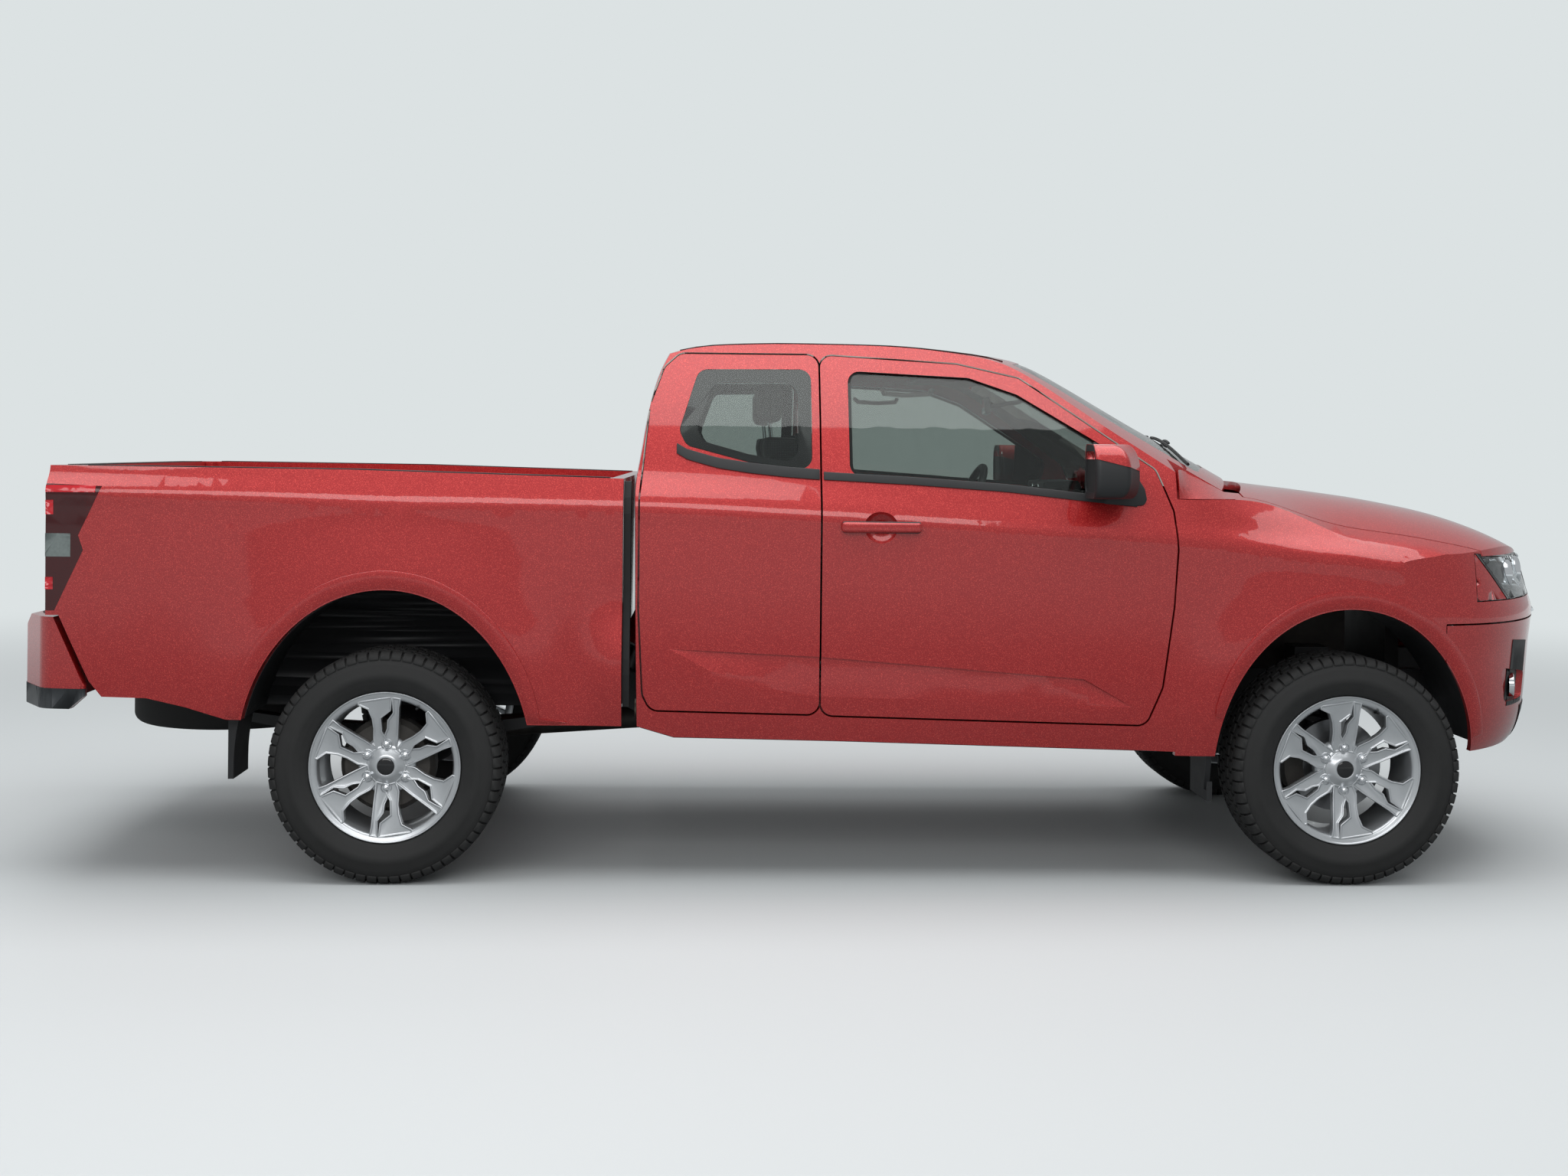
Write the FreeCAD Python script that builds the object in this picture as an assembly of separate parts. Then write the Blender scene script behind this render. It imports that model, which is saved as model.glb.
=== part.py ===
# Extended-cab pickup truck: ladder chassis, cab with front doors and rear-hinged access doors,
# bonnet, load bed with tailgate, steered front wheels and a live rear axle.
# Frame: +X forward, +Y to the vehicle's left, +Z up. The origin is on the ground, midway along
# the overall length, in the centre plane. Lengths are in millimetres, angles in degrees.
# A station share is 0 at the rear axle and 1 at the front axle, -1 at the tail and 2 at the nose.
# A level share is a share of the overall height, a width share one of the panel half width.
import FreeCAD, Part

import math
import os

from FreeCAD import Vector

# Whole vehicle
wheelbase = 3125.0
front_overhang = 905.0
rear_overhang = 1235.0
overall_height = 1785.0
track = 1570.0
panel_half_width = 916.0

# Tyres and rims
tyre_radius = 375.0
tyre_width = 255.0
tyre_shoulder = 34.0
tyre_shoulder_drop = 16.0
bead_radius = 232.0
rim_lip = 11.0
rim_lip_width = 12.0
rim_width = 214.0
rim_wall = 9.0
rim_well = 26.0
rim_face_inset = 34.0
wheel_disc_thickness = 22.0
hub_face_radius = 82.0
hub_bore_radius = 34.0
spoke_count = 6
spoke_depth = 30.0
spoke_rise = 22.0
wheel_fit = 0.3

# Arms of one pair: share of the pitch round the wheel and share of the bead radius
wide_arm_shares = ((-0.52, 0.25), (-0.47, 0.40), (-0.317, 0.55), (-0.277, 0.69), (-0.287, 0.83),
                   (-0.40, 0.935), (-0.38, 0.99), (0.092, 0.99), (0.087, 0.78), (-0.097, 0.672),
                   (-0.108, 0.483), (0.033, 0.37), (0.083, 0.25))
thin_arm_shares = ((-0.15, 0.25), (-0.075, 0.43), (0.013, 0.526), (0.027, 0.647), (0.123, 0.76),
                   (0.083, 0.99), (0.21, 0.99), (0.215, 0.845), (0.313, 0.526), (0.375, 0.422),
                   (0.567, 0.25))

# Brakes and hubs
disc_radius = 152.0
disc_thickness = 28.0
disc_hat_radius = 78.0
disc_inset = 66.0
drum_width = 74.0
spindle_radius = 26.0
caliper_span = 150.0
caliper_height = 62.0
caliper_thickness = 66.0
running_gap = 6.0
kingpin_offset = 122.0
kingpin_radius = 22.0
knuckle_height = 250.0

# Body panels
flare_bulge = 17.0
shut_gap = 6.0
scallop_depth = 12.0
wall_lower = 92.0
wall_upper = 46.0
roof_thickness = 42.0
rear_wall = 50.0
cab_corner_round = 12.0
skin = 30.0
bumper_wall = 42.0
fog_pocket_depth = 22.0
seat_gap = 0.3
point_gap = 0.000001
relief_land = 2.0
hinge_leaf = 34.0
handle_height = 30.0
handle_reach = 36.0
handle_thickness = 17.0
cup_radius = 64.0
glass_thickness = 5.0
glass_gap = 0.3
glass_recess = 9.0
floor_level = 660.0
floor_thickness = 30.0
sill_inner_half_width = 640.0
firewall_thickness = 40.0
hood_axis_level = 1265.0
hood_pin_radius = 9.0
hood_pin_inner = 680.0
hood_pin_length = 15.0
cowl_trough_level = 1232.0
cowl_trough_width = 52.0

# Wheel arches, half length and height above the wheel centre
front_arch_length = 440.0
front_arch_height = 530.0
rear_arch_length = 470.0
rear_arch_height = 573.0
liner_thickness = 5.0
liner_inner_half_width = 560.0

# Load bed
bed_floor_level = 840.0
bed_floor_thickness = 36.0
bed_inner_half_width = 765.0
bed_skirt = 46.0
bed_front_wall = 42.0
tailgate_thickness = 62.0
tailgate_half_width = 700.0
post_depth = 90.0
wheelhouse_wall = 20.0
groove_depth = 9.0
groove_pairs = 6

# Chassis
rail_height = 130.0
rail_width = 70.0
rail_outer_half_width = 398.0
rail_low = 455.0
rear_rail_low = 625.0
front_rail_low = 520.0
crossmember_radius = 34.0
hitch_pad_thickness = 12.0
hitch_hole_radius = 12.7
hitch_hole_inset = 56.0
gearbox_radius = 124.0
gearbox_tail_radius = 44.0
gearbox_axis_level = 500.0
axle_tube_radius = 40.0
differential_radius = 135.0
spring_width = 70.0
spring_half_spacing = 505.0
spring_thickness = 46.0
propshaft_radius = 40.0
lower_arm_spread = 170.0
upper_arm_spread = 110.0

# Cabin
seat_y = 385.0
seat_width = 510.0
seat_depth = 480.0
seat_height = 330.0
cushion_thickness = 150.0
backrest_thickness = 120.0
backrest_height = 480.0
backrest_lean = 130.0
bolster_width = 90.0
bolster_height = 28.0
headrest_width = 240.0
headrest_height = 150.0
headrest_depth = 80.0
headrest_gap = 22.0
post_radius = 6.0
mirror_edge = 20.0
mirror_sink = 9.0
rear_seat_height = 300.0
console_half_width = 102.0
console_length = 420.0
console_height = 180.0
gauge_half_width = 180.0
steering_wheel_radius = 190.0
steering_rim_radius = 15.0
column_radius = 32.0

overrun = 80.0

length = rear_overhang + wheelbase + front_overhang
rear_axle_x = -length / 2 + rear_overhang
front_axle_x = rear_axle_x + wheelbase
half_track = track / 2
wheel_z = tyre_radius
half_width = panel_half_width + flare_bulge

X_AXIS = Vector(1, 0, 0)
Y_AXIS = Vector(0, 1, 0)
Z_AXIS = Vector(0, 0, 1)
ORIGIN = Vector(0, 0, 0)

# Lower rows of the body side: level and width shares
side_low_shares = ((0.15, 0.910), (0.20, 0.938), (0.25, 0.962), (0.30, 0.980), (0.35, 0.990),
                   (0.40, 0.996), (0.45, 0.999), (0.50, 1.000), (0.55, 1.002))
# Rows about the shoulder crease: level share above it and width share
crease_row_shares = ((-0.030, 1.004), (-0.010, 1.005), (0.004, 1.0025), (0.020, 0.990))
# Upper rows of the cab side
cab_high_shares = ((0.735, 0.9455), (0.80, 0.889), (0.87, 0.822), (0.94, 0.746), (1.01, 0.662))
# What the front wings have less than the cab on the upper rows, from the last crease row up
wing_fall_shares = (0.018, 0.090, 0.22, 0.34, 0.44, 0.54, 0.62)
# Upper rows of the load bed side
bed_high_shares = ((0.735, 0.968), (0.80, 0.945), (0.87, 0.925), (0.94, 0.905), (1.01, 0.885))
# Shoulder crease: station and level
crease_shares = ((-1.053, 0.711), (-0.729, 0.707), (0.240, 0.686), (0.446, 0.671),
                 (0.648, 0.652), (0.812, 0.634), (0.912, 0.616), (1.0, 0.602), (1.414, 0.577),
                 (2.077, 0.543))
# Plan taper of the sides: station and width share lost
taper_shares = ((-1.0, 0.014), (-0.80, 0.006), (-0.5, 0.0), (1.0, 0.0), (1.414, 0.012),
                (1.635, 0.035), (1.801, 0.075), (1.967, 0.13), (2.077, 0.18))
# Roof and windscreen on the centre line, bonnet on the centre line
cab_top_shares = ((0.20, 0.905), (0.224, 0.930), (0.256, 0.958), (0.288, 0.981), (0.320, 0.993),
                  (0.384, 0.9995), (0.448, 1.000), (0.550, 0.997), (0.640, 0.984),
                  (0.698, 0.961), (0.813, 0.850), (0.909, 0.757), (0.973, 0.694),
                  (1.05, 0.619))
hood_top_shares = ((0.76, 0.745), (0.80, 0.743), (0.864, 0.740), (0.928, 0.734), (1.0, 0.720),
                   (1.193, 0.708), (1.414, 0.689), (1.580, 0.669), (1.746, 0.636),
                   (1.856, 0.601), (1.934, 0.562), (2.022, 0.506), (2.12, 0.43))
# Rear face of the cab: level and station
cab_rear_shares = ((0.15, 0.255), (0.290, 0.254), (0.50, 0.252), (0.66, 0.251), (0.727, 0.251),
                   (0.769, 0.255), (0.840, 0.261), (0.917, 0.271), (0.97, 0.284), (1.03, 0.305))
# Front face on the centre line: level and the share of the front overhang that it stands back
nose_shares = ((0.15, 0.24), (0.207, 0.19), (0.226, 0.11), (0.276, 0.05), (0.317, 0.033),
               (0.439, 0.011), (0.487, 0.0), (0.527, 0.022), (0.574, 0.05), (0.66, 0.12),
               (0.74, 0.20))

cab_station_shares = (0.19, 0.24, 0.29, 0.34, 0.39, 0.44, 0.49, 0.54, 0.59, 0.64, 0.69, 0.74,
                      0.79, 0.84, 0.89, 0.94, 0.99)
front_station_shares = (0.78, 0.816, 0.852, 0.888, 0.924, 0.96, 1.0, 1.13, 1.25, 1.37, 1.49,
                        1.61, 1.73, 1.88, 2.09)
bed_station_shares = (-0.93, -0.84, -0.73, -0.62, -0.52, -0.42, -0.32, -0.21, -0.10, 0.0, 0.04,
                      0.08, 0.12, 0.16, 0.20, 0.26)
hood_station_shares = (0.76, 0.80, 0.84, 0.88, 0.92, 0.96, 1.0, 1.12, 1.25, 1.38, 1.50, 1.62,
                       1.74, 1.84, 1.93, 2.03, 2.12)
# Evenly spaced rows keep the smooth faces free of ripples: first share, last share, count
cross_range_shares = (-1.06, 1.06, 17)
roof_range_shares = (0.20, 1.0, 21)
cab_rear_range_shares = (0.15, 1.03, 23)
nose_range_shares = (0.15, 0.74, 20)
# Rows of a body side below and above its shoulder crease
side_row_counts = {"cab": (20, 12), "front": (16, 16), "bed": (20, 12)}

# Outlines in side view: station and level
front_door_shares = ((0.4475, 0.966), (0.594, 0.951), (0.660, 0.925), (0.743, 0.823),
                     (0.797, 0.757), (0.8135, 0.682), (0.8165, 0.612), (0.813, 0.508),
                     (0.802, 0.362), (0.786, 0.293), (0.4475, 0.309))
access_door_shares = ((0.298, 0.966), (0.4455, 0.966), (0.4455, 0.310), (0.272, 0.317),
                      (0.264, 0.345), (0.2595, 0.50), (0.2595, 0.700), (0.268, 0.868),
                      (0.282, 0.940))
window_shares = ((0.4765, 0.937), (0.606, 0.926), (0.657, 0.895), (0.746, 0.799),
                 (0.776, 0.762), (0.768, 0.707), (0.4765, 0.742))
quarter_shares = ((0.318, 0.937), (0.4375, 0.939), (0.4375, 0.751), (0.372, 0.764),
                  (0.306, 0.794), (0.298, 0.822))
# Hollow along the lower doors: its high and low lines
scallop_high_shares = ((0.291, 0.4275), (0.444, 0.415), (0.721, 0.3765), (0.773, 0.3245))
scallop_low_shares = ((0.291, 0.4270), (0.334, 0.387), (0.382, 0.360), (0.444, 0.343),
                      (0.650, 0.334), (0.773, 0.3240))
scallop_least_share = 0.02
# Windscreen: half widths at its top and foot, stations of both on the centre line, and how
# much further back it stands one panel half width away from the centre line
windscreen_side_shares = (0.640, 0.725)
windscreen_end_shares = (0.690, 0.900)
windscreen_bow_share = 0.080

corner_radius = 40.0
small_radius = 18.0


def station(share):
    """Place along the vehicle of a station share."""
    if share < 0:
        return rear_axle_x + share * rear_overhang
    if share > 1:
        return front_axle_x + (share - 1) * front_overhang
    return rear_axle_x + share * wheelbase


def level(share):
    """Height of a level share."""
    return share * overall_height


def through(points, value):
    """Smooth curve through the points, read at a value, straight past its ends."""
    count = len(points)
    index = 0
    while index < count - 2 and value > points[index + 1][0]:
        index += 1
    x0, y0 = points[index]
    x1, y1 = points[index + 1]
    chord = (y1 - y0) / (x1 - x0)
    before = chord
    after = chord
    if index > 0:
        before = (y1 - points[index - 1][1]) / (x1 - points[index - 1][0])
    if index < count - 2:
        after = (points[index + 2][1] - y0) / (points[index + 2][0] - x0)
    t = (value - x0) / (x1 - x0)
    if t < 0:
        return y0 + before * (value - x0)
    if t > 1:
        return y1 + after * (value - x1)
    span = x1 - x0
    return ((2 * t ** 3 - 3 * t ** 2 + 1) * y0 + (t ** 3 - 2 * t ** 2 + t) * span * before
            + (3 * t ** 2 - 2 * t ** 3) * y1 + (t ** 3 - t ** 2) * span * after)


def evenly(range_shares):
    """Evenly spaced shares from a first share, a last share and a count."""
    first, last, count = range_shares
    return [first + (last - first) * index / (count - 1) for index in range(count)]


def blend(value, low, high):
    """Rises smoothly from 0 at low to 1 at high."""
    t = min(max((value - low) / (high - low), 0), 1)
    return t * t * (3 - 2 * t)


def surface(grid):
    """Face through a grid of points."""
    spline = Part.BSplineSurface()
    spline.interpolate(grid)
    return spline.toShape()


def solid_behind(grid, direction):
    """Solid on one side of a smooth face, along a direction."""
    return surface(grid).extrude(direction)


def mirrored(shape):
    """The same shape on the other side of the centre plane."""
    return shape.mirror(ORIGIN, Y_AXIS)


def both_sides(shape):
    """A shape and its mirror image, which it doesn't touch."""
    return Part.makeCompound([shape, mirrored(shape)])


def block(x0, x1, y0, y1, z0, z1):
    """Block between two corners."""
    return Part.makeBox(x1 - x0, y1 - y0, z1 - z0, Vector(x0, y0, z0))


def rounded_wire(points, radius):
    """Closed wire through the points with round corners."""
    count = len(points)
    starts = []
    ends = []
    middles = []
    for index in range(count):
        corner = points[index]
        back = points[index - 1].sub(corner)
        ahead = points[(index + 1) % count].sub(corner)
        room = min(back.Length, ahead.Length) * 0.48
        back.normalize()
        ahead.normalize()
        half = back.getAngle(ahead) / 2
        if radius == 0 or half > math.radians(88):
            starts.append(corner)
            ends.append(corner)
            middles.append(None)
            continue
        tangent = min(radius / math.tan(half), room)
        fit = tangent * math.tan(half)
        bisector = back.add(ahead).normalize()
        centre = corner.add(Vector(bisector).multiply(fit / math.sin(half)))
        starts.append(corner.add(Vector(back).multiply(tangent)))
        ends.append(corner.add(Vector(ahead).multiply(tangent)))
        middles.append(centre.sub(Vector(bisector).multiply(fit)))
    edges = []
    for index in range(count):
        if middles[index] is not None:
            edges.append(Part.Arc(starts[index], middles[index], ends[index]).toShape())
        following = starts[(index + 1) % count]
        if ends[index].distanceToPoint(following) > point_gap:
            edges.append(Part.LineSegment(ends[index], following).toShape())
    return Part.Wire(edges)


def side_prism_grown(points, y0, y1, radius, margin):
    """Prism across the vehicle, its rounded outline moved outwards by a margin."""
    wire = rounded_wire([Vector(x, y0, z) for x, z in points], radius)
    return Part.Face(wire.makeOffset2D(margin)).extrude(Vector(0, y1 - y0, 0))


def side_prism(points, y0, y1, radius=0.0):
    """Prism across the vehicle from places in side view."""
    wire = rounded_wire([Vector(x, y0, z) for x, z in points], radius)
    return Part.Face(wire).extrude(Vector(0, y1 - y0, 0))


def plan_prism(points, z0, z1, radius=0.0):
    """Upright prism from places in plan."""
    wire = rounded_wire([Vector(x, y, z0) for x, y in points], radius)
    return Part.Face(wire).extrude(Vector(0, 0, z1 - z0))


def front_prism(points, x0, x1, radius=0.0):
    """Prism along the vehicle from places in front view."""
    wire = rounded_wire([Vector(x0, y, z) for y, z in points], radius)
    return Part.Face(wire).extrude(Vector(x1 - x0, 0, 0))


def places(shares):
    """Side view places of an outline in shares."""
    return [(station(x), level(z)) for x, z in shares]


def grown(points, margin):
    """An outline moved outwards by a margin, with the same corners."""
    area = sum(a[0] * b[1] - b[0] * a[1] for a, b in zip(points, points[1:] + points[:1]))
    turn = 1 if area > 0 else -1
    result = []
    count = len(points)
    for index in range(count):
        before = Vector(*points[index - 1], 0)
        here = Vector(*points[index], 0)
        after = Vector(*points[(index + 1) % count], 0)
        first = here.sub(before).normalize()
        second = after.sub(here).normalize()
        out_first = Vector(first.y * turn, -first.x * turn, 0)
        out_second = Vector(second.y * turn, -second.x * turn, 0)
        share = 1 + out_first.dot(out_second)
        moved = here.add(out_first.add(out_second).multiply(margin / share))
        result.append((moved.x, moved.y))
    return result


def arch_prism(axle_x, half_length, height, y0, y1):
    """Half-elliptic wheel opening across the vehicle, open downwards."""
    ellipse = Part.Ellipse(Vector(axle_x, y0, wheel_z + height),
                           Vector(axle_x + half_length, y0, wheel_z),
                           Vector(axle_x, y0, wheel_z))
    if height < half_length:
        ellipse = Part.Ellipse(Vector(axle_x + half_length, y0, wheel_z),
                               Vector(axle_x, y0, wheel_z + height),
                               Vector(axle_x, y0, wheel_z))
    round_face = Part.Face(Part.Wire([ellipse.toShape()]))
    upper = round_face.extrude(Vector(0, y1 - y0, 0))
    lower = block(axle_x - half_length, axle_x + half_length, min(y0, y1), max(y0, y1),
                  wheel_z - tyre_radius, wheel_z)
    return upper.fuse(lower)


def side_width(station_share, row, kind):
    """Level and half width of a row of the body side at a station."""
    crease = through(crease_shares, station_share)
    high = bed_high_shares if kind == "bed" else cab_high_shares
    rows_low = len(side_low_shares)
    rows_crease = len(crease_row_shares)
    fall = 0.0
    if row < rows_low:
        level_share, width = side_low_shares[row]
    elif row < rows_low + rows_crease:
        offset, width = crease_row_shares[row - rows_low]
        level_share = crease + offset
        if row == rows_low + rows_crease - 1:
            fall = wing_fall_shares[0]
    else:
        upper = row - rows_low - rows_crease
        if upper == 0:
            last_offset, last_width = crease_row_shares[-1]
            level_share = (crease + last_offset + high[0][0]) / 2
            width = (last_width + high[0][1]) / 2
        else:
            level_share, width = high[upper - 1]
        fall = wing_fall_shares[upper + 1]
    if kind == "front":
        width -= fall * blend(station_share, 0.83, 1.0)
    width -= through(taper_shares, station_share)
    return level_share, width


def flare(x, z):
    """How far the side swells round the wheel openings."""
    total = 0.0
    for axle_x, half_length, height in (
            (front_axle_x, front_arch_length, front_arch_height),
            (rear_axle_x, rear_arch_length, rear_arch_height)):
        reach = math.hypot((x - axle_x) / half_length, (z - wheel_z) / height)
        total += flare_bulge * math.exp(-((reach - 1) / 0.30) ** 2)
    return total


# Zones that the body surfaces cover: rear and front station, low and high level
zone_shares = {"cab": (0.20, 0.97, 0.17, 1.004), "front": (0.80, 2.04, 0.17, 0.80),
               "bed": (-0.90, 0.25, 0.17, 0.98)}
row_count = len(side_low_shares) + len(crease_row_shares) + 1 + len(cab_high_shares)


def side_grid(kind, side, inset):
    """Grid of the right (-1) or left (1) body side, moved inwards by an inset."""
    stations = {"cab": cab_station_shares, "front": front_station_shares,
                "bed": bed_station_shares}[kind]
    count_low, count_high = side_row_counts[kind]
    grid = []
    for station_share in stations:
        profile = [side_width(station_share, row, kind) for row in range(row_count)]
        crease = through(crease_shares, station_share)
        levels = evenly((profile[0][0], crease, count_low))
        levels += evenly((crease, profile[-1][0], count_high))[1:]
        line = []
        for level_share in levels:
            width = through(profile, level_share)
            x = station(station_share)
            z = level(level_share)
            y = width * panel_half_width + flare(x, z)
            line.append(Vector(x, side * (y - inset(level_share, station_share)), z))
        grid.append(line)
    return grid


def cab_wall(level_share, station_share):
    """Thickness of the cab side: the door's depth below, the window frame's above."""
    return wall_lower + (wall_upper - wall_lower) * blend(level_share, 0.66, 0.78)


def constant(value):
    """An inset that is the same everywhere."""
    return lambda level_share, station_share: value


def scallop_inset(level_share, station_share):
    """Depth of the hollow along the lower doors: nothing at its low line, most at its high one."""
    low = through(scallop_low_shares, station_share)
    high = through(scallop_high_shares, station_share)
    reach = (level_share - low) / max(high - low, scallop_least_share)
    return scallop_depth * min(max(reach, -0.5), 1.6)


def right_of_skin(kind, inset):
    """Everything inboard of the right body side moved inwards by an inset."""
    return solid_behind(side_grid(kind, -1, inset), Vector(0, 2 * half_width, 0))


def right_half(kind, inset):
    """Right half of a body zone, bounded by its side surface and the centre plane."""
    x0, x1, z0, z1 = zone_shares[kind]
    zone = block(station(x0), station(x1), -half_width * 1.05, 0, level(z0), level(z1))
    return zone.common(right_of_skin(kind, inset))


def whole(half):
    """A right half and its mirror image made one."""
    return half.fuse(mirrored(half)).removeSplitter()


def cab_half_width(level_share):
    """Half width of the cab at a level, near its rear."""
    rows = [side_width(0.30, row, "cab") for row in range(row_count)]
    return through(rows, level_share) * panel_half_width


def below_roof(drop):
    """Everything under the roof and windscreen surface lowered by a drop."""
    grid = []
    for station_share in evenly(roof_range_shares):
        line = []
        for cross in evenly(cross_range_shares):
            y = cross * panel_half_width
            bow = windscreen_bow_share * blend(station_share, 0.42, 0.64) * cross ** 2
            shifted = station_share + bow
            z = level(through(cab_top_shares, shifted)) - level(0.027) * cross ** 2 - drop
            line.append(Vector(station(station_share), y, z))
        grid.append(line)
    return solid_behind(grid, Vector(0, 0, -overall_height))


def below_hood(drop):
    """Everything under the bonnet surface lowered by a drop."""
    grid = []
    for station_share in hood_station_shares:
        line = []
        for cross in evenly(cross_range_shares):
            y = cross * panel_half_width
            fall = 0.028 + 0.038 * blend(station_share, 0.88, 1.02)
            z = level(through(hood_top_shares, station_share)) - drop
            z -= level(fall) * (abs(cross) / 0.87) ** 3
            line.append(Vector(station(station_share), y, z))
        grid.append(line)
    return solid_behind(grid, Vector(0, 0, -overall_height))


def ahead_of_cab_rear(inset):
    """Everything ahead of the cab's rear face moved forward by an inset."""
    grid = []
    for level_share in evenly(cab_rear_range_shares):
        line = []
        half = cab_half_width(level_share)
        rear_x = station(through(cab_rear_shares, level_share))
        for cross in evenly(cross_range_shares):
            x = rear_x + cab_corner_round * cross ** 6 + inset
            line.append(Vector(x, cross * half, level(level_share)))
        grid.append(line)
    return solid_behind(grid, Vector(length, 0, 0))


def behind_nose(inset):
    """Everything behind the front face moved back by an inset."""
    grid = []
    for level_share in evenly(nose_range_shares):
        line = []
        back_share = through(nose_shares, level_share)
        for cross in evenly(cross_range_shares):
            x = length / 2 - back_share * front_overhang - inset
            x -= front_overhang * (0.47 * cross ** 2 + 0.20 * abs(cross) ** 10)
            line.append(Vector(x, cross * panel_half_width, level(level_share)))
        grid.append(line)
    return solid_behind(grid, Vector(-length, 0, 0))


cab_front_x = station(front_door_shares[6][0]) + shut_gap
cowl_front_x = station(0.895)
cowl_bow = wheelbase * 0.042
firewall_x = station(0.838)
rocker_shares = ((0.20, 0.287), (0.258, 0.287), (0.296, 0.267), (0.469, 0.261), (0.652, 0.252),
                 (0.96, 0.236), (0.96, 1.1), (0.20, 1.1))
cowl_low = level(0.60)
cowl_half_width = panel_half_width * 0.80


def ahead_of_cowl(margin, half):
    """Prism ahead of the cowl's bowed front edge moved forward by a margin, within a half width."""
    points = []
    for cross in evenly((-1, 1, 21)):
        y = cross * half
        x = cowl_front_x + cowl_bow * max(1 - (y / cowl_half_width) ** 2, 0) + margin
        points.append((x, y))
    points += [(length, half), (length, -half)]
    return plan_prism(points, 0, overall_height)


def cab_envelope():
    """Right half of the cab's outside: rocker line, hinge pillar inside the wing, cowl."""
    body = right_half("cab", constant(0.0)).common(below_roof(0.0))
    body = body.common(ahead_of_cab_rear(0.0))
    body = body.common(side_prism(places(rocker_shares), -half_width * 1.1, overrun))
    edge = list(scallop_high_shares) + list(reversed(scallop_low_shares[1:-1]))
    band = side_prism(places(edge), -half_width * 1.1, -panel_half_width * 0.8)
    body = body.cut(band.cut(right_of_skin("cab", scallop_inset)))
    beside_cowl = block(cab_front_x, length, -length, -cowl_half_width, 0, length)
    inside_wing = right_half("front", constant(skin + seat_gap)).common(
        below_hood(skin + seat_gap))
    pillar_zone = block(cab_front_x - overrun, firewall_x, -length, overrun, 0, length)
    beside_cowl = beside_cowl.cut(inside_wing.common(pillar_zone))
    under_cowl = block(firewall_x, length, -length, length, 0, cowl_low)
    return body.cut([beside_cowl, under_cowl, ahead_of_cowl(0.0, half_width)])


def door_hinge(x, forward, reach):
    """Two hinge leaves between a right door's edge and the pillar, within a reach prism."""
    toward = 1 if forward else -1
    y0 = -panel_half_width + wall_lower * 0.35
    leaves = []
    for share in hinge_level_shares:
        near = x - toward * hinge_leaf
        far = x + toward * overrun
        leaf = block(min(near, far), max(near, far), y0, y0 + wall_lower * 0.4,
                     level(share) - hinge_leaf, level(share) + hinge_leaf)
        leaves.append(leaf.common(reach))
    return leaves


def door_edge_relief(x, slope_shares, side, forward):
    """Wedge that takes a door's shut face back behind its skin, so that it swings clear."""
    sections = []
    for level_share, slope in slope_shares:
        y = cab_half_width(level_share)
        depth = wall_lower + skin
        toward = 1 if forward else -1
        first = Vector(x, side * (y - relief_land), level(level_share))
        second = Vector(x, side * (y - depth), level(level_share))
        third = Vector(x + toward * slope * depth, side * (y - depth), level(level_share))
        sections.append(Part.makePolygon([first, second, third, first]))
    return Part.makeLoft(sections, True, True)


# Ends of the door handle and its level
handle_end_shares = (0.468, 0.548)
handle_level_share = 0.650
# Levels of the door hinges
hinge_level_shares = (0.53, 0.64)
front_relief_shares = ((0.27, 0.12), (0.60, 0.12), (0.735, 0.16), (0.87, 0.24), (0.99, 0.32))
access_relief_shares = ((0.27, 0.22), (0.60, 0.22), (0.735, 0.32), (0.87, 0.48), (0.99, 0.62))


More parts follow.
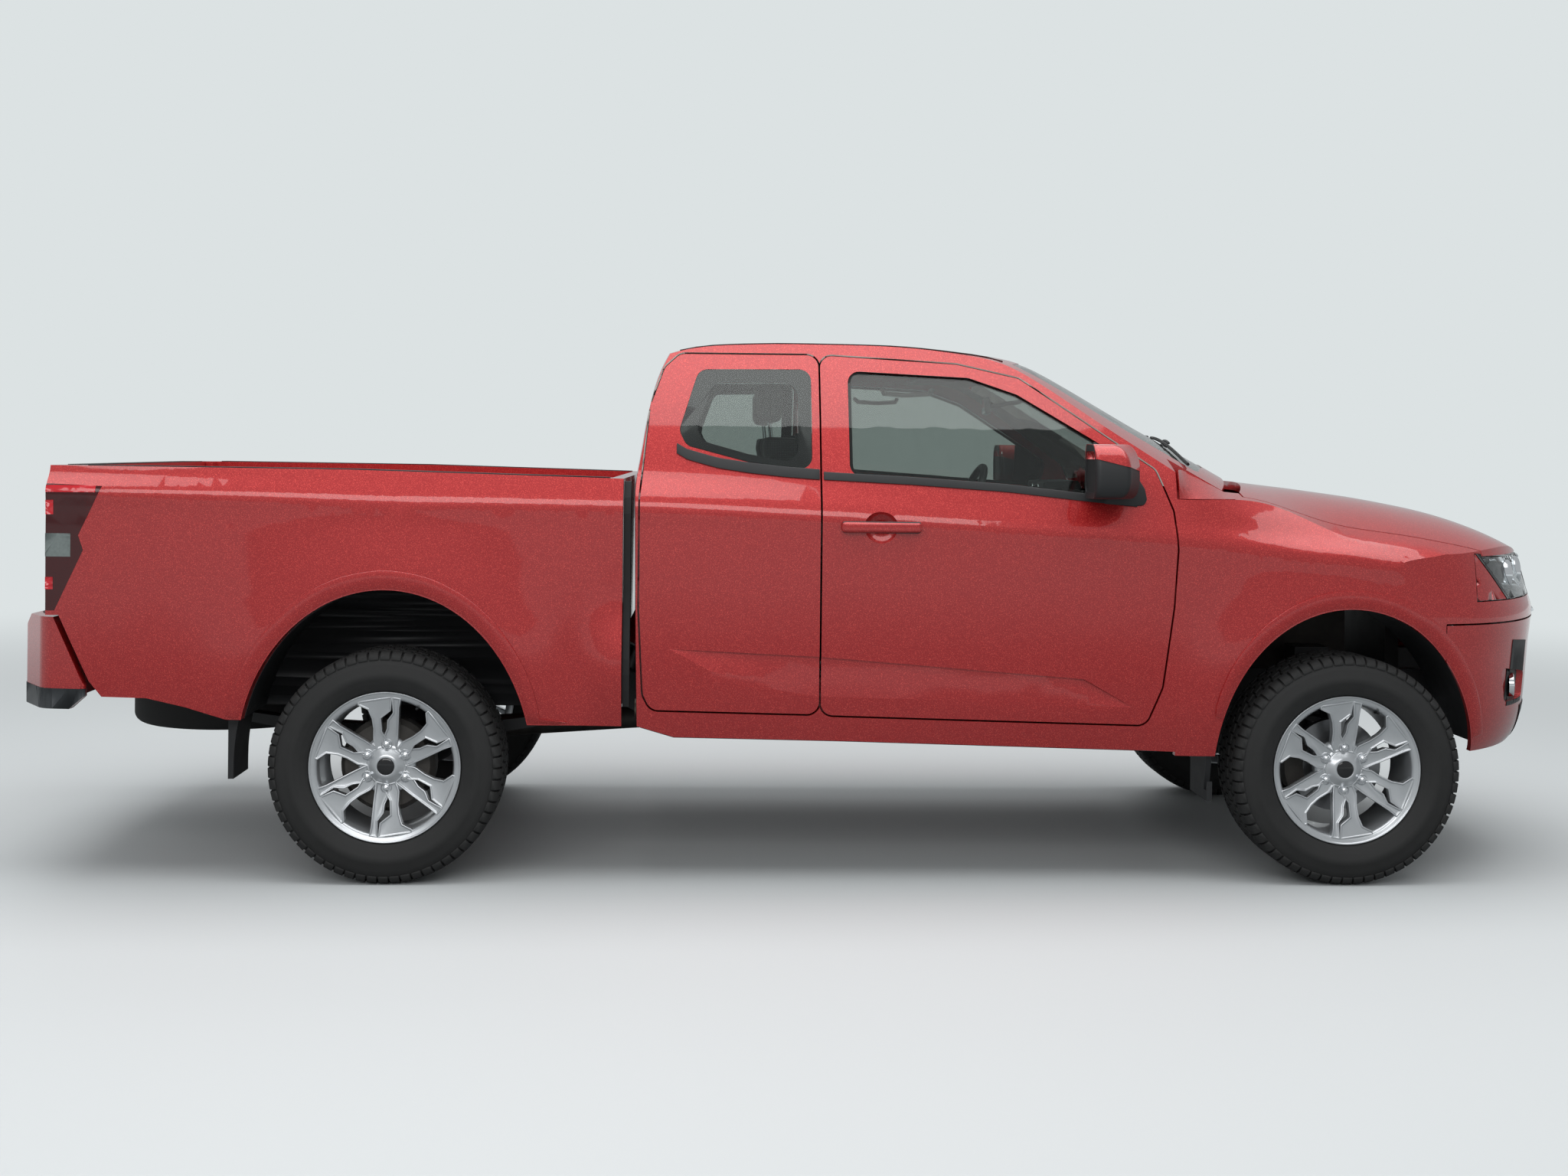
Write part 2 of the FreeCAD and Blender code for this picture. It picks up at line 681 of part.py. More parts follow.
def cab_parts():
    """The cab shell and its doors; everything is made on the right and mirrored."""
    envelope = cab_envelope()
    inner = right_half("cab", cab_wall)
    cabin = inner.common(below_roof(roof_thickness)).common(ahead_of_cab_rear(rear_wall))
    cabin = cabin.common(block(-length / 2, firewall_x - firewall_thickness, -half_width,
                               overrun, floor_level, overall_height))
    underside = block(-length / 2, firewall_x + overrun, -sill_inner_half_width, overrun, 0,
                      floor_level - floor_thickness)
    hollow_cowl = block(firewall_x, length, -cowl_half_width + skin, overrun, 0,
                        cowl_low + skin * 3).cut(ahead_of_cowl(-skin, half_width))
    trough = ahead_of_cowl(-cowl_trough_width, cowl_half_width).common(
        block(firewall_x, length, -cowl_half_width, overrun, cowl_trough_level, overall_height))
    shell = envelope.cut([cabin, underside, hollow_cowl, trough])
    lug_y = -hood_pin_inner - hood_pin_length - seat_gap
    shell = shell.fuse(block(cowl_front_x - cowl_trough_width / 2,
                             hood_hinge_x, lug_y - skin * 0.6, lug_y,
                             cowl_trough_level - skin, hood_axis_level))
    clear_inner = right_half("cab", lambda row, place: cab_wall(row, place) + shut_gap)
    y_in = -panel_half_width * 0.45
    y_out = -half_width * 1.1
    parts = {}
    for key, outline, glazing, edge_x, relief, forward, hinge_x in (
            ("door", front_door_shares, window_shares, station(front_door_shares[-1][0]),
             front_relief_shares, True, station(front_door_shares[6][0])),
            ("access_door", access_door_shares, quarter_shares,
             station(access_door_shares[1][0]), access_relief_shares, False,
             station(access_door_shares[5][0]))):
        outline = places(outline)
        prism = side_prism(outline, y_in, y_out, corner_radius)
        cutter = side_prism_grown(outline, y_in, y_out, corner_radius, shut_gap)
        glazed = side_prism(places(glazing), y_in, y_out, corner_radius)
        wedge = door_edge_relief(edge_x, relief, -1, forward)
        panel = envelope.common(prism).cut(inner).cut(glazed).cut(wedge)
        reach = side_prism_grown(outline, y_in, y_out, corner_radius, shut_gap - seat_gap)
        panel = panel.fuse(door_hinge(hinge_x, forward, reach))
        parts[key + "_right"] = panel
        parts[key + "_left"] = mirrored(panel)
        shell = shell.cut(cutter.cut(clear_inner))
    parts["door_right"] = with_handle(parts["door_right"])
    parts["door_left"] = mirrored(parts["door_right"])
    shell = shell.cut(windscreen_prism(0.0)).cut(rear_window_prism(0.0))
    parts["cab_shell"] = whole(shell)
    return parts


def with_handle(door):
    """A right door with its pull handle over a round finger cup."""
    front = station(handle_end_shares[1])
    rear = station(handle_end_shares[0])
    z = level(handle_level_share)
    half = handle_height / 2
    skin_y = -cab_half_width(handle_level_share)
    cup = Part.makeSphere(cup_radius, Vector((front + rear) / 2, skin_y - cup_radius * 0.55, z))
    bar = block(rear, front, skin_y - handle_reach, skin_y - handle_reach + handle_thickness,
                z - half, z + half)
    bar = bar.makeFillet(handle_thickness * 0.4, bar.Edges)
    feet = []
    for x in (rear + relief_land, front - handle_height - relief_land):
        feet.append(block(x, x + handle_height, skin_y - handle_reach + handle_thickness / 2,
                          skin_y + skin / 2, z - half + relief_land * 2,
                          z + half - relief_land * 2))
    return door.cut(cup).fuse([bar] + feet)


def windscreen_prism(margin):
    """Upright prism over the windscreen opening, made smaller by a margin."""
    bow = windscreen_bow_share
    top_share, low_share = windscreen_end_shares
    side_top, side_low = windscreen_side_shares
    points = []
    for cross in (-1.0, -0.6, -0.2, 0.2, 0.6, 1.0):
        y = cross * (panel_half_width * side_top - margin)
        x = station(top_share - bow * (y / panel_half_width) ** 2) + margin
        points.append((x, y))
    for cross in (1.0, 0.6, 0.2, -0.2, -0.6, -1.0):
        y = cross * (panel_half_width * side_low - margin)
        x = station(low_share - bow * (y / panel_half_width) ** 2) - margin
        points.append((x, y))
    return plan_prism(points, level(0.5), overall_height * 1.1, corner_radius - margin)


def rear_window_prism(margin):
    """Prism along the vehicle over the rear window opening, made smaller by a margin."""
    half_low = panel_half_width * 0.70 - margin
    half_top = panel_half_width * 0.62 - margin
    low = level(0.755) + margin
    high = level(0.915) - margin
    points = [(-half_low, low), (half_low, low), (half_top, high), (-half_top, high)]
    return front_prism(points, station(0.2), station(0.35), corner_radius - margin)


def cab_glass():
    """Windscreen and rear window, two plates that follow the cab's surfaces."""
    x0, x1, z0, z1 = zone_shares["cab"]
    zone = block(station(x0), station(x1), -panel_half_width * 0.9, panel_half_width * 0.9,
                 level(z0), level(z1))
    depth = glass_gap * 10
    screen = zone.common(windscreen_prism(glass_gap)).common(below_roof(depth))
    screen = screen.cut(below_roof(depth + glass_thickness))
    rear = zone.common(rear_window_prism(glass_gap)).common(ahead_of_cab_rear(glass_recess))
    rear = rear.cut(ahead_of_cab_rear(glass_recess + glass_thickness))
    return Part.makeCompound([screen, rear])


def side_glasses():
    """Front door glasses and quarter glasses of both sides."""
    glasses = {}
    y_in = -panel_half_width * 0.45
    y_out = -half_width * 1.1
    for key, shares, depth in (("door_glass", window_shares, glass_recess),
                               ("quarter_glass", quarter_shares, glass_gap)):
        prism = side_prism_grown(places(shares), y_in, y_out, corner_radius, -glass_gap)
        pane = prism.common(right_of_skin("cab", constant(depth)))
        pane = pane.cut(right_of_skin("cab", constant(depth + glass_thickness)))
        glasses[key + "_right"] = pane
        glasses[key + "_left"] = mirrored(pane)
    return glasses


hood_hinge_x = cowl_front_x + shut_gap
fender_seam_x = cab_front_x
hood_half_width = panel_half_width * 0.865
bumper_top = level(0.478)
lamp_low = level(0.520)
lamp_high = level(0.606)
grille_half_width = panel_half_width * 0.49
hood_nose_level = level(0.600)
lamp_rear_x = station(1.49)
bumper_rear_x = station(1.36)


def front_envelope(inset):
    """Right half of the front body's closed form, moved inwards by an inset."""
    body = right_half("front", constant(inset)).common(below_hood(inset))
    return body.common(behind_nose(inset))


def front_parts():
    """Fenders, bonnet, bumper, headlamps and grille from one outer form."""
    ahead = block(fender_seam_x, length, -length, overrun, -length, length)
    outer = front_envelope(0.0).common(ahead)
    shell = outer.cut(front_envelope(skin))
    wide = half_width * 1.1
    parts = {}
    arch = arch_prism(front_axle_x, front_arch_length, front_arch_height,
                      -wide, -liner_inner_half_width)
    half_gap = shut_gap / 2
    hood_zone = ahead_of_cowl(shut_gap, hood_half_width - half_gap).common(
        block(0, length, -half_width, overrun, hood_nose_level + half_gap, overall_height))
    hood_void = ahead_of_cowl(0.0, hood_half_width + half_gap).common(
        block(0, length, -half_width, overrun, hood_nose_level - half_gap, overall_height))
    pin = Part.makeCylinder(hood_pin_radius, hood_pin_length,
                            Vector(hood_hinge_x, -hood_pin_inner - hood_pin_length,
                                   hood_axis_level), Y_AXIS)
    arm = block(hood_hinge_x, hood_hinge_x + skin * 1.5, -hood_pin_inner - hood_pin_length,
                -hood_pin_inner, hood_axis_level - hood_pin_radius * 0.8,
                hood_axis_level + hood_pin_radius * 0.8)
    parts["bonnet"] = whole(shell.common(hood_zone).fuse([pin, arm]))
    lamp_points = [(-grille_half_width, lamp_low), (-wide, lamp_low), (-wide, lamp_high),
                   (-grille_half_width, lamp_high)]
    lamp_zone = front_prism(lamp_points, lamp_rear_x, length)
    deep = outer.cut(front_envelope(skin * 3))
    parts["headlamps"] = both_sides(largest(deep.common(lamp_zone).cut(hood_void)))
    lamp_void = front_prism(grown(lamp_points, half_gap), lamp_rear_x - seat_gap, length)
    bumper_zone = block(bumper_rear_x, length, -wide, overrun, level(0.24),
                        bumper_top - half_gap)
    thick = outer.cut(front_envelope(bumper_wall))
    mouth = front_prism([(-grille_half_width * 0.9, level(0.315)), (overrun, level(0.315)),
                         (overrun, level(0.385)), (-grille_half_width * 0.9, level(0.385))],
                        0, length, small_radius)
    pocket_points = [(-panel_half_width * 0.80, level(0.325)),
                     (-panel_half_width * 0.60, level(0.325)),
                     (-panel_half_width * 0.60, level(0.372)),
                     (-panel_half_width * 0.84, level(0.392))]
    pocket = front_prism(pocket_points, 0, length, small_radius)
    pocket = pocket.cut(front_envelope(fog_pocket_depth))
    bumper = thick.common(bumper_zone).cut([arch, mouth, pocket])
    parts["front_bumper"] = whole(bumper)
    fender_zone = block(fender_seam_x, length, -wide, -grille_half_width,
                        level(0.236), overall_height)
    bumper_void = block(bumper_rear_x - half_gap, length, -wide, overrun, 0,
                        bumper_top + half_gap)
    cowl_void = block(fender_seam_x - overrun, length, -cowl_half_width - half_gap, overrun,
                      0, overall_height).cut(ahead_of_cowl(half_gap, half_width))
    fender = shell.common(fender_zone).cut([hood_void, lamp_void, bumper_void, arch, cowl_void])
    parts["front_fenders"] = both_sides(largest(fender))
    parts["grille"] = grille(outer)
    return parts


def largest(shape):
    """The biggest solid of a shape."""
    return max(shape.Solids, key=lambda solid: solid.Volume)


def grille(outer):
    """Surround with crossed bars in the opening between the headlamps."""
    low = bumper_top - shut_gap / 2 + seat_gap
    high = hood_nose_level - shut_gap / 2
    half = grille_half_width - shut_gap
    body = outer.cut(front_envelope(skin * 2))
    frame = whole(body.common(block(0, length, -half, overrun, low, high)))
    rim = small_radius
    columns = 4
    rows = 3
    pitch_y = (half - rim / 2) / columns
    pitch_z = (high - low - rim) / rows
    holes = []
    for column in range(columns):
        for row in range(rows):
            y0 = -half + rim + column * pitch_y
            z0 = low + rim + row * pitch_z
            holes.append(block(0, length, y0, y0 + pitch_y - rim, z0, z0 + pitch_z - rim))
    return frame.cut(holes + [mirrored(hole) for hole in holes])


bed_front_x = station(0.242)
bed_rear_x = station(-0.868)
bed_outline_shares = ((-0.868, 0.482), (-0.834, 0.482), (-0.757, 0.364), (-0.725, 0.336),
                      (-0.611, 0.334), (-0.509, 0.318), (-0.405, 0.297), (0.242, 0.287),
                      (0.242, 0.7332), (-0.099, 0.745), (-0.868, 0.7485))
tailgate_low = level(0.487)
tailgate_high = level(0.748)
tail_lamp_shares = ((-0.868, 0.716), (-0.725, 0.712), (-0.785, 0.624), (-0.772, 0.598),
                    (-0.845, 0.490), (-0.868, 0.490))


def bed_hull():
    """Right half of the load bed's closed outside."""
    outline = side_prism(places(bed_outline_shares), -half_width * 1.1, overrun)
    return right_half("bed", constant(0.0)).common(outline)


def load_bed():
    """Load bed with double side walls, wheelhouses and the recesses of the tail lamps."""
    wide = half_width * 1.1
    room = block(bed_rear_x + post_depth, bed_front_x - bed_front_wall, -bed_inner_half_width,
                 overrun, bed_floor_level, overall_height)
    under = right_half("bed", constant(bed_skirt)).common(
        block(bed_rear_x - overrun, bed_front_x + overrun, -wide, overrun, 0,
              bed_floor_level - bed_floor_thickness))
    gate = block(bed_rear_x - overrun, bed_rear_x + tailgate_thickness + shut_gap,
                 -tailgate_half_width - shut_gap, overrun, 0, overall_height)
    between_posts = block(bed_rear_x - overrun, bed_rear_x + post_depth + overrun,
                          -tailgate_half_width - shut_gap, overrun, bed_floor_level,
                          overall_height)
    bed = bed_hull().cut([room, under, gate, between_posts] + floor_grooves())
    house = arch_prism(rear_axle_x, rear_arch_length + wheelhouse_wall,
                       rear_arch_height + wheelhouse_wall, -panel_half_width + bed_skirt * 0.8,
                       -liner_inner_half_width)
    house = house.common(block(-length, length, -wide, 0, level(0.30), overall_height))
    hole = arch_prism(rear_axle_x, rear_arch_length, rear_arch_height, -wide,
                      -liner_inner_half_width - wheelhouse_wall)
    bed = bed.fuse(house).cut([hole, tail_lamp_zone(shut_gap / 20)])
    return whole(bed)


def floor_grooves():
    """Long grooves between the ribs of the bed floor, on the right half and the centre line."""
    grooves = []
    pitch = (liner_inner_half_width - skin) / groove_pairs
    for index in range(groove_pairs):
        y = -index * pitch
        grooves.append(block(bed_rear_x + post_depth + overrun,
                             bed_front_x - bed_front_wall - overrun, y - pitch / 4,
                             y + pitch / 4, bed_floor_level - groove_depth,
                             bed_floor_level + overrun))
    return grooves


def tail_lamp_zone(margin):
    """Corner of the load bed that the right tail lamp fills, grown by a margin."""
    outline = grown(places(tail_lamp_shares), margin)
    return side_prism(outline, -half_width * 1.1, -tailgate_half_width - skin * 1.5 + margin)


def tail_lamps():
    """Tail lamps flush in the rear corners of the bed."""
    return both_sides(bed_hull().common(tail_lamp_zone(0.0)))


def tailgate():
    """Tailgate with a round foot on its hinge line, a pressed field and a lip on top."""
    x0 = bed_rear_x
    x1 = bed_rear_x + tailgate_thickness
    pivot_x = (x0 + x1) / 2
    radius = tailgate_thickness / 2
    half = tailgate_half_width
    panel = block(x0, x1, -half, half, tailgate_low + radius, tailgate_high)
    foot = Part.makeCylinder(radius, 2 * half, Vector(pivot_x, -half, tailgate_low + radius),
                             Y_AXIS)
    reach = half + shut_gap - seat_gap
    pins = Part.makeCylinder(radius / 2, 2 * reach,
                             Vector(pivot_x, -reach, tailgate_low + radius), Y_AXIS)
    lip_points = [(x0 + small_radius, tailgate_high - skin * 2), (x0, tailgate_high - skin),
                  (x0 - small_radius, tailgate_high), (x0 + small_radius, tailgate_high)]
    lip = side_prism(lip_points, -half, half)
    field = block(x0 - overrun, x0 + small_radius / 2, -half * 0.86, half * 0.86,
                  tailgate_low + skin * 2, tailgate_high - skin * 5)
    handle = block(x0 - overrun, x0 + small_radius, -corner_radius * 2, corner_radius * 2,
                   tailgate_high - skin * 4, tailgate_high - skin * 2.4)
    return panel.fuse([foot, pins, lip]).cut([field, handle])


rear_bumper_low_share = 0.315
rear_bumper_high_share = 0.478


def rear_bumper():
    """Step bumper that wraps round the rear corners, on two arms from the frame."""
    z0 = level(rear_bumper_low_share)
    z1 = level(rear_bumper_high_share)
    half = panel_half_width
    tail = -length / 2
    points = [(tail, -half * 0.30), (tail, half * 0.30), (tail + skin * 1.4, half * 0.80),
              (tail + skin * 5, half * 0.975), (station(-0.765), half * 1.0),
              (station(-0.765), half * 0.96), (rear_bumper_inner_x, half * 0.92),
              (rear_bumper_inner_x, -half * 0.92), (station(-0.765), -half * 0.96),
              (station(-0.765), -half * 1.0), (tail + skin * 5, -half * 0.975),
              (tail + skin * 1.4, -half * 0.80)]
    bar = plan_prism(points, z0, z1, corner_radius * 2)
    wide = half * 1.1
    side_cut = side_prism([(station(-0.845) - shut_gap, z1 + overrun),
                           (station(-0.845) - shut_gap, level(0.476)),
                           (station(-0.765) - shut_gap, level(0.360)),
                           (station(-0.725) - shut_gap, level(0.326)),
                           (station(-0.60), level(0.326)), (station(-0.60), z1 + overrun)],
                          -wide, wide)
    step = block(tail - overrun, tail + skin * 3, -half * 0.34, half * 0.34,
                 z1 - skin * 1.5, z1 + overrun)
    pad_top = z1 - skin * 1.5
    under = block(tail + skin, rear_bumper_inner_x + overrun, -half * 0.30, half * 0.30,
                  z0 - overrun, pad_top - hitch_pad_thickness)
    hitch_hole = Part.makeCylinder(hitch_hole_radius, z1, Vector(tail + hitch_hole_inset, 0, 0))
    return bar.cut([side_cut, step, under, hitch_hole])


gearbox_saddle_x = station(0.70)
rear_bumper_inner_x = station(-0.86) - shut_gap


def rail_outline():
    """Side view of a frame rail: kicked up over the rear axle and ahead of the cab."""
    stations = (rear_bumper_inner_x + seat_gap, station(-0.42), station(0.17), station(0.27),
                station(0.80), station(0.90), station(1.95))
    lows = (rear_rail_low, rear_rail_low + skin, rear_rail_low, rail_low, rail_low,
            front_rail_low, front_rail_low)
    lower = list(zip(stations, lows))
    upper = [(x, z + rail_height) for x, z in reversed(lower)]
    return lower + upper


def ladder_frame():
    """Two frame rails joined by crossmembers, with the pads that carry cab and bed."""
    rail = side_prism(rail_outline(), rail_outer_half_width - rail_width, rail_outer_half_width,
                      corner_radius).common(behind_nose(bumper_wall + seat_gap))
    frame = rail.fuse(mirrored(rail))
    inner = rail_outer_half_width - rail_width / 2
    tubes = []
    for share, low in ((-0.80, rear_rail_low), (-0.33, rear_rail_low + skin),
                       (0.24, (rear_rail_low + rail_low) / 2), (0.42, rail_low + skin),
                       (1.47, front_rail_low)):
        tubes.append(Part.makeCylinder(crossmember_radius, 2 * inner,
                                       Vector(station(share), -inner, low + rail_height / 2),
                                       Y_AXIS))
    pads = []
    pad_half = rail_width / 2
    pad_y = rail_outer_half_width - pad_half
    for share in (0.32, 0.56, 0.72):
        x = station(share)
        pads.append(block(x - pad_half, x + pad_half, pad_y - pad_half, pad_y + pad_half,
                          rail_low + rail_height / 2, floor_level - floor_thickness))
    for share in (-0.62, 0.12, 0.215):
        x = station(share)
        pads.append(block(x - pad_half, x + pad_half, pad_y - pad_half, pad_y + pad_half,
                          rear_rail_low, bed_floor_level - bed_floor_thickness))
    x = gearbox_saddle_x
    pads.append(block(x - skin, x + skin, pad_y - pad_half, pad_y + pad_half,
                      gearbox_saddle_top() - skin, rail_low + skin))
    pads = pads + [mirrored(pad) for pad in pads]
    saddle = block(x - skin, x + skin, -inner, inner, gearbox_saddle_top() - skin,
                   gearbox_saddle_top())
    return frame.fuse(tubes + pads + [saddle])


def revolved(profile, axle_x, y, z):
    """Body of revolution about an axle line from places (radius, width)."""
    points = [Vector(axle_x, y + w, z + r) for r, w in profile]
    wire = Part.makePolygon(points + [points[0]])
    return Part.Face(wire).revolve(Vector(axle_x, y, z), Y_AXIS, 360)


def tyre(axle_x, side):
    """Tyre with rounded shoulders and sidewalls, seated on the rim."""
    half = tyre_width / 2
    bead_half = rim_width / 2 - rim_lip_width - wheel_fit
    mid_radius = (tyre_radius + bead_radius) / 2
    lip_top = bead_radius + rim_lip + wheel_fit
    y = side * half_track
    inner = bead_radius + wheel_fit
    profile = [
        Vector(0, -bead_half, inner), Vector(0, -bead_half, lip_top),
        Vector(0, -half * 0.97, inner + tyre_shoulder),
        Vector(0, -half, mid_radius + tyre_shoulder * 0.3),
        Vector(0, -half * 0.95, tyre_radius - tyre_shoulder),
        Vector(0, -half * 0.80, tyre_radius - tyre_shoulder_drop * 0.5),
        Vector(0, -half * 0.5, tyre_radius), Vector(0, half * 0.5, tyre_radius),
        Vector(0, half * 0.80, tyre_radius - tyre_shoulder_drop * 0.5),
        Vector(0, half * 0.95, tyre_radius - tyre_shoulder),
        Vector(0, half, mid_radius + tyre_shoulder * 0.3),
        Vector(0, half * 0.97, inner + tyre_shoulder), Vector(0, bead_half, lip_top),
        Vector(0, bead_half, inner)]
    placed = [Vector(axle_x, y + point.y, wheel_z + point.z) for point in profile]
    wire = Part.makePolygon(placed + [placed[0]])
    return Part.Face(wire).revolve(Vector(axle_x, y, wheel_z), Y_AXIS, 360)


def rim(axle_x, side):
    """Alloy rim: barrel with two lips, hub and pairs of swirled arms; side is 1 left, -1 right."""
    half = rim_width / 2
    outer = bead_radius
    lip = outer + rim_lip
    well = outer - rim_well
    face = half - rim_face_inset
    profile = [(lip, half), (lip, half - rim_lip_width), (outer, half - rim_lip_width),
               (outer, half * 0.45), (well, half * 0.2), (well, -half * 0.3),
               (outer, -half * 0.55), (outer, -half + rim_lip_width),
               (lip, -half + rim_lip_width), (lip, -half), (outer - rim_wall, -half),
               (outer - rim_wall, -half * 0.6), (well - rim_wall, -half * 0.35),
               (well - rim_wall, half * 0.25), (outer - rim_wall, half * 0.5),
               (outer - rim_wall, half)]
    y = side * half_track
    barrel = revolved([(r, side * w) for r, w in profile], axle_x, y, wheel_z)
    back = face - wheel_disc_thickness
    hub = revolved([(hub_bore_radius, side * back), (hub_bore_radius, side * face),
                    (hub_face_radius, side * face), (hub_face_radius, side * back)],
                   axle_x, y, wheel_z)
    cap = revolved([(0, side * (face - small_radius)), (0, side * (face + small_radius / 2)),
                    (hub_bore_radius * 0.9, side * (face + small_radius / 4)),
                    (hub_bore_radius + wheel_fit, side * face),
                    (hub_bore_radius + wheel_fit, side * (face - small_radius))],
                   axle_x, y, wheel_z)
    arms = []
    for index in range(spoke_count):
        turn = 360.0 * index / spoke_count
        arms.append(arm(axle_x, side, wide_arm_shares, turn))
        arms.append(arm(axle_x, side, thin_arm_shares, turn))
    outer_r = bead_radius - rim_wall / 2
    inner_r = hub_face_radius * 0.75
    dish = revolved([(inner_r, side * face), (outer_r, side * (face + spoke_rise)),
                     (outer_r, side * (face + spoke_rise - spoke_depth)),
                     (inner_r, side * (face - wheel_disc_thickness * 0.9))],
                    axle_x, y, wheel_z)
    return barrel.fuse([hub, cap] + [shape.common(dish) for shape in arms])


def arm(axle_x, side, shares, turn):
    """One swirled arm across the wheel's whole width, from (angle, radius) shares."""
    points = []
    for angle_share, radius_share in shares:
        angle = math.radians(turn + angle_share * 360.0 / spoke_count)
        radius = radius_share * bead_radius
        points.append(Vector(axle_x - side * radius * math.sin(angle), side * half_track,
                             wheel_z + radius * math.cos(angle)))
    face = Part.Face(Part.makePolygon(points + [points[0]]))
    return face.extrude(Vector(0, side * rim_width / 2, 0))


def brake_disc(side):
    """Front brake disc with its hat against the back of the rim's hub."""
    y = side * half_track
    hat_face = rim_width / 2 - rim_face_inset - wheel_disc_thickness
    disc_out = hat_face - disc_inset
    hat_wall = rim_wall
    profile = [(spindle_radius + wheel_fit, hat_face), (disc_hat_radius, hat_face),
               (disc_hat_radius, disc_out), (disc_radius, disc_out),
               (disc_radius, disc_out - disc_thickness),
               (disc_hat_radius - hat_wall, disc_out - disc_thickness),
               (disc_hat_radius - hat_wall, hat_face - hat_wall),
               (spindle_radius + wheel_fit, hat_face - hat_wall)]
    return revolved([(r, side * w) for r, w in profile], front_axle_x, y, wheel_z)


def brake_drum(side):
    """Rear brake drum against the back of the rim's hub."""
    y = side * half_track
    face = rim_width / 2 - rim_face_inset - wheel_disc_thickness
    profile = [(axle_tube_radius * 0.5 + wheel_fit, face), (disc_radius * 0.9, face),
               (disc_radius, face - small_radius), (disc_radius, face - drum_width),
               (disc_radius - rim_wall, face - drum_width),
               (disc_radius - rim_wall, face - small_radius),
               (axle_tube_radius * 0.5 + wheel_fit, face - rim_wall)]
    return revolved([(r, side * w) for r, w in profile], rear_axle_x, y, wheel_z)


def knuckle(side):
    """Steering knuckle: upright with its kingpin eyes, spindle and brake caliper."""
    y = side * half_track
    hat_face = rim_width / 2 - rim_face_inset - wheel_disc_thickness
    disc_back = hat_face - disc_inset - disc_thickness
    pin_y = side * (half_track - kingpin_offset)
    pin = Part.makeCylinder(kingpin_radius, knuckle_height,
                            Vector(front_axle_x, pin_y, wheel_z - knuckle_height / 2), Z_AXIS)
    start = Vector(front_axle_x, pin_y, wheel_z)
    spindle_length = abs(y + side * (hat_face - rim_wall) - pin_y) + rim_wall
    spindle = Part.makeCylinder(spindle_radius, spindle_length, start, Vector(0, side, 0))
    plate = Part.makeCylinder(disc_hat_radius * 0.9, small_radius,
                              Vector(front_axle_x, y + side * (disc_back - running_gap
                                                               - small_radius), wheel_z),
                              Vector(0, side, 0))
    web = block(front_axle_x - kingpin_radius, front_axle_x + kingpin_radius,
                min(pin_y, y + side * (disc_back - running_gap)),
                max(pin_y, y + side * (disc_back - running_gap)),
                wheel_z - knuckle_height * 0.36, wheel_z + knuckle_height * 0.36)
    outer_r = disc_radius + caliper_height * 0.4
    inner_r = disc_radius - caliper_height * 0.6
    middle = disc_back + disc_thickness / 2
    ring = revolved([(inner_r, side * (middle - caliper_thickness / 2)),
                     (inner_r, side * (middle + caliper_thickness / 2)),
                     (outer_r, side * (middle + caliper_thickness / 2)),
                     (outer_r, side * (middle - caliper_thickness / 2))],
                    front_axle_x, y, wheel_z)
    slot = revolved([(0, side * (middle - disc_thickness / 2 - running_gap)),
                     (0, side * (middle + disc_thickness / 2 + running_gap)),
                     (disc_radius + running_gap,
                      side * (middle + disc_thickness / 2 + running_gap)),
                     (disc_radius + running_gap,
                      side * (middle - disc_thickness / 2 - running_gap))],
                    front_axle_x, y, wheel_z)
    sector = block(front_axle_x - outer_r * 1.2, front_axle_x - inner_r * 0.6,
                   min(0, side * length), max(0, side * length),
                   wheel_z - caliper_span / 2, wheel_z + caliper_span / 2)
    caliper = ring.cut(slot).common(sector)
    bracket = block(front_axle_x - inner_r, front_axle_x,
                    min(y + side * (disc_back - running_gap - small_radius),
                        y + side * (disc_back - running_gap)),
                    max(y + side * (disc_back - running_gap - small_radius),
                        y + side * (disc_back - running_gap)),
                    wheel_z - caliper_span * 0.3, wheel_z + caliper_span * 0.3)
    return pin.fuse([spindle, plate, web, caliper, bracket])


def front_suspension():
    """Upper and lower arms from the rails to the kingpins, and the coil-over struts."""
    pin_y = half_track - kingpin_offset
    pieces = []
    for z, spread in ((wheel_z - knuckle_height / 2 - small_radius, lower_arm_spread),
                      (wheel_z + knuckle_height / 2, upper_arm_spread)):
        inner_y = rail_outer_half_width - rail_width / 2
        points = [(front_axle_x - kingpin_radius, pin_y + kingpin_radius),
                  (front_axle_x + kingpin_radius, pin_y + kingpin_radius),
                  (front_axle_x + spread, inner_y), (front_axle_x + spread - skin, inner_y),
                  (front_axle_x, pin_y - skin * 2),
                  (front_axle_x - spread + skin, inner_y), (front_axle_x - spread, inner_y)]
        pieces.append(plan_prism(points, z, z + small_radius))
    low = wheel_z - knuckle_height / 2
    post = block(front_axle_x - lower_arm_spread, front_axle_x + lower_arm_spread,
                 rail_outer_half_width - rail_width,
                 rail_outer_half_width - rail_width / 2 + small_radius, low - small_radius,
                 front_rail_low)
    strut = Part.makeCylinder(skin, front_rail_low + rail_height + skin * 3 - low,
                              Vector(front_axle_x, rail_outer_half_width + skin * 2,
                                     low - small_radius / 2), Z_AXIS)
    tower = block(front_axle_x - skin * 2, front_axle_x + skin * 2,
                  rail_outer_half_width + seat_gap, rail_outer_half_width + skin * 4,
                  front_rail_low + skin, front_rail_low + rail_height + skin * 3)
    foot = block(front_axle_x - lower_arm_spread * 0.6, front_axle_x + lower_arm_spread * 0.6,
                 rail_outer_half_width + skin, rail_outer_half_width + skin * 3,
                 low - small_radius, low)
    side = pieces[0].fuse([pieces[1], post, strut, tower, foot])
    return both_sides(side)


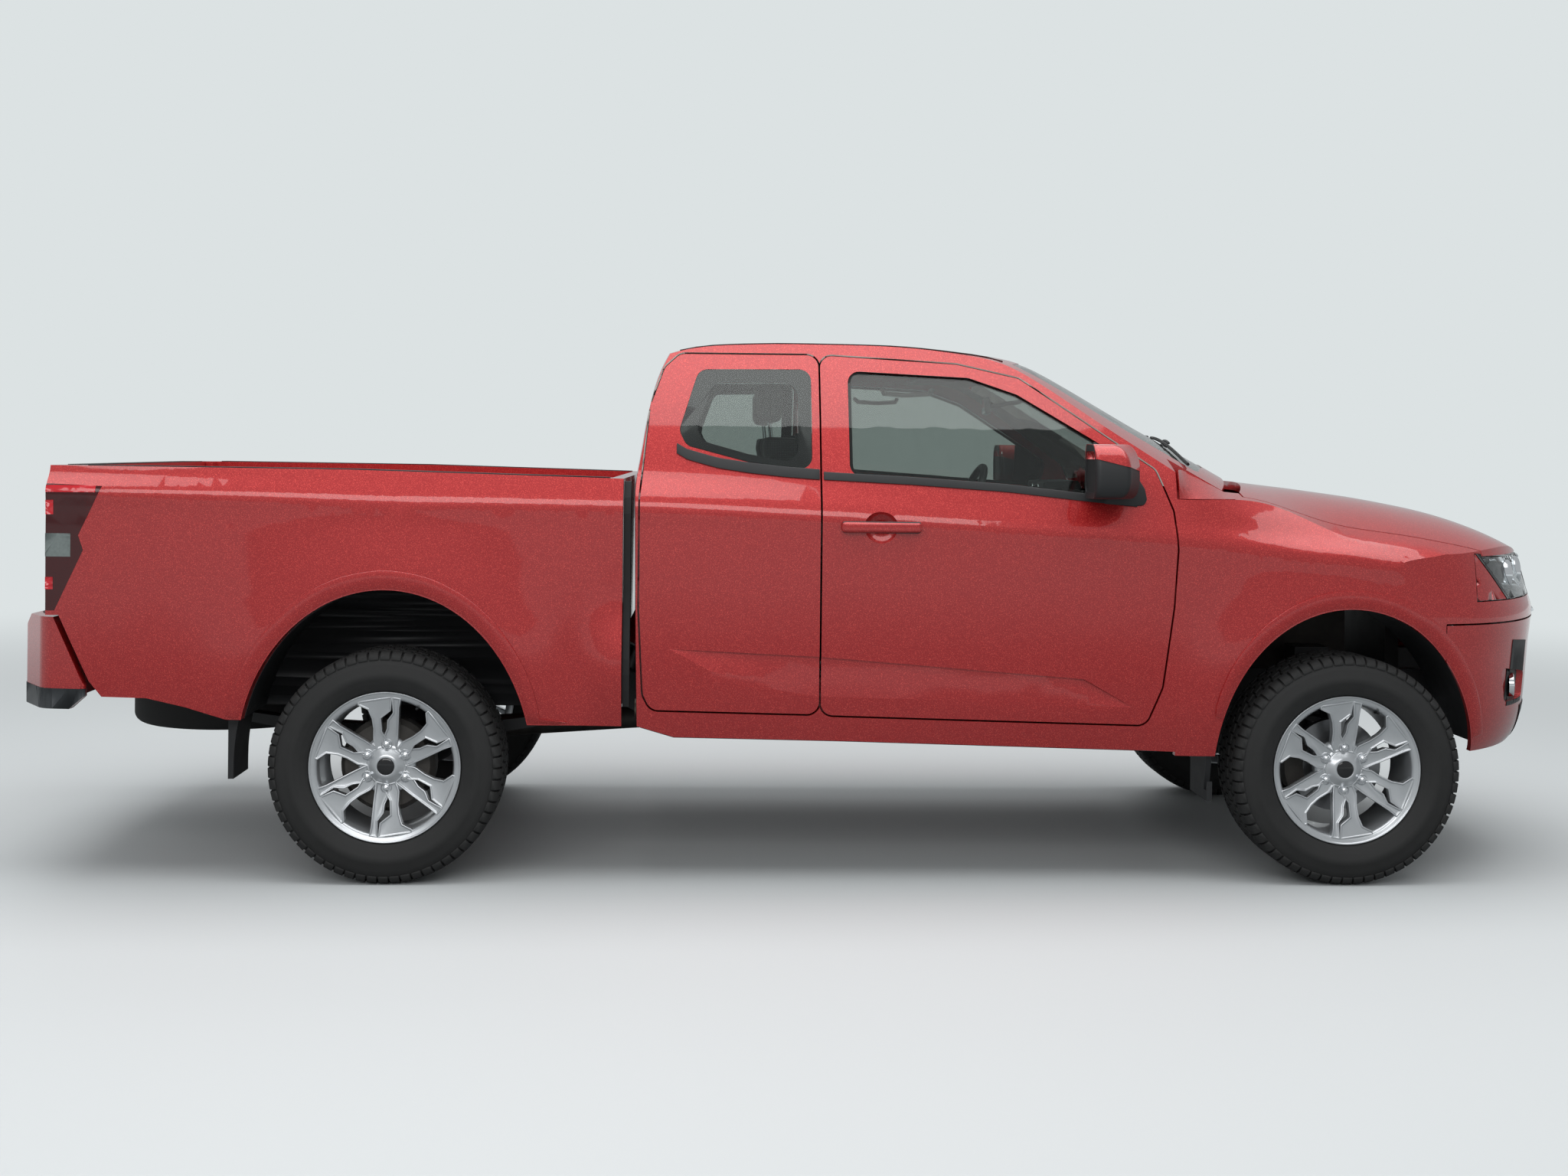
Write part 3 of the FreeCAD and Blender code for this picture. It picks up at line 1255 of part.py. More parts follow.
def rear_axle():
    """Live axle: tube, differential housing and backing plates."""
    face = rim_width / 2 - rim_face_inset - wheel_disc_thickness - drum_width
    reach = half_track + face - running_gap
    stub = half_track + rim_width / 2 - rim_face_inset - wheel_disc_thickness - rim_wall
    start = Vector(rear_axle_x, -reach, wheel_z)
    tube = Part.makeCylinder(axle_tube_radius, 2 * reach, start, Y_AXIS)
    shaft = Part.makeCylinder(axle_tube_radius * 0.5, 2 * stub,
                              Vector(rear_axle_x, -stub, wheel_z), Y_AXIS)
    housing = Part.makeSphere(differential_radius, Vector(rear_axle_x, 0, wheel_z))
    nose = Part.makeCone(differential_radius * 0.7, propshaft_radius * 1.2,
                         differential_radius * 1.7, Vector(rear_axle_x, 0, wheel_z), X_AXIS)
    plates = []
    for side in (-1, 1):
        plates.append(Part.makeCylinder(disc_radius * 0.86, small_radius / 2,
                                        Vector(rear_axle_x, side * reach, wheel_z),
                                        Vector(0, -side, 0)))
    return tube.fuse([shaft, housing, nose] + plates)


def leaf_springs():
    """Leaf springs outside the rails, with their eyes, hangers and axle clamps."""
    half_span = wheelbase * 0.21
    sag = skin * 3
    y0 = spring_half_spacing - spring_width / 2
    z_mid = wheel_z + axle_tube_radius + wheel_fit
    ends_z = z_mid + sag

    def leaf_point(t, offset):
        return Vector(rear_axle_x + t * half_span, y0, z_mid + sag * t * t + offset)

    lower = Part.Arc(leaf_point(-1, 0), leaf_point(0, 0), leaf_point(1, 0)).toShape()
    upper = Part.Arc(leaf_point(-1, spring_thickness / 2), leaf_point(0, spring_thickness),
                     leaf_point(1, spring_thickness / 2)).toShape()
    ends = [Part.LineSegment(leaf_point(1, 0), leaf_point(1, spring_thickness / 2)).toShape(),
            Part.LineSegment(leaf_point(-1, spring_thickness / 2), leaf_point(-1, 0)).toShape()]
    pack = Part.Face(Part.Wire([lower, ends[0], upper, ends[1]])).extrude(
        Vector(0, spring_width, 0))
    pieces = []
    for t in (-1, 1):
        x = rear_axle_x + t * half_span
        eye = Part.makeCylinder(skin * 0.8, spring_width, Vector(x, y0, ends_z + skin / 3),
                                Y_AXIS)
        top = rear_rail_low + rail_height / 2
        hanger = block(x - skin * 0.7, x + skin * 0.7, rail_outer_half_width + wheel_fit,
                       y0 + spring_width, ends_z, top)
        pieces += [eye, hanger]
    return both_sides(pack.fuse(pieces))


def gearbox_tail_x():
    """Rear end of the gearbox."""
    return station(0.66)


def gearbox_saddle_top():
    """Top of the crossmember that carries the gearbox, just under the housing."""
    share = (gearbox_saddle_x + skin - gearbox_tail_x()) / (engine_rear_x() - gearbox_tail_x())
    radius = gearbox_tail_radius + (gearbox_radius - gearbox_tail_radius) * share
    return gearbox_axis_level - radius - seat_gap


def driveline():
    """Gearbox housing behind the engine and the shaft from it to the rear axle."""
    x0 = gearbox_tail_x()
    z = gearbox_axis_level
    bell = Part.makeCone(gearbox_tail_radius, gearbox_radius, engine_rear_x() - x0,
                         Vector(x0, 0, z), X_AXIS)
    nose_x = rear_axle_x + differential_radius * 1.7 + seat_gap
    start = Vector(nose_x - propshaft_radius, 0, wheel_z)
    end = Vector(x0 + skin, 0, z)
    run = end.sub(start)
    shaft = Part.makeCylinder(propshaft_radius, run.Length, start, run)
    behind = block(nose_x - length, nose_x, -length, length, 0, length)
    return bell.fuse(shaft.cut(behind))


def engine_rear_x():
    """Rear face of the engine."""
    return station(0.855)


def engine_block():
    """The engine as one plain block between the rails, on its two mounts."""
    half = rail_outer_half_width - rail_width - skin * 2
    x1 = station(1.22)
    z0 = front_rail_low
    body = block(engine_rear_x() + wheel_fit, x1, -half, half, z0, level(0.60))
    mount_x = (engine_rear_x() + x1) / 2
    mount = block(mount_x - skin, mount_x + skin, -(half + skin * 2 - wheel_fit),
                  half + skin * 2 - wheel_fit, z0 + skin, z0 + rail_height - skin)
    return body.fuse(mount)


def radiator():
    """Radiator core between the rails behind the grille."""
    x0 = station(1.36)
    half = rail_outer_half_width - rail_width - seat_gap
    core = block(x0, x0 + skin * 1.6, -half, half, front_rail_low, level(0.58))
    return core


def exhaust():
    """Exhaust pipe with its silencer along the right rail, hung from the frame."""
    y = -(rail_outer_half_width + skin * 4)
    z = rail_low + rail_height / 2
    r = skin
    front = Vector(station(0.60), y, z)
    rear = Vector(station(0.27), y, z)
    silencer = Part.makeCylinder(skin * 2.6, front.x - rear.x - skin * 4,
                                 Vector(rear.x + skin * 2, y, z), X_AXIS)
    pipe = Part.makeCylinder(r, front.x - rear.x + skin * 4, Vector(rear.x - skin * 2, y, z),
                             X_AXIS)
    hanger = block(station(0.42) - skin / 2, station(0.42) + skin / 2, y,
                   -(rail_outer_half_width + wheel_fit), z - skin / 2, z + skin / 2)
    return silencer.fuse([pipe, hanger])


def fuel_tank():
    """Fuel tank between the rails behind the gearbox, on the left."""
    x0 = station(0.26)
    x1 = station(0.40)
    tank = block(x0, x1, propshaft_radius * 2.5, rail_outer_half_width - rail_width - wheel_fit,
                 rail_low - skin * 2, rail_low + rail_height)
    return tank.makeFillet(skin * 0.8, tank.Edges)


def spare_wheel():
    """Spare wheel lying under the rear of the bed, up against the rails."""
    x = station(-0.56)
    top = rear_rail_low - seat_gap
    outer = rear_overhang * 0.29
    bottom = top - tyre_width * 0.85
    tyre_ring = Part.makeCylinder(outer, top - bottom, Vector(x, 0, bottom), Z_AXIS)
    ring = tyre_ring.makeFillet(tyre_shoulder, tyre_ring.Edges)
    well = Part.makeCylinder(bead_radius * 0.9, (top - bottom) * 0.55, Vector(x, 0, bottom),
                             Z_AXIS)
    return ring.cut(well)


def arch_liners():
    """Front wheelhouse liners and the four flaps behind the wheels."""
    outer = arch_prism(front_axle_x, front_arch_length + liner_thickness,
                       front_arch_height + liner_thickness, liner_inner_half_width,
                       panel_half_width + overrun)
    inner = arch_prism(front_axle_x, front_arch_length, front_arch_height,
                       liner_inner_half_width - overrun, panel_half_width + overrun)
    zone = block(-length, length, 0, length, level(0.26), length)
    inside_wing = mirrored(front_envelope(skin + seat_gap))
    beside_bumper = block(bumper_rear_x - shut_gap, length, 0, length, 0, bumper_top + shut_gap)
    inside_bumper = mirrored(front_envelope(bumper_wall + seat_gap))
    liner = outer.cut(inner).common(zone).common(inside_wing)
    liner = liner.cut(beside_bumper.cut(inside_bumper))
    x0 = front_axle_x - front_arch_length
    flap = block(x0 - small_radius, x0 + overrun, tyre_inner_y(), panel_half_width * 0.95,
                 tyre_radius * 0.72, level(0.36))
    flap = flap.cut(arch_prism(front_axle_x, front_arch_length + seat_gap,
                               front_arch_height + seat_gap, 0, length))
    flap = largest(flap.cut(mirrored(front_envelope(0.0)).cut(inside_wing)))
    rear_x = rear_axle_x - rear_arch_length
    rear_face = rear_x - wheelhouse_wall - seat_gap
    house = arch_prism(rear_axle_x, rear_arch_length + wheelhouse_wall + seat_gap,
                       rear_arch_height + wheelhouse_wall + seat_gap, 0, length)
    rear_flap = block(rear_face - small_radius, rear_face + overrun, tyre_inner_y(),
                      panel_half_width - bed_skirt * 1.5, tyre_radius * 0.88,
                      level(0.328)).cut(house)
    liner = liner.fuse(flap)
    return Part.makeCompound([liner, mirrored(liner), rear_flap, mirrored(rear_flap)])


def tyre_inner_y():
    """Inner side of the tyres."""
    return half_track - tyre_width / 2


def seats():
    """Two front seats and two small rear seats, on their mounts."""
    pieces = []
    x = station(0.50)
    top = floor_level + seat_height
    for side in (-1, 1):
        y0 = side * seat_y - seat_width / 2
        y1 = y0 + seat_width
        cushion_points = [(x - seat_depth / 2, top - cushion_thickness),
                          (x + seat_depth / 2, top - cushion_thickness * 0.8),
                          (x + seat_depth / 2, top), (x - seat_depth / 2, top - bolster_height)]
        cushion = side_prism(cushion_points, y0, y1, small_radius)
        base = block(x - seat_depth * 0.4, x + seat_depth * 0.4, y0 + bolster_width,
                     y1 - bolster_width, floor_level, top - cushion_thickness * 0.7)
        foot_x = x - seat_depth / 2
        back_points = [(foot_x, top - cushion_thickness / 2),
                       (foot_x + backrest_thickness, top - cushion_thickness / 2),
                       (foot_x + backrest_thickness - backrest_lean, top + backrest_height),
                       (foot_x - backrest_lean, top + backrest_height)]
        back = side_prism(back_points, y0, y1, small_radius)
        bolsters = []
        for near, far in ((y0, y0 + bolster_width), (y1 - bolster_width, y1)):
            ridge = [(x - seat_depth * 0.40, top - bolster_height),
                     (x + seat_depth * 0.42, top - bolster_height),
                     (x + seat_depth * 0.36, top + bolster_height),
                     (x - seat_depth * 0.40, top + bolster_height)]
            bolsters.append(side_prism(ridge, near, far, small_radius))
            wing = [(foot_x + backrest_thickness / 2, top),
                    (foot_x + backrest_thickness + bolster_height, top + bolster_height),
                    (foot_x + backrest_thickness + bolster_height - backrest_lean * 0.8,
                     top + backrest_height * 0.82),
                    (foot_x + backrest_thickness / 2 - backrest_lean * 0.8,
                     top + backrest_height * 0.86)]
            bolsters.append(side_prism(wing, near, far, small_radius))
        rest_x = foot_x - backrest_lean
        rest_low = top + backrest_height + headrest_gap
        rest = side_prism([(rest_x, rest_low), (rest_x + headrest_depth, rest_low),
                           (rest_x + headrest_depth * 0.9, rest_low + headrest_height),
                           (rest_x - headrest_depth * 0.1, rest_low + headrest_height)],
                          side * seat_y - headrest_width / 2, side * seat_y + headrest_width / 2,
                          small_radius)
        posts = []
        for offset in (-1, 1):
            posts.append(Part.makeCylinder(
                post_radius, headrest_gap * 3,
                Vector(rest_x + headrest_depth / 2, side * seat_y + offset * headrest_width / 4,
                       rest_low - headrest_gap * 2), Z_AXIS))
        pieces.append(cushion.fuse([base, back, rest] + bolsters + posts))
    rear_x = station(0.29)
    for side in (-1, 1):
        y0 = side * seat_y - seat_width * 0.41
        bench = block(rear_x, rear_x + seat_depth * 0.56, y0, y0 + seat_width * 0.82,
                      floor_level, floor_level + rear_seat_height)
        pieces.append(bench.makeFillet(small_radius, bench.Edges))
    return Part.makeCompound(pieces)


def dashboard():
    """Dashboard across the cabin with its instrument hood, console and steering column."""
    x0 = station(0.735)
    x1 = firewall_x - firewall_thickness
    low = level(0.50)
    high = level(0.70)
    depth = x1 - x0
    height = high - low
    points = [(x1, low), (x1, high), (x0 + depth * 0.32, high + height * 0.03),
              (x0, high - height * 0.17), (x0 - depth * 0.02, high - height * 0.42),
              (x0 + depth * 0.32, low)]
    half = panel_half_width * 0.80
    body = side_prism(points, -half, half, small_radius)
    console = block(x0 - console_length, x1, -console_half_width, console_half_width,
                    floor_level, floor_level + console_height)
    console = console.makeFillet(small_radius, [edge for edge in console.Edges
                                                if edge.BoundBox.ZMin > floor_level])
    hood_points = [(x0 + depth * 0.64, high - height * 0.08),
                   (x0 + depth * 0.53, high + height * 0.13),
                   (x0 + depth * 0.06, high + height * 0.12), (x0, high - height * 0.17)]
    hood = side_prism(hood_points, seat_y - gauge_half_width, seat_y + gauge_half_width,
                      small_radius / 2)
    start, direction = column_line()
    column = Part.makeCylinder(column_radius, steering_wheel_radius * 1.4,
                               start.add(Vector(direction).multiply(column_radius * 1.4)),
                               direction)
    stack = block(x0 + depth * 0.11, x1, -console_half_width, console_half_width, floor_level,
                  high - height * 0.17)
    return body.fuse([console, hood, column, stack])


def column_line():
    """Centre of the steering wheel's hub and the direction of its column, forwards."""
    rake = math.radians(24)
    start = Vector(station(0.648), seat_y, level(0.655))
    return start, Vector(math.cos(rake), 0, -math.sin(rake))


def steering_wheel():
    """Steering wheel: rim, hub and three spokes about the column's line."""
    start, direction = column_line()
    ring = Part.makeTorus(steering_wheel_radius, steering_rim_radius, start, direction)
    hub = Part.makeCylinder(steering_wheel_radius * 0.34, steering_rim_radius * 2,
                            start.sub(Vector(direction).multiply(steering_rim_radius)),
                            direction)
    boss = Part.makeCylinder(column_radius * 0.7, column_radius * 1.4 - wheel_fit, start,
                             direction)
    pieces = [hub, boss]
    across = Vector(0, 1, 0)
    upward = direction.cross(across)
    for angle in (0, 180, 270):
        turn = math.radians(angle)
        out = Vector(across).multiply(math.cos(turn)).add(
            Vector(upward).multiply(math.sin(turn)))
        pieces.append(Part.makeCylinder(steering_rim_radius * 0.7, steering_wheel_radius,
                                        start, out))
    return ring.fuse(pieces)


def mirror(side):
    """Door mirror: a tapered housing with a sunk glass, on an arm from the door's window."""
    x0 = station(0.718)
    x1 = station(0.772)
    z0 = level(0.706)
    z1 = level(0.802)
    y0 = panel_half_width * 0.985
    y1 = panel_half_width * 1.20
    depth = x1 - x0
    width = y1 - y0
    sections = []
    for height_share, size_share in ((0.0, 0.80), (0.10, 0.95), (0.35, 1.0), (0.70, 0.97),
                                     (0.92, 0.86), (1.0, 0.68)):
        z = z0 + (z1 - z0) * height_share
        back = x0 + depth * 0.02
        front = x0 + depth * size_share
        inner = y0 + width * (1 - size_share) * 0.4
        outer = y1 - width * (1 - size_share)
        outline = [(back, inner), (back, outer), (front - depth * 0.34, outer),
                   (front, inner + width * 0.38), (front, inner)]
        sections.append(rounded_wire([Vector(x, side * y, z) for x, y in outline],
                                     small_radius))
    housing = Part.makeLoft(sections, True, False)
    pane = front_prism([(side * (y0 + width * 0.10), z0 + mirror_edge),
                        (side * (y1 - width * 0.12), z0 + mirror_edge),
                        (side * (y1 - width * 0.16), z1 - mirror_edge),
                        (side * (y0 + width * 0.12), z1 - mirror_edge)],
                       x0 - overrun, x0 + mirror_sink, small_radius)
    arm_y = y0 * 0.93
    stem = block(station(0.752), station(0.770), min(side * arm_y, side * y0 * 1.04),
                 max(side * arm_y, side * y0 * 1.04), z0 + mirror_edge, z0 + mirror_edge * 2.4)
    inward = Vector(0, -side * 2 * half_width, 0)
    skin_side = solid_behind(side_grid("cab", side, constant(-wheel_fit)), inward)
    return housing.cut(pane).fuse(stem.cut(skin_side))


def export(name, shape):
    """Writes one sub-part as a STEP file."""
    shape.exportStep(os.path.join("parts", name + ".step"))
    print(name, len(shape.Solids), round(shape.Volume / 1e6, 2), shape.isValid())


def main():
    os.makedirs("parts", exist_ok=True)
    export("ladder_frame", ladder_frame())
    export("front_suspension", front_suspension())
    export("rear_axle", rear_axle())
    export("leaf_springs", leaf_springs())
    export("engine_block", engine_block())
    export("driveline", driveline())
    export("radiator", radiator())
    export("exhaust", exhaust())
    export("fuel_tank", fuel_tank())
    export("spare_wheel", spare_wheel())
    export("arch_liners", arch_liners())
    export("seats", seats())
    export("dashboard", dashboard())
    export("steering_wheel", steering_wheel())
    for name, piece in cab_parts().items():
        export(name, piece)
    export("cab_glass", cab_glass())
    for name, glass in side_glasses().items():
        export(name, glass)
    for name, piece in front_parts().items():
        export(name, piece)
    export("load_bed", load_bed())
    export("tailgate", tailgate())
    export("tail_lamps", tail_lamps())
    export("rear_bumper", rear_bumper())
    for side, name in ((-1, "right"), (1, "left")):
        export("mirror_" + name, mirror(side))
        export("knuckle_" + name, knuckle(side))
        export("brake_disc_" + name, brake_disc(side))
        export("brake_drum_" + name, brake_drum(side))
        for axle, axle_x in (("front", front_axle_x), ("rear", rear_axle_x)):
            export("tyre_" + axle + "_" + name, tyre(axle_x, side))
            export("rim_" + axle + "_" + name, rim(axle_x, side))


main()
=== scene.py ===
"""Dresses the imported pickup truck: finishes, wheels, trim, lamps, cabin and studio.

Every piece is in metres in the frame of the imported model: +X forward, +Y to the truck's left,
+Z up, origin on the ground in the middle of the length.
"""

import logging
import math
from dataclasses import dataclass, field
from enum import Enum
from typing import Callable, Iterable, Sequence

import bmesh
import bpy
from mathutils import Matrix, Vector


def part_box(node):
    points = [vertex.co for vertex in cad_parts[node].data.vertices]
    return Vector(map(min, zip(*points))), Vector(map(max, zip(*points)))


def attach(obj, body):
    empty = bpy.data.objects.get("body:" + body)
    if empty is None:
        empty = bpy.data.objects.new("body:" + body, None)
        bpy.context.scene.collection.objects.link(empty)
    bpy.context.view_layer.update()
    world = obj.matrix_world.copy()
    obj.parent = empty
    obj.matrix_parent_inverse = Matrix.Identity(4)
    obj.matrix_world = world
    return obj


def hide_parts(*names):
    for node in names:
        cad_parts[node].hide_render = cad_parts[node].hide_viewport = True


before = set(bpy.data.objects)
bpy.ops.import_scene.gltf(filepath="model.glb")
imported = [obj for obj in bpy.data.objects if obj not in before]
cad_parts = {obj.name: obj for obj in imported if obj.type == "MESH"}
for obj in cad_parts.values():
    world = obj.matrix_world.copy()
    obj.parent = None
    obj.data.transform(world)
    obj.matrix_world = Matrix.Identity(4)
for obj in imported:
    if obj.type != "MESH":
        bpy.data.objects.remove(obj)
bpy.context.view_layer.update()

logging.basicConfig(level=logging.INFO, format="%(name)s: %(message)s")
log = logging.getLogger("dressing")

MM = 0.001
REAR_AXLE_X = -1.3975
FRONT_AXLE_X = 1.7275
AXLE_Z = 0.375
HALF_TRACK = 0.785
Point = Sequence[float]


class Side(Enum):
    """Side of the truck, as the sign of its Y."""

    RIGHT = -1
    LEFT = 1

    @property
    def word(self) -> str:
        """The side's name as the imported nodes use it."""
        return self.name.lower()


# ---- work at the bench ----


def deselect() -> None:
    """Leaves nothing selected."""
    bpy.ops.object.select_all(action="DESELECT")


def activate(obj: bpy.types.Object) -> None:
    """Makes one object the selected and active one.

    Args:
        obj: The object to work on.
    """
    deselect()
    obj.select_set(True)
    bpy.context.view_layer.objects.active = obj


def named(name: str) -> bpy.types.Object:
    """Names the active object and its mesh.

    Args:
        name: The new name.

    Returns:
        The active object.
    """
    obj = bpy.context.view_layer.objects.active
    obj.name = name
    obj.data.name = name
    return obj


def settle(obj: bpy.types.Object) -> bpy.types.Object:
    """Applies an object's place, turn and scale to its mesh.

    Args:
        obj: The object.

    Returns:
        The same object, at the origin.
    """
    activate(obj)
    bpy.ops.object.transform_apply(location=True, rotation=True, scale=True)
    return obj


def node_copy(name: str, node: str) -> bpy.types.Object:
    """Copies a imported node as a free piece, leaving the node as it is.

    Args:
        name: The new piece's name.
        node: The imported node.

    Returns:
        The piece, still with the node's loose triangles.
    """
    activate(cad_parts[node])
    bpy.ops.object.duplicate(linked=False)
    obj = named(name)
    obj.modifiers.clear()
    obj.parent = None
    return settle(obj)


def edit(obj: bpy.types.Object) -> None:
    """Opens an object in edit mode with all of it selected.

    Args:
        obj: The object.
    """
    activate(obj)
    bpy.ops.object.mode_set(mode="EDIT")
    bpy.ops.mesh.select_mode(type="VERT")
    bpy.ops.mesh.select_all(action="SELECT")


def leave_edit() -> None:
    """Returns to object mode."""
    bpy.ops.object.mode_set(mode="OBJECT")


def pick_faces(obj: bpy.types.Object, test: Callable[[Vector, Vector], bool]) -> None:
    """Selects, in edit mode, the faces that pass a test on their centre and normal.

    Args:
        obj: The object in edit mode.
        test: Takes a face's centre and normal.
    """
    bpy.ops.mesh.select_all(action="DESELECT")
    bpy.ops.mesh.select_mode(type="FACE")
    mesh = bmesh.from_edit_mesh(obj.data)
    for face in mesh.faces:
        face.select_set(test(face.calc_center_median(), face.normal))
    bmesh.update_edit_mesh(obj.data)


def pick_points(obj: bpy.types.Object, test: Callable[[Vector], bool]) -> None:
    """Selects, in edit mode, the vertices that pass a test on their place.

    Args:
        obj: The object in edit mode.
        test: Takes a vertex's place.
    """
    bpy.ops.mesh.select_all(action="DESELECT")
    bpy.ops.mesh.select_mode(type="VERT")
    mesh = bmesh.from_edit_mesh(obj.data)
    for vertex in mesh.verts:
        vertex.select_set(test(vertex.co))
    mesh.select_flush(True)
    bmesh.update_edit_mesh(obj.data)


def chain(name: str, points: Sequence[Point], closed: bool = False) -> bpy.types.Object:
    """Draws a line of edges by extruding one vertex from point to point.

    Args:
        name: The object's name.
        points: The places of the vertices.
        closed: True if the line returns to its start.

    Returns:
        The object, in object mode.
    """
    deselect()
    bpy.ops.mesh.primitive_plane_add(size=0.01, location=points[0])
    obj = named(name)
    settle(obj)
    edit(obj)
    bpy.ops.mesh.merge(type="CENTER")
    course = list(points) + ([points[0]] if closed else [])
    for here, following in zip(course, course[1:]):
        step = Vector(following) - Vector(here)
        bpy.ops.mesh.extrude_region_move(TRANSFORM_OT_translate={"value": step})
    if closed:
        bpy.ops.mesh.select_all(action="SELECT")
        bpy.ops.mesh.remove_doubles(threshold=1e-5)
    leave_edit()
    return obj


def solidly_out() -> None:
    """Selects all in edit mode and turns the faces outwards."""
    bpy.ops.mesh.select_all(action="SELECT")
    bpy.ops.mesh.normals_make_consistent(inside=False)


def slab(name: str, points: Sequence[Point], depth: Point) -> bpy.types.Object:
    """Fills an outline and extrudes it into a plate.

    Args:
        name: The object's name.
        points: The outline's places.
        depth: The vector of the extrusion.

    Returns:
        The plate.
    """
    obj = chain(name, points, closed=True)
    edit(obj)
    bpy.ops.mesh.edge_face_add()
    bpy.ops.mesh.extrude_region_move(TRANSFORM_OT_translate={"value": Vector(depth)})
    solidly_out()
    leave_edit()
    return obj


def lathe(name: str, profile: Sequence[tuple[float, float]], centre: Point, axis: Point,
          steps: int = 48, closed: bool = False) -> bpy.types.Object:
    """Spins a profile about an axis.

    Args:
        name: The object's name.
        profile: Pairs of radius and place along the axis.
        centre: A point on the axis.
        axis: The axis direction.
        steps: Steps of the full turn.
        closed: True if the profile is a closed loop.

    Returns:
        The turned piece.
    """
    along = Vector(axis).normalized()
    out = Vector((0, 0, 1)) if abs(along.z) < 0.5 else Vector((1, 0, 0))
    out = (out - along * out.dot(along)).normalized()
    points = [Vector(centre) + out * r + along * t for r, t in profile]
    obj = chain(name, points, closed)
    edit(obj)
    bpy.ops.mesh.spin(steps=steps, angle=2 * math.pi, center=centre, axis=along)
    bpy.ops.mesh.select_all(action="SELECT")
    bpy.ops.mesh.remove_doubles(threshold=2e-5)
    bpy.ops.mesh.dissolve_degenerate(threshold=1e-6)
    solidly_out()
    leave_edit()
    return obj


def tube(name: str, path: Sequence[Point], radius: float, cyclic: bool = False,
         sides: int = 10) -> bpy.types.Object:
    """Draws a round bar along a smooth path.

    Args:
        name: The object's name.
        path: Places on the bar's line.
        radius: The bar's radius.
        cyclic: True for a closed ring.
        sides: Faces round the bar.

    Returns:
        The bar as a mesh.
    """
    obj = chain(name, path, cyclic)
    bpy.ops.object.convert(target="CURVE")
    curve = obj.data
    curve.bevel_depth = radius
    curve.bevel_resolution = max(sides // 4 - 1, 1)
    curve.use_fill_caps = True
    curve.resolution_u = 1
    bpy.ops.object.convert(target="MESH")
    obj = named(name)
    edit(obj)
    solidly_out()
    leave_edit()
    return obj


def join(name: str, objects: Iterable[bpy.types.Object]) -> bpy.types.Object:
    """Makes several objects one.

    Args:
        name: The joined object's name.
        objects: The objects.

    Returns:
        The one object.
    """
    members = list(objects)
    deselect()
    for member in members:
        member.select_set(True)
    bpy.context.view_layer.objects.active = members[0]
    if len(members) > 1:
        bpy.ops.object.join()
    return named(name)


def copied(obj: bpy.types.Object, name: str, move: Point = (0, 0, 0), turn: float = 0.0,
           about: Point = (0, 0, 0), axis: Point = (0, 0, 1)) -> bpy.types.Object:
    """Copies an object with its own mesh, turned about an axis and moved.

    Args:
        obj: The object to copy.
        name: The copy's name.
        move: How far the copy is moved.
        turn: Angle of the turn in radians.
        about: A point on the turn's axis.
        axis: The turn's axis.

    Returns:
        The copy, settled.
    """
    activate(obj)
    bpy.ops.object.duplicate(linked=False)
    copy = named(name)
    pivot = Matrix.Translation(Vector(about))
    turned = pivot @ Matrix.Rotation(turn, 4, Vector(axis)) @ pivot.inverted()
    copy.matrix_world = Matrix.Translation(Vector(move)) @ turned @ copy.matrix_world
    return settle(copy)


def mirrored(obj: bpy.types.Object, name: str) -> bpy.types.Object:
    """Copies an object to the other side of the truck.

    Args:
        obj: The object to copy.
        name: The copy's name.

    Returns:
        The mirrored copy, its faces outwards.
    """
    activate(obj)
    bpy.ops.object.duplicate(linked=False)
    copy = named(name)
    copy.scale = (1, -1, 1)
    settle(copy)
    edit(copy)
    solidly_out()
    leave_edit()
    return copy


def apply_modifier(obj: bpy.types.Object, kind: str, **settings: object) -> bpy.types.Object:
    """Adds a modifier with its settings and applies it.

    Args:
        obj: The object.
        kind: The modifier's type.
        settings: The modifier's properties.

    Returns:
        The same object.
    """
    activate(obj)
    modifier = obj.modifiers.new(kind.title(), kind)
    for key, value in settings.items():
        setattr(modifier, key, value)
    bpy.ops.object.modifier_apply(modifier=modifier.name)
    return obj


def rounded(obj: bpy.types.Object, width: float, segments: int = 2,
            angle: float = 30.0) -> bpy.types.Object:
    """Bevels an object's sharp edges.

    Args:
        obj: The object.
        width: The bevel's width.
        segments: Steps of the bevel.
        angle: Edges sharper than this angle in degrees are bevelled.

    Returns:
        The same object.
    """
    return apply_modifier(obj, "BEVEL", width=width, segments=segments,
                          limit_method="ANGLE", angle_limit=math.radians(angle),
                          use_clamp_overlap=True)


def smooth(obj: bpy.types.Object, angle: float = 35.0) -> bpy.types.Object:
    """Shades an object smooth except over its sharp edges.

    Args:
        obj: The object.
        angle: Edges sharper than this angle in degrees stay sharp.

    Returns:
        The same object.
    """
    activate(obj)
    bpy.ops.object.shade_smooth_by_angle(angle=math.radians(angle))
    return obj


def skin_y(nodes: Sequence[str], x: float, z: float, side: Side) -> float:
    """Finds where a body side stands at a place in side view.

    Args:
        nodes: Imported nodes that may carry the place.
        x: Place along the truck.
        z: Height.
        side: Side of the truck.

    Returns:
        The Y of the outermost face, or of the widest point where nothing is hit.
    """
    best = 0.0
    start = Vector((x, side.value * 1.3, z))
    for node in nodes:
        hit, place, _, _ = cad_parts[node].ray_cast(start, Vector((0, -side.value, 0)))
        if hit and abs(place.y) > abs(best):
            best = place.y
    return best if best else side.value * 0.9


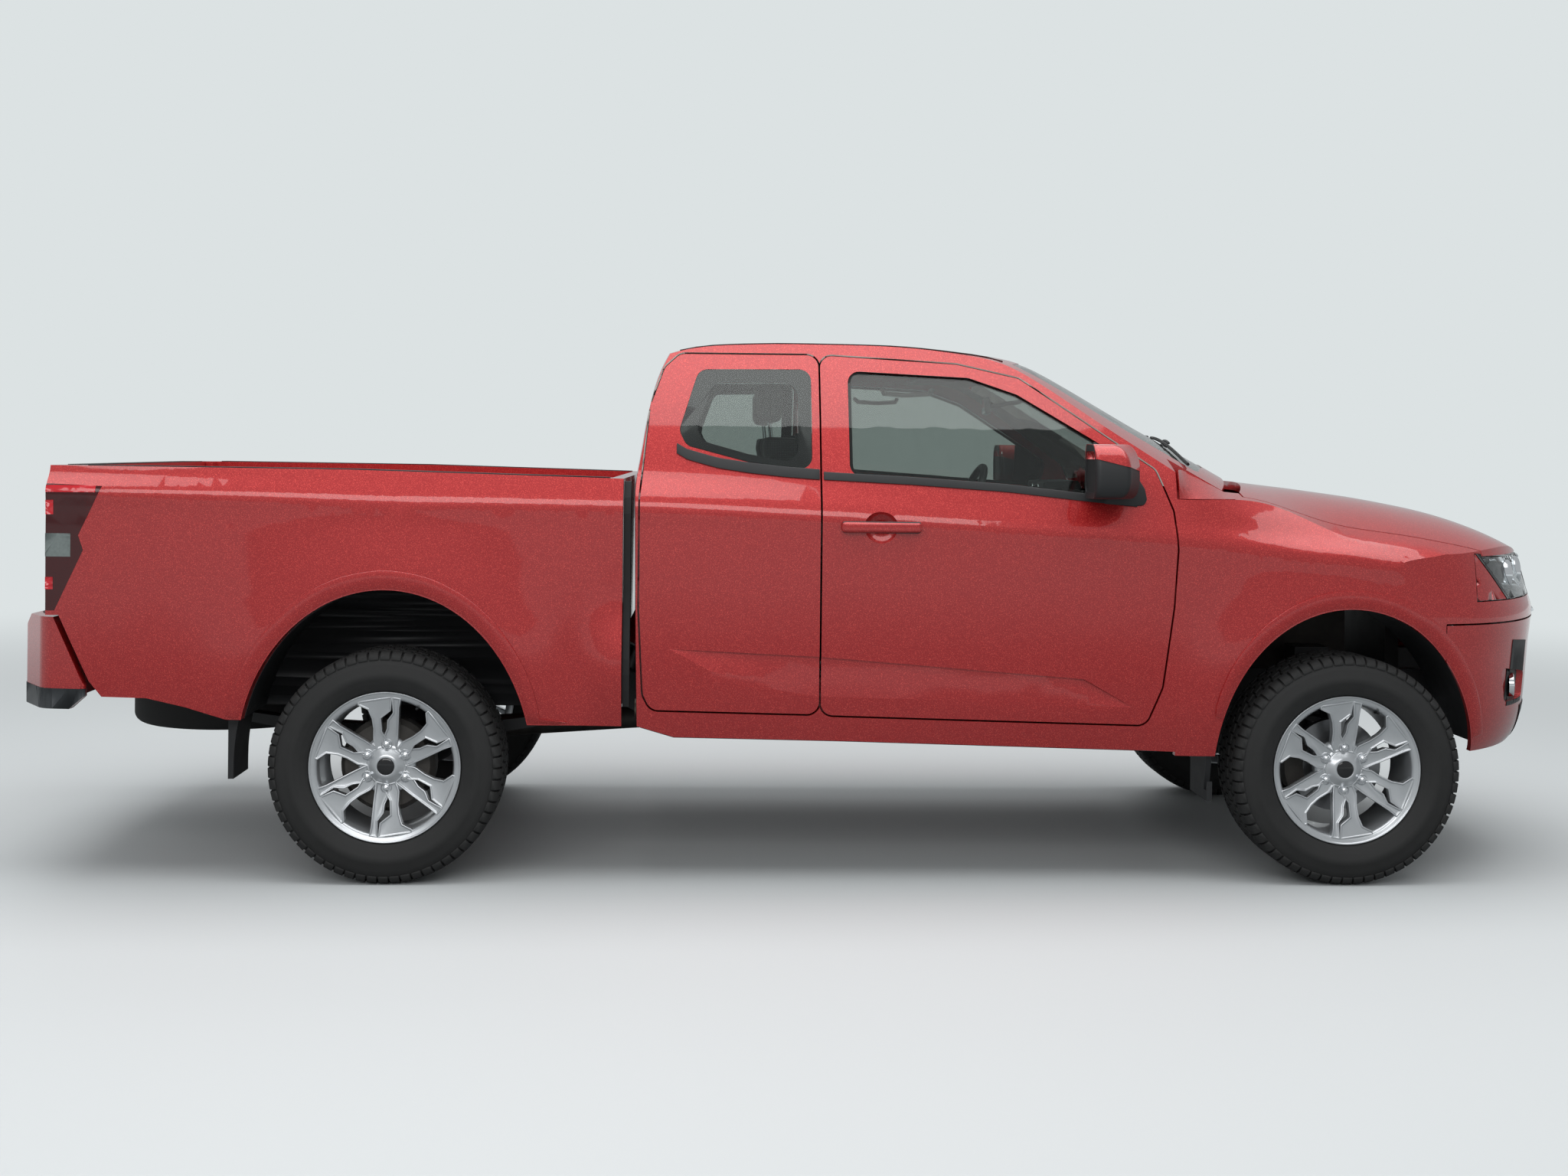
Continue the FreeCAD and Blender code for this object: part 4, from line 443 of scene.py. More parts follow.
def rounded_outline(points: Sequence[tuple[float, float]], radius: float,
                    steps: int = 4) -> list[tuple[float, float]]:
    """Rounds the corners of a flat outline.

    Args:
        points: The corners.
        radius: The corner radius.
        steps: Pieces of each round.

    Returns:
        The outline with its round corners.
    """
    result = []
    count = len(points)
    for index, corner in enumerate(points):
        here = Vector(corner)
        back = Vector(points[index - 1]) - here
        ahead = Vector(points[(index + 1) % count]) - here
        room = min(back.length, ahead.length) * 0.45
        half = back.angle(ahead) / 2
        reach = min(radius / math.tan(half), room) if half < 1.55 else 0
        if reach <= 1e-6:
            result.append((here.x, here.y))
            continue
        start = here + back.normalized() * reach
        end = here + ahead.normalized() * reach
        for step in range(steps + 1):
            t = step / steps
            place = start * (1 - t) ** 2 + here * 2 * t * (1 - t) + end * t ** 2
            result.append((place.x, place.y))
    return result


def inset_outline(points: Sequence[tuple[float, float]],
                  margin: float) -> list[tuple[float, float]]:
    """Moves a flat outline inwards.

    Args:
        points: The outline.
        margin: How far it moves in; a negative margin moves it out.

    Returns:
        The moved outline, with as many points.
    """
    area = sum(a[0] * b[1] - b[0] * a[1] for a, b in zip(points, list(points[1:]) + [points[0]]))
    turn = 1 if area > 0 else -1
    count = len(points)
    result = []
    for index, corner in enumerate(points):
        here = Vector(corner)
        first = here - Vector(points[index - 1])
        second = Vector(points[(index + 1) % count]) - here
        if first.length < 1e-7 or second.length < 1e-7:
            result.append(tuple(here))
            continue
        first.normalize()
        second.normalize()
        inward = Vector((-first.y, first.x)) * turn + Vector((-second.y, second.x)) * turn
        scale = max(inward.length_squared / 2, 0.35)
        result.append(tuple(here + inward * (margin / scale)))
    return result


# ---- finishes ----


def linear(code: str) -> tuple[float, float, float, float]:
    """Turns a colour written as sRGB hex into the linear value that a shader takes.

    Args:
        code: Six hex digits.

    Returns:
        Linear red, green and blue, and 1.
    """
    channels = [int(code[i:i + 2], 16) / 255 for i in (0, 2, 4)]
    values = [c / 12.92 if c <= 0.04045 else ((c + 0.055) / 1.055) ** 2.4 for c in channels]
    return (values[0], values[1], values[2], 1.0)


def add_node(tree: bpy.types.NodeTree, kind: str, settings: dict | None = None,
             links: dict | None = None) -> bpy.types.Node:
    """Adds a shader node with its settings and the links into it.

    Args:
        tree: The node tree.
        kind: The node's type.
        settings: Properties, or values of named or numbered sockets where the key is ("in", x).
        links: For each input socket, the (node, output) that feeds it.

    Returns:
        The new node.
    """
    node = tree.nodes.new(kind)
    for key, value in (settings or {}).items():
        if isinstance(key, tuple):
            node.inputs[key[1]].default_value = value
        else:
            setattr(node, key, value)
    for socket, (source, output) in (links or {}).items():
        tree.links.new(source.outputs[output], node.inputs[socket])
    return node


def set_ramp(node: bpy.types.Node, stops: Sequence[tuple[float, tuple]]) -> bpy.types.Node:
    """Sets the stops of a colour ramp.

    Args:
        node: The ramp node.
        stops: Places and colours.

    Returns:
        The same node.
    """
    elements = node.color_ramp.elements
    while len(elements) < len(stops):
        elements.new(0.5)
    for element, (place, colour) in zip(elements, stops):
        element.position = place
        element.color = colour
    return node


def per_mm(size_mm: float) -> float:
    """Scale of a noise or cell texture whose features are a given size.

    Args:
        size_mm: Feature size in millimetres.

    Returns:
        The texture's scale on object coordinates in metres.
    """
    return 1000.0 / size_mm


@dataclass(frozen=True)
class Finish:
    """A surface finish: what the real material is and how its surface was made.

    Attributes:
        name: The material's name.
        slot: The record's material slot; not used.
        colour: Base colour as sRGB hex.
        roughness: Roughness of the surface.
        metallic: 1 for bare metal, 0 for the rest.
        coat: Weight of a clear coat.
        ior: Index of refraction of anything but metal.
        grain_mm: Size of the surface's grain in millimetres.
        grain_height_mm: Height of the grain, drawn as coarse as it needs to show.
        mottle: How much the colour varies over the surface.
        mottle_mm: Size of the colour's patches in millimetres.
        wear: How much roughness varies over the surface.
    """

    name: str
    slot: str
    colour: str
    roughness: float = 0.5
    metallic: float = 0.0
    coat: float = 0.0
    ior: float = 1.5
    grain_mm: float = 1.0
    grain_height_mm: float = 0.0
    mottle: float = 0.06
    mottle_mm: float = 60.0
    wear: float = 0.08

    def material(self) -> bpy.types.Material:
        """The finish's material, made once.

        Returns:
            The material.
        """
        known = bpy.data.materials.get(self.name)
        if known:
            return known
        made = bpy.data.materials.new(self.name)
        made.use_nodes = True
        tree = made.node_tree
        tree.nodes.clear()
        shader = add_node(tree, "ShaderNodeBsdfPrincipled", {
            ("in", "Metallic"): self.metallic, ("in", "IOR"): self.ior,
            ("in", "Coat Weight"): self.coat, ("in", "Coat Roughness"): 0.04})
        add_node(tree, "ShaderNodeOutputMaterial", links={"Surface": (shader, 0)})
        made.diffuse_color = linear(self.colour)
        self.dress(tree, shader)
        return made

    def dress(self, tree: bpy.types.NodeTree, shader: bpy.types.Node) -> None:
        """Adds the colour's mottling, the roughness' wear and the grain to the shader.

        Args:
            tree: The material's node tree.
            shader: Its shader node.
        """
        place = add_node(tree, "ShaderNodeTexCoord")
        patches = add_node(tree, "ShaderNodeTexNoise",
                           {("in", "Scale"): per_mm(self.mottle_mm), ("in", "Detail"): 4.0},
                           {"Vector": (place, "Object")})
        base = linear(self.colour)
        dark = tuple(c * (1 - self.mottle) for c in base[:3]) + (1.0,)
        light = tuple(min(c * (1 + self.mottle), 1.0) for c in base[:3]) + (1.0,)
        ramp = set_ramp(add_node(tree, "ShaderNodeValToRGB", links={"Fac": (patches, "Fac")}),
                        ((0.3, dark), (0.7, light)))
        tree.links.new(ramp.outputs[0], shader.inputs["Base Color"])
        rough = add_node(tree, "ShaderNodeMapRange", {
            ("in", "To Min"): max(self.roughness - self.wear, 0.02),
            ("in", "To Max"): min(self.roughness + self.wear, 1.0)},
            {"Value": (patches, "Fac")})
        tree.links.new(rough.outputs[0], shader.inputs["Roughness"])
        if self.grain_height_mm > 0:
            grain = add_node(tree, "ShaderNodeTexNoise", {
                ("in", "Scale"): per_mm(self.grain_mm), ("in", "Detail"): 2.0},
                {"Vector": (place, "Object")})
            bump = add_node(tree, "ShaderNodeBump", {
                ("in", "Strength"): 0.6, ("in", "Distance"): self.grain_height_mm * MM},
                {"Height": (grain, "Fac")})
            tree.links.new(bump.outputs[0], shader.inputs["Normal"])


@dataclass(frozen=True)
class MetallicPaint(Finish):
    """Sprayed body paint with aluminium flakes under a clear coat.

    Attributes:
        flake_mm: Size of the flakes, drawn coarser than real ones so that they show.
        flake_glint_colour: Colour of the lightest flakes, a painted glint laid on flakes picked
            at random.
    """

    flake_mm: float = 1.6
    flake_glint_colour: str = "D8443C"

    def dress(self, tree: bpy.types.NodeTree, shader: bpy.types.Node) -> None:
        """Adds flakes whose lighter colour is a painted glint, and the faint unevenness of a
        sprayed coat.

        Args:
            tree: The material's node tree.
            shader: Its shader node.
        """
        place = add_node(tree, "ShaderNodeTexCoord")
        flakes = add_node(tree, "ShaderNodeTexVoronoi", {("in", "Scale"): per_mm(self.flake_mm)},
                          {"Vector": (place, "Object")})
        sparkle = add_node(tree, "ShaderNodeSeparateColor", links={"Color": (flakes, "Color")})
        base = linear(self.colour)
        # Painted glint: the lightest flakes, picked at random, take a lighter red in their base
        # colour
        painted_glint = linear(self.flake_glint_colour)
        ramp = set_ramp(add_node(tree, "ShaderNodeValToRGB", links={"Fac": (sparkle, 0)}), (
            (0.0, tuple(c * 0.90 for c in base[:3]) + (1.0,)), (0.75, base), (1.0, painted_glint)))
        tree.links.new(ramp.outputs[0], shader.inputs["Base Color"])
        rough = add_node(tree, "ShaderNodeMapRange", {
            ("in", "To Min"): self.roughness - self.wear,
            ("in", "To Max"): self.roughness + self.wear}, {"Value": (sparkle, 1)})
        tree.links.new(rough.outputs[0], shader.inputs["Roughness"])
        spray = add_node(tree, "ShaderNodeTexNoise", {
            ("in", "Scale"): per_mm(self.grain_mm), ("in", "Detail"): 1.0},
            {"Vector": (place, "Object")})
        bump = add_node(tree, "ShaderNodeBump", {
            ("in", "Strength"): 0.15, ("in", "Distance"): self.grain_height_mm * MM},
            {"Height": (spray, "Fac")})
        tree.links.new(bump.outputs[0], shader.inputs["Coat Normal"])


@dataclass(frozen=True)
class ClearSheet(Finish):
    """Glass or clear plastic that light passes through.

    Attributes:
        clearness: Share of the light that passes.
    """

    clearness: float = 1.0

    def dress(self, tree: bpy.types.NodeTree, shader: bpy.types.Node) -> None:
        """Lets light through, with a trace of dust in the roughness.

        Args:
            tree: The material's node tree.
            shader: Its shader node.
        """
        shader.inputs["Transmission Weight"].default_value = self.clearness
        shader.inputs["Base Color"].default_value = linear(self.colour)
        place = add_node(tree, "ShaderNodeTexCoord")
        dust = add_node(tree, "ShaderNodeTexNoise",
                        {("in", "Scale"): per_mm(self.mottle_mm), ("in", "Detail"): 5.0},
                        {"Vector": (place, "Object")})
        rough = add_node(tree, "ShaderNodeMapRange", {
            ("in", "From Min"): 0.45, ("in", "From Max"): 0.8,
            ("in", "To Min"): self.roughness, ("in", "To Max"): self.roughness + self.wear},
            {"Value": (dust, "Fac")})
        tree.links.new(rough.outputs[0], shader.inputs["Roughness"])


@dataclass(frozen=True)
class WovenCloth(Finish):
    """Woven seat cloth: crossed threads over foam.

    Attributes:
        thread_mm: Spacing of the threads, drawn coarse enough to show.
        thread_colour: Colour of the raised threads.
    """

    thread_mm: float = 3.0
    thread_colour: str = "4A4B4E"

    def dress(self, tree: bpy.types.NodeTree, shader: bpy.types.Node) -> None:
        """Adds crossed threads in colour and height, and the sheen of fibre.

        Args:
            tree: The material's node tree.
            shader: Its shader node.
        """
        shader.inputs["Sheen Weight"].default_value = 0.35
        shader.inputs["Sheen Roughness"].default_value = 0.5
        place = add_node(tree, "ShaderNodeTexCoord")
        scale = per_mm(self.thread_mm) / 6.283
        waves = []
        for direction in ("X", "Y", "Z"):
            waves.append(add_node(tree, "ShaderNodeTexWave", {
                "bands_direction": direction, ("in", "Scale"): scale,
                ("in", "Distortion"): 0.4, ("in", "Detail"): 1.0},
                {"Vector": (place, "Object")}))
        first = add_node(tree, "ShaderNodeMath", {"operation": "MULTIPLY"},
                         {0: (waves[0], "Fac"), 1: (waves[1], "Fac")})
        weave = add_node(tree, "ShaderNodeMath", {"operation": "ADD"},
                         {0: (first, 0), 1: (waves[2], "Fac")})
        half = add_node(tree, "ShaderNodeMath", {"operation": "MULTIPLY", ("in", 1): 0.5},
                        {0: (weave, 0)})
        ramp = set_ramp(add_node(tree, "ShaderNodeValToRGB", links={"Fac": (half, 0)}),
                        ((0.2, linear(self.colour)), (0.9, linear(self.thread_colour))))
        tree.links.new(ramp.outputs[0], shader.inputs["Base Color"])
        shader.inputs["Roughness"].default_value = self.roughness
        bump = add_node(tree, "ShaderNodeBump", {
            ("in", "Strength"): 0.5, ("in", "Distance"): self.grain_height_mm * MM},
            {"Height": (half, 0)})
        tree.links.new(bump.outputs[0], shader.inputs["Normal"])


# Body paint: red mica over primer, sprayed and clear-coated, glossy with a soft glow; its
# lightest flakes carry a painted glint
RED_PAINT = MetallicPaint("red mica paint", "red_paint", "A60D12", roughness=0.40, metallic=0.40,
                          coat=1.0, grain_mm=9.0, grain_height_mm=0.05, wear=0.05)
# Chassis paint: satin black dip, slightly dusty
CHASSIS_PAINT = Finish("satin chassis paint", "chassis_black", "17181A", roughness=0.5,
                       grain_mm=3.0, grain_height_mm=0.2, mottle=0.25, mottle_mm=90)
# Cast iron as it leaves the sand mould, brownish grey and rough
RAW_IRON = Finish("sand cast iron", "raw_iron", "4B4845", roughness=0.62, metallic=0.7,
                  grain_mm=1.5, grain_height_mm=0.35, mottle=0.2)
# Wheel lacquer: silver flakes in clear lacquer over cast aluminium
WHEEL_SILVER = Finish("silver wheel lacquer", "alloy", "C3C6C9", roughness=0.30, metallic=0.75,
                      coat=0.5, mottle=0.03, wear=0.03)
# Tyre rubber: moulded, matt, slightly brown from dust
TYRE_RUBBER = Finish("moulded tyre rubber", "rubber", "232323", roughness=0.78, grain_mm=2.0,
                     grain_height_mm=0.15, mottle=0.15, mottle_mm=40)
# Polypropylene moulded in a grained tool
BLACK_PLASTIC = Finish("grained black polypropylene", "black_plastic", "1B1C1E", roughness=0.55,
                       grain_mm=1.2, grain_height_mm=0.12, mottle=0.08)
# Gloss ABS, moulded in a polished tool
GLOSS_BLACK = Finish("polished black ABS", "black_plastic", "0D0E10", roughness=0.12, coat=0.4,
                     mottle=0.03, wear=0.03)
# Rubber extrusion round the glass
SEAL_RUBBER = Finish("extruded seal rubber", "black_plastic", "121314", roughness=0.7,
                     mottle=0.05)
# Dashboard skin: soft PVC with a leather-like grain
DASH_SKIN = Finish("grained dashboard skin", "trim_plastic", "2E2F31", roughness=0.6,
                   grain_mm=2.2, grain_height_mm=0.2)
# Pale moulded trim of pillars and headlining
PALE_TRIM = Finish("pale moulded trim", "trim_plastic", "8F8C86", roughness=0.7, grain_mm=2.0,
                   grain_height_mm=0.12)
# Seat cloth, charcoal weave over foam
SEAT_CLOTH = WovenCloth("charcoal seat weave", "seat_cloth", "26272A", roughness=0.85,
                        grain_height_mm=0.4)
# Toughened window glass with a faint grey-green tint
WINDOW_GLASS = ClearSheet("tinted window glass", "glass", "AEB6B2", roughness=0.0, ior=1.45,
                          wear=0.03, mottle_mm=120)
# Polycarbonate lamp lens, clear
LAMP_LENS = ClearSheet("clear polycarbonate lens", "headlamp_lens", "F1F4F5", roughness=0.02,
                       ior=1.45, wear=0.02)
# Acrylic tail lamp lens, deep red
TAIL_LENS = ClearSheet("deep red acrylic lens", "tail_lens", "5A0A10", roughness=0.05,
                       ior=1.49, wear=0.02, clearness=0.55)
# Vacuum-coated reflector
REFLECTOR = Finish("vacuum-coated reflector", "headlamp_lens", "D9DBDD", roughness=0.08,
                   metallic=1.0, mottle=0.02, wear=0.02)
# Chrome plate on ABS
CHROME = Finish("chrome plate", "steel", "E3E5E8", roughness=0.07, metallic=1.0, mottle=0.01,
                wear=0.02)
# Ground brake steel
BRAKE_STEEL = Finish("ground brake steel", "steel", "8B8C8E", roughness=0.35, metallic=1.0,
                     mottle=0.08)
# Stainless exhaust, heat-browned
EXHAUST_STEEL = Finish("heat-browned stainless steel", "steel", "7D7468", roughness=0.4,
                       metallic=1.0, mottle=0.25, mottle_mm=70)

PLATE_WHITE = Finish("blank reflective plate sheet", "trim_plastic", "E6E7E3", roughness=0.35,
                     mottle=0.01, mottle_mm=90.0, wear=0.04)
STEP_GREY = Finish("satin step coating", "black_plastic", "3A3D40", roughness=0.45,
                   metallic=0.3, grain_mm=3.0, grain_height_mm=0.3)
REVERSE_LENS = Finish("smoked clear lens", "headlamp_lens", "6E7775", roughness=0.16, coat=0.5,
                      mottle=0.10, mottle_mm=9.0, wear=0.04)
SIGNAL_RED = Finish("bright red acrylic", "tail_lens", "C40D1E", roughness=0.10, coat=0.6,
                    mottle=0.04, mottle_mm=12.0, wear=0.03)

PIPING = Finish("grey seat piping", "seat_cloth", "6A6C70", roughness=0.8, mottle_mm=8.0)
CARPET = WovenCloth("looped carpet", "seat_cloth", "1E1F21", roughness=0.95,
                    grain_height_mm=1.2, thread_mm=5.0, thread_colour="343538")


def dressed(obj: bpy.types.Object, finish: Finish, body: str) -> bpy.types.Object:
    """Gives a finished piece its material and the body that carries it.

    Args:
        obj: The piece, in place.
        finish: Its finish.
        body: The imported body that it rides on.

    Returns:
        The same piece.
    """
    settle(obj)
    obj.data.materials.clear()
    obj.data.materials.append(finish.material())
    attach(obj, body)
    log.info("%s: %d faces on %s", obj.name, len(obj.data.polygons), body)
    return obj


def refinish(node: str, finish: Finish) -> None:
    """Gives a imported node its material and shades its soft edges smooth.

    Args:
        node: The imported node.
        finish: Its finish.
    """
    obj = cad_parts[node]
    obj.data.materials.clear()
    obj.data.materials.append(finish.material())
    weld = obj.modifiers.new("Weld", "WELD")
    weld.merge_threshold = 1e-6
    for polygon in obj.data.polygons:
        polygon.use_smooth = True
    split = obj.modifiers.new("Split", "EDGE_SPLIT")
    split.split_angle = math.radians(25)


# ---- wheels ----


@dataclass
class Tyre:
    """A radial tyre: carcass, shoulder lugs and rows of tread blocks, at the right rear wheel.

    Attributes:
        outer: Radius over the tread.
        groove: Depth of the tread grooves.
        pitches: Tread pitches round the tyre.
        lug_length: Length of a block round the tyre.
        section: Outer half of the carcass from bead to crown, as (radius, place from the middle).
        inner: Its inner half, from crown to bead.
    """

    outer: float = 0.375
    groove: float = 0.009
    pitches: int = 62
    lug_length: float = 0.030
    section: tuple = ((0.2425, 0.0980), (0.2490, 0.1085), (0.2580, 0.1155), (0.2700, 0.1205),
                      (0.2720, 0.1220), (0.2860, 0.1255), (0.2885, 0.1270), (0.3060, 0.1275),
                      (0.3085, 0.1262), (0.3300, 0.1236), (0.3330, 0.1222), (0.3480, 0.1165),
                      (0.3590, 0.1060), (0.3655, 0.0900), (0.3660, 0.0400), (0.3662, 0.0))
    inner: tuple = ((0.3500, 0.0), (0.3450, 0.0850), (0.3250, 0.1080), (0.2900, 0.1130),
                    (0.2550, 0.0980), (0.2430, 0.0860))
    centre: Point = (REAR_AXLE_X, -HALF_TRACK, AXLE_Z)

    def carcass(self) -> bpy.types.Object:
        """Turns the carcass.

        Returns:
            The carcass.
        """
        crown = [(r, t) for r, t in self.section]
        far = [(r, -t) for r, t in reversed(self.section[:-1])]
        far_inner = [(r, -t) for r, t in reversed(self.inner[1:])]
        near_inner = [(r, t) for r, t in self.inner]
        profile = crown + far + far_inner + near_inner
        return lathe("carcass", profile, self.centre, (0, -1, 0), steps=96, closed=True)

    def row(self, name: str, outline: Sequence[tuple[float, float]], length: float,
            slant: float, offset: float, bevel: float) -> bpy.types.Object:
        """Makes one block of tread and repeats it round the tyre.

        Args:
            name: The row's name.
            outline: Section of the block as (place from the middle, radius).
            length: Its length round the tyre.
            slant: How far its far end lies to the side.
            offset: Angle of the row's first block, in pitches.
            bevel: Width of the bevel of its edges.

        Returns:
            The row of blocks.
        """
        cx, cy, cz = self.centre
        section = [(cx - length / 2, cy - t, cz + r) for t, r in outline]
        block = slab(name, section, (length, 0, 0))
        edit(block)
        pick_points(block, lambda p: p.x > cx)
        bpy.ops.transform.translate(value=(0, -slant, 0))
        leave_edit()
        rounded(block, bevel, 1)
        pitch = 2 * math.pi / self.pitches
        edit(block)
        bpy.ops.transform.rotate(value=pitch * offset, orient_axis="Y",
                                 center_override=self.centre)
        bpy.ops.mesh.select_all(action="SELECT")
        bpy.ops.mesh.spin(steps=self.pitches - 1, angle=pitch * (self.pitches - 1), dupli=True,
                          center=self.centre, axis=(0, 1, 0))
        leave_edit()
        return block

    def build(self) -> bpy.types.Object:
        """Makes the whole tyre.

        Returns:
            The tyre, not yet dressed.
        """
        top, floor = self.outer, self.outer - self.groove - 0.006
        shoulder = ((0.0760, floor), (0.0760, top - 0.0004), (0.0960, top - 0.0016),
                    (0.1085, top - 0.0060), (0.1165, top - 0.0140), (0.1205, top - 0.0245),
                    (0.1190, top - 0.0290), (0.1050, top - 0.0250))
        far_shoulder = [(-t, r) for t, r in shoulder]
        rib = ((0.0400, floor), (0.0400, top), (0.0680, top - 0.0003), (0.0680, floor))
        far_rib = [(-t, r) for t, r in rib]
        middle = ((-0.0010, floor), (-0.0010, top), (0.0310, top), (0.0310, floor))
        far_middle = ((-0.0310, floor), (-0.0310, top), (-0.0050, top), (-0.0050, floor))
        rows = [self.carcass(),
                self.row("lugs near", shoulder, self.lug_length, 0.0, 0.0, 0.0012),
                self.row("lugs far", far_shoulder, self.lug_length, 0.0, 0.5, 0.0012),
                self.row("blocks near", rib, 0.0290, 0.0070, 0.35, 0.0008),
                self.row("blocks far", far_rib, 0.0290, 0.0070, 0.85, 0.0008),
                self.row("centre near", middle, 0.0320, -0.0080, 0.10, 0.0008),
                self.row("centre far", far_middle, 0.0320, -0.0080, 0.60, 0.0008)]
        return smooth(join("tyre", rows), 40)


@dataclass
class AlloyWheel:
    """Cast wheel with six pairs of swirled arms, at the right rear; angles run clockwise.

    Attributes:
        hub_level: Place of the hub's face outside the wheel's middle plane.
        rim_level: Place of the arms' outer ends.
        arm_depth: Thickness of the arms.
    """

    hub_level: float = 0.070
    rim_level: float = 0.1005
    arm_depth: float = 0.030
    arms: int = 6
    wide_arm: tuple = ((-31, 60), (-28.0, 92), (-19.0, 128), (-16.6, 160), (-17.2, 192),
                       (-24.0, 217), (-23.0, 229), (5.5, 229), (5.2, 181), (-5.8, 156),
                       (-6.5, 112), (2, 86), (5, 60))
    thin_arm: tuple = ((-9, 60), (-4.5, 100), (0.8, 122), (1.6, 150), (7.4, 176), (5.0, 227),
                       (12.6, 227), (12.9, 196), (18.8, 122), (22.5, 98), (34, 60))
    centre: Point = (REAR_AXLE_X, -HALF_TRACK, AXLE_Z)

    def place(self, angle: float, radius_mm: float, level: float) -> Vector:
        """Finds a place on the wheel.

        Args:
            angle: Angle from the top in degrees, clockwise as seen from outside.
            radius_mm: Distance from the axle in millimetres.
            level: Place outside the middle plane.

        Returns:
            The place in the truck's frame.
        """
        turn = math.radians(angle)
        radius = radius_mm * MM
        return Vector((self.centre[0] + radius * math.sin(turn), self.centre[1] - level,
                       self.centre[2] + radius * math.cos(turn)))

    def dish(self, obj: bpy.types.Object) -> None:
        """Lowers a flat arm towards the hub, band by band.

        Args:
            obj: The arm.
        """
        drop = self.rim_level - self.hub_level
        bands = ((0.0, 0.075, 1.0), (0.075, 0.105, 0.86), (0.105, 0.135, 0.62),
                 (0.135, 0.165, 0.38), (0.165, 0.185, 0.22), (0.185, 0.205, 0.10))
        edit(obj)
        for low, high, share in bands:
            pick_points(obj, lambda p: low <= math.hypot(p.x - self.centre[0],
                                                         p.z - self.centre[2]) < high)
            bpy.ops.transform.translate(value=(0, drop * share, 0))
        leave_edit()

    def arm(self, name: str, outline: Sequence[tuple[float, float]], lift: float,
            recess: float) -> bpy.types.Object:
        """Cuts one arm, with a raised edge round its face.

        Args:
            name: The arm's name.
            outline: Its outline as (angle, radius).
            lift: How far its face stands outside the rim level.
            recess: Depth of its sunk face.

        Returns:
            The arm.
        """
        points = [self.place(a, r, self.rim_level + lift) for a, r in outline]
        obj = slab(name, points, (0, self.arm_depth, 0))
        edit(obj)
        pick_faces(obj, lambda c, n: n.y < -0.9)
        bpy.ops.mesh.inset(thickness=0.0042, depth=0)
        bpy.ops.mesh.inset(thickness=0.0022, depth=-recess)
        leave_edit()
        self.dish(obj)
        return obj

    def nut(self) -> list[bpy.types.Object]:
        """Makes the top wheel nut: seat, hexagon and domed end.

        Returns:
            The nut's parts.
        """
        base = self.place(0, 69.85, self.hub_level)
        seat = lathe("nut seat", ((0.0130, -0.006), (0.0185, -0.004), (0.0190, 0.0005),
                                  (0.0172, 0.0020), (0.0155, 0.0006), (0.0140, -0.005)),
                     base, (0, -1, 0), 24, closed=True)
        deselect()
        bpy.ops.mesh.primitive_cylinder_add(vertices=6, radius=0.0112, depth=0.018,
                                            location=base + Vector((0, -0.004, 0)),
                                            rotation=(math.pi / 2, 0, 0))
        hexagon = rounded(settle(named("nut hexagon")), 0.0012, 2)
        dome = lathe("nut dome", ((0.0, 0.0165), (0.0045, 0.0160), (0.0080, 0.0138),
                                  (0.0092, 0.0110), (0.0092, 0.0)), base, (0, -1, 0), 20)
        return [seat, hexagon, dome]

    def around(self, obj: bpy.types.Object) -> None:
        """Repeats a part for every arm.

        Args:
            obj: The part at the top of the wheel.
        """
        edit(obj)
        step = 2 * math.pi / self.arms
        bpy.ops.mesh.spin(steps=self.arms - 1, angle=step * (self.arms - 1), dupli=True,
                          center=self.centre, axis=(0, 1, 0))
        leave_edit()

    def build(self) -> dict[str, bpy.types.Object]:
        """Makes the wheel.

        Returns:
            The cast wheel, its nuts, its wells and its bare centre cap.
        """
        barrel = lathe("barrel", (
            (0.2430, 0.0990), (0.2436, 0.1050), (0.2415, 0.1072), (0.2385, 0.1060),
            (0.2365, 0.1030), (0.2290, 0.1012), (0.2230, 0.0985), (0.2175, 0.0900),
            (0.2130, 0.0600), (0.2080, 0.0), (0.2100, -0.0800), (0.2250, -0.0980),
            (0.2380, -0.1060), (0.2430, -0.1068), (0.2430, -0.0990), (0.2290, -0.0930),
            (0.2200, -0.0600), (0.2170, 0.0), (0.2190, 0.0600), (0.2300, 0.0900)),
            self.centre, (0, -1, 0), 96, closed=True)
        rounded(barrel, 0.0008, 2, 40)
        wide = self.arm("wide arm", self.wide_arm, 0.0, 0.0030)
        thin = self.arm("thin arm", self.thin_arm, 0.0012, 0.0045)
        for arm in (wide, thin):
            rounded(arm, 0.0016, 2, 25)
            self.around(arm)
        hub = lathe("hub", (
            (0.0930, 0.0300), (0.0930, 0.0560), (0.0850, 0.0640), (0.0600, 0.0685),
            (0.0520, 0.0740), (0.0400, 0.0835), (0.0335, 0.0865), (0.0282, 0.0868),
            (0.0268, 0.0835), (0.0268, 0.0300)), self.centre, (0, -1, 0), 72, closed=True)
        rounded(hub, 0.001, 2, 25)
        cast = smooth(join("alloy wheel", [barrel, wide, thin, hub]), 35)
        cap = smooth(lathe("centre cap", (
            (0.0268, 0.0800), (0.0262, 0.0852), (0.0220, 0.0872), (0.0, 0.0880)),
            self.centre, (0, -1, 0), 48), 35)
        seat, hexagon, dome = self.nut()
        for part in (seat, hexagon, dome):
            self.around(part)
        nuts = smooth(join("wheel nuts", [hexagon, dome]), 35)
        wells = smooth(seat, 35)
        wells.name = "nut wells"
        valve = lathe("valve stem", ((0.0, 0.034), (0.0030, 0.033), (0.0042, 0.026),
                                     (0.0042, 0.004), (0.0065, 0.0)),
                      self.place(28, 214, 0.078), (0, -1, 0), 14)
        return {"wheel": cast, "cap": cap, "nuts": nuts, "wells": wells, "valve": valve}


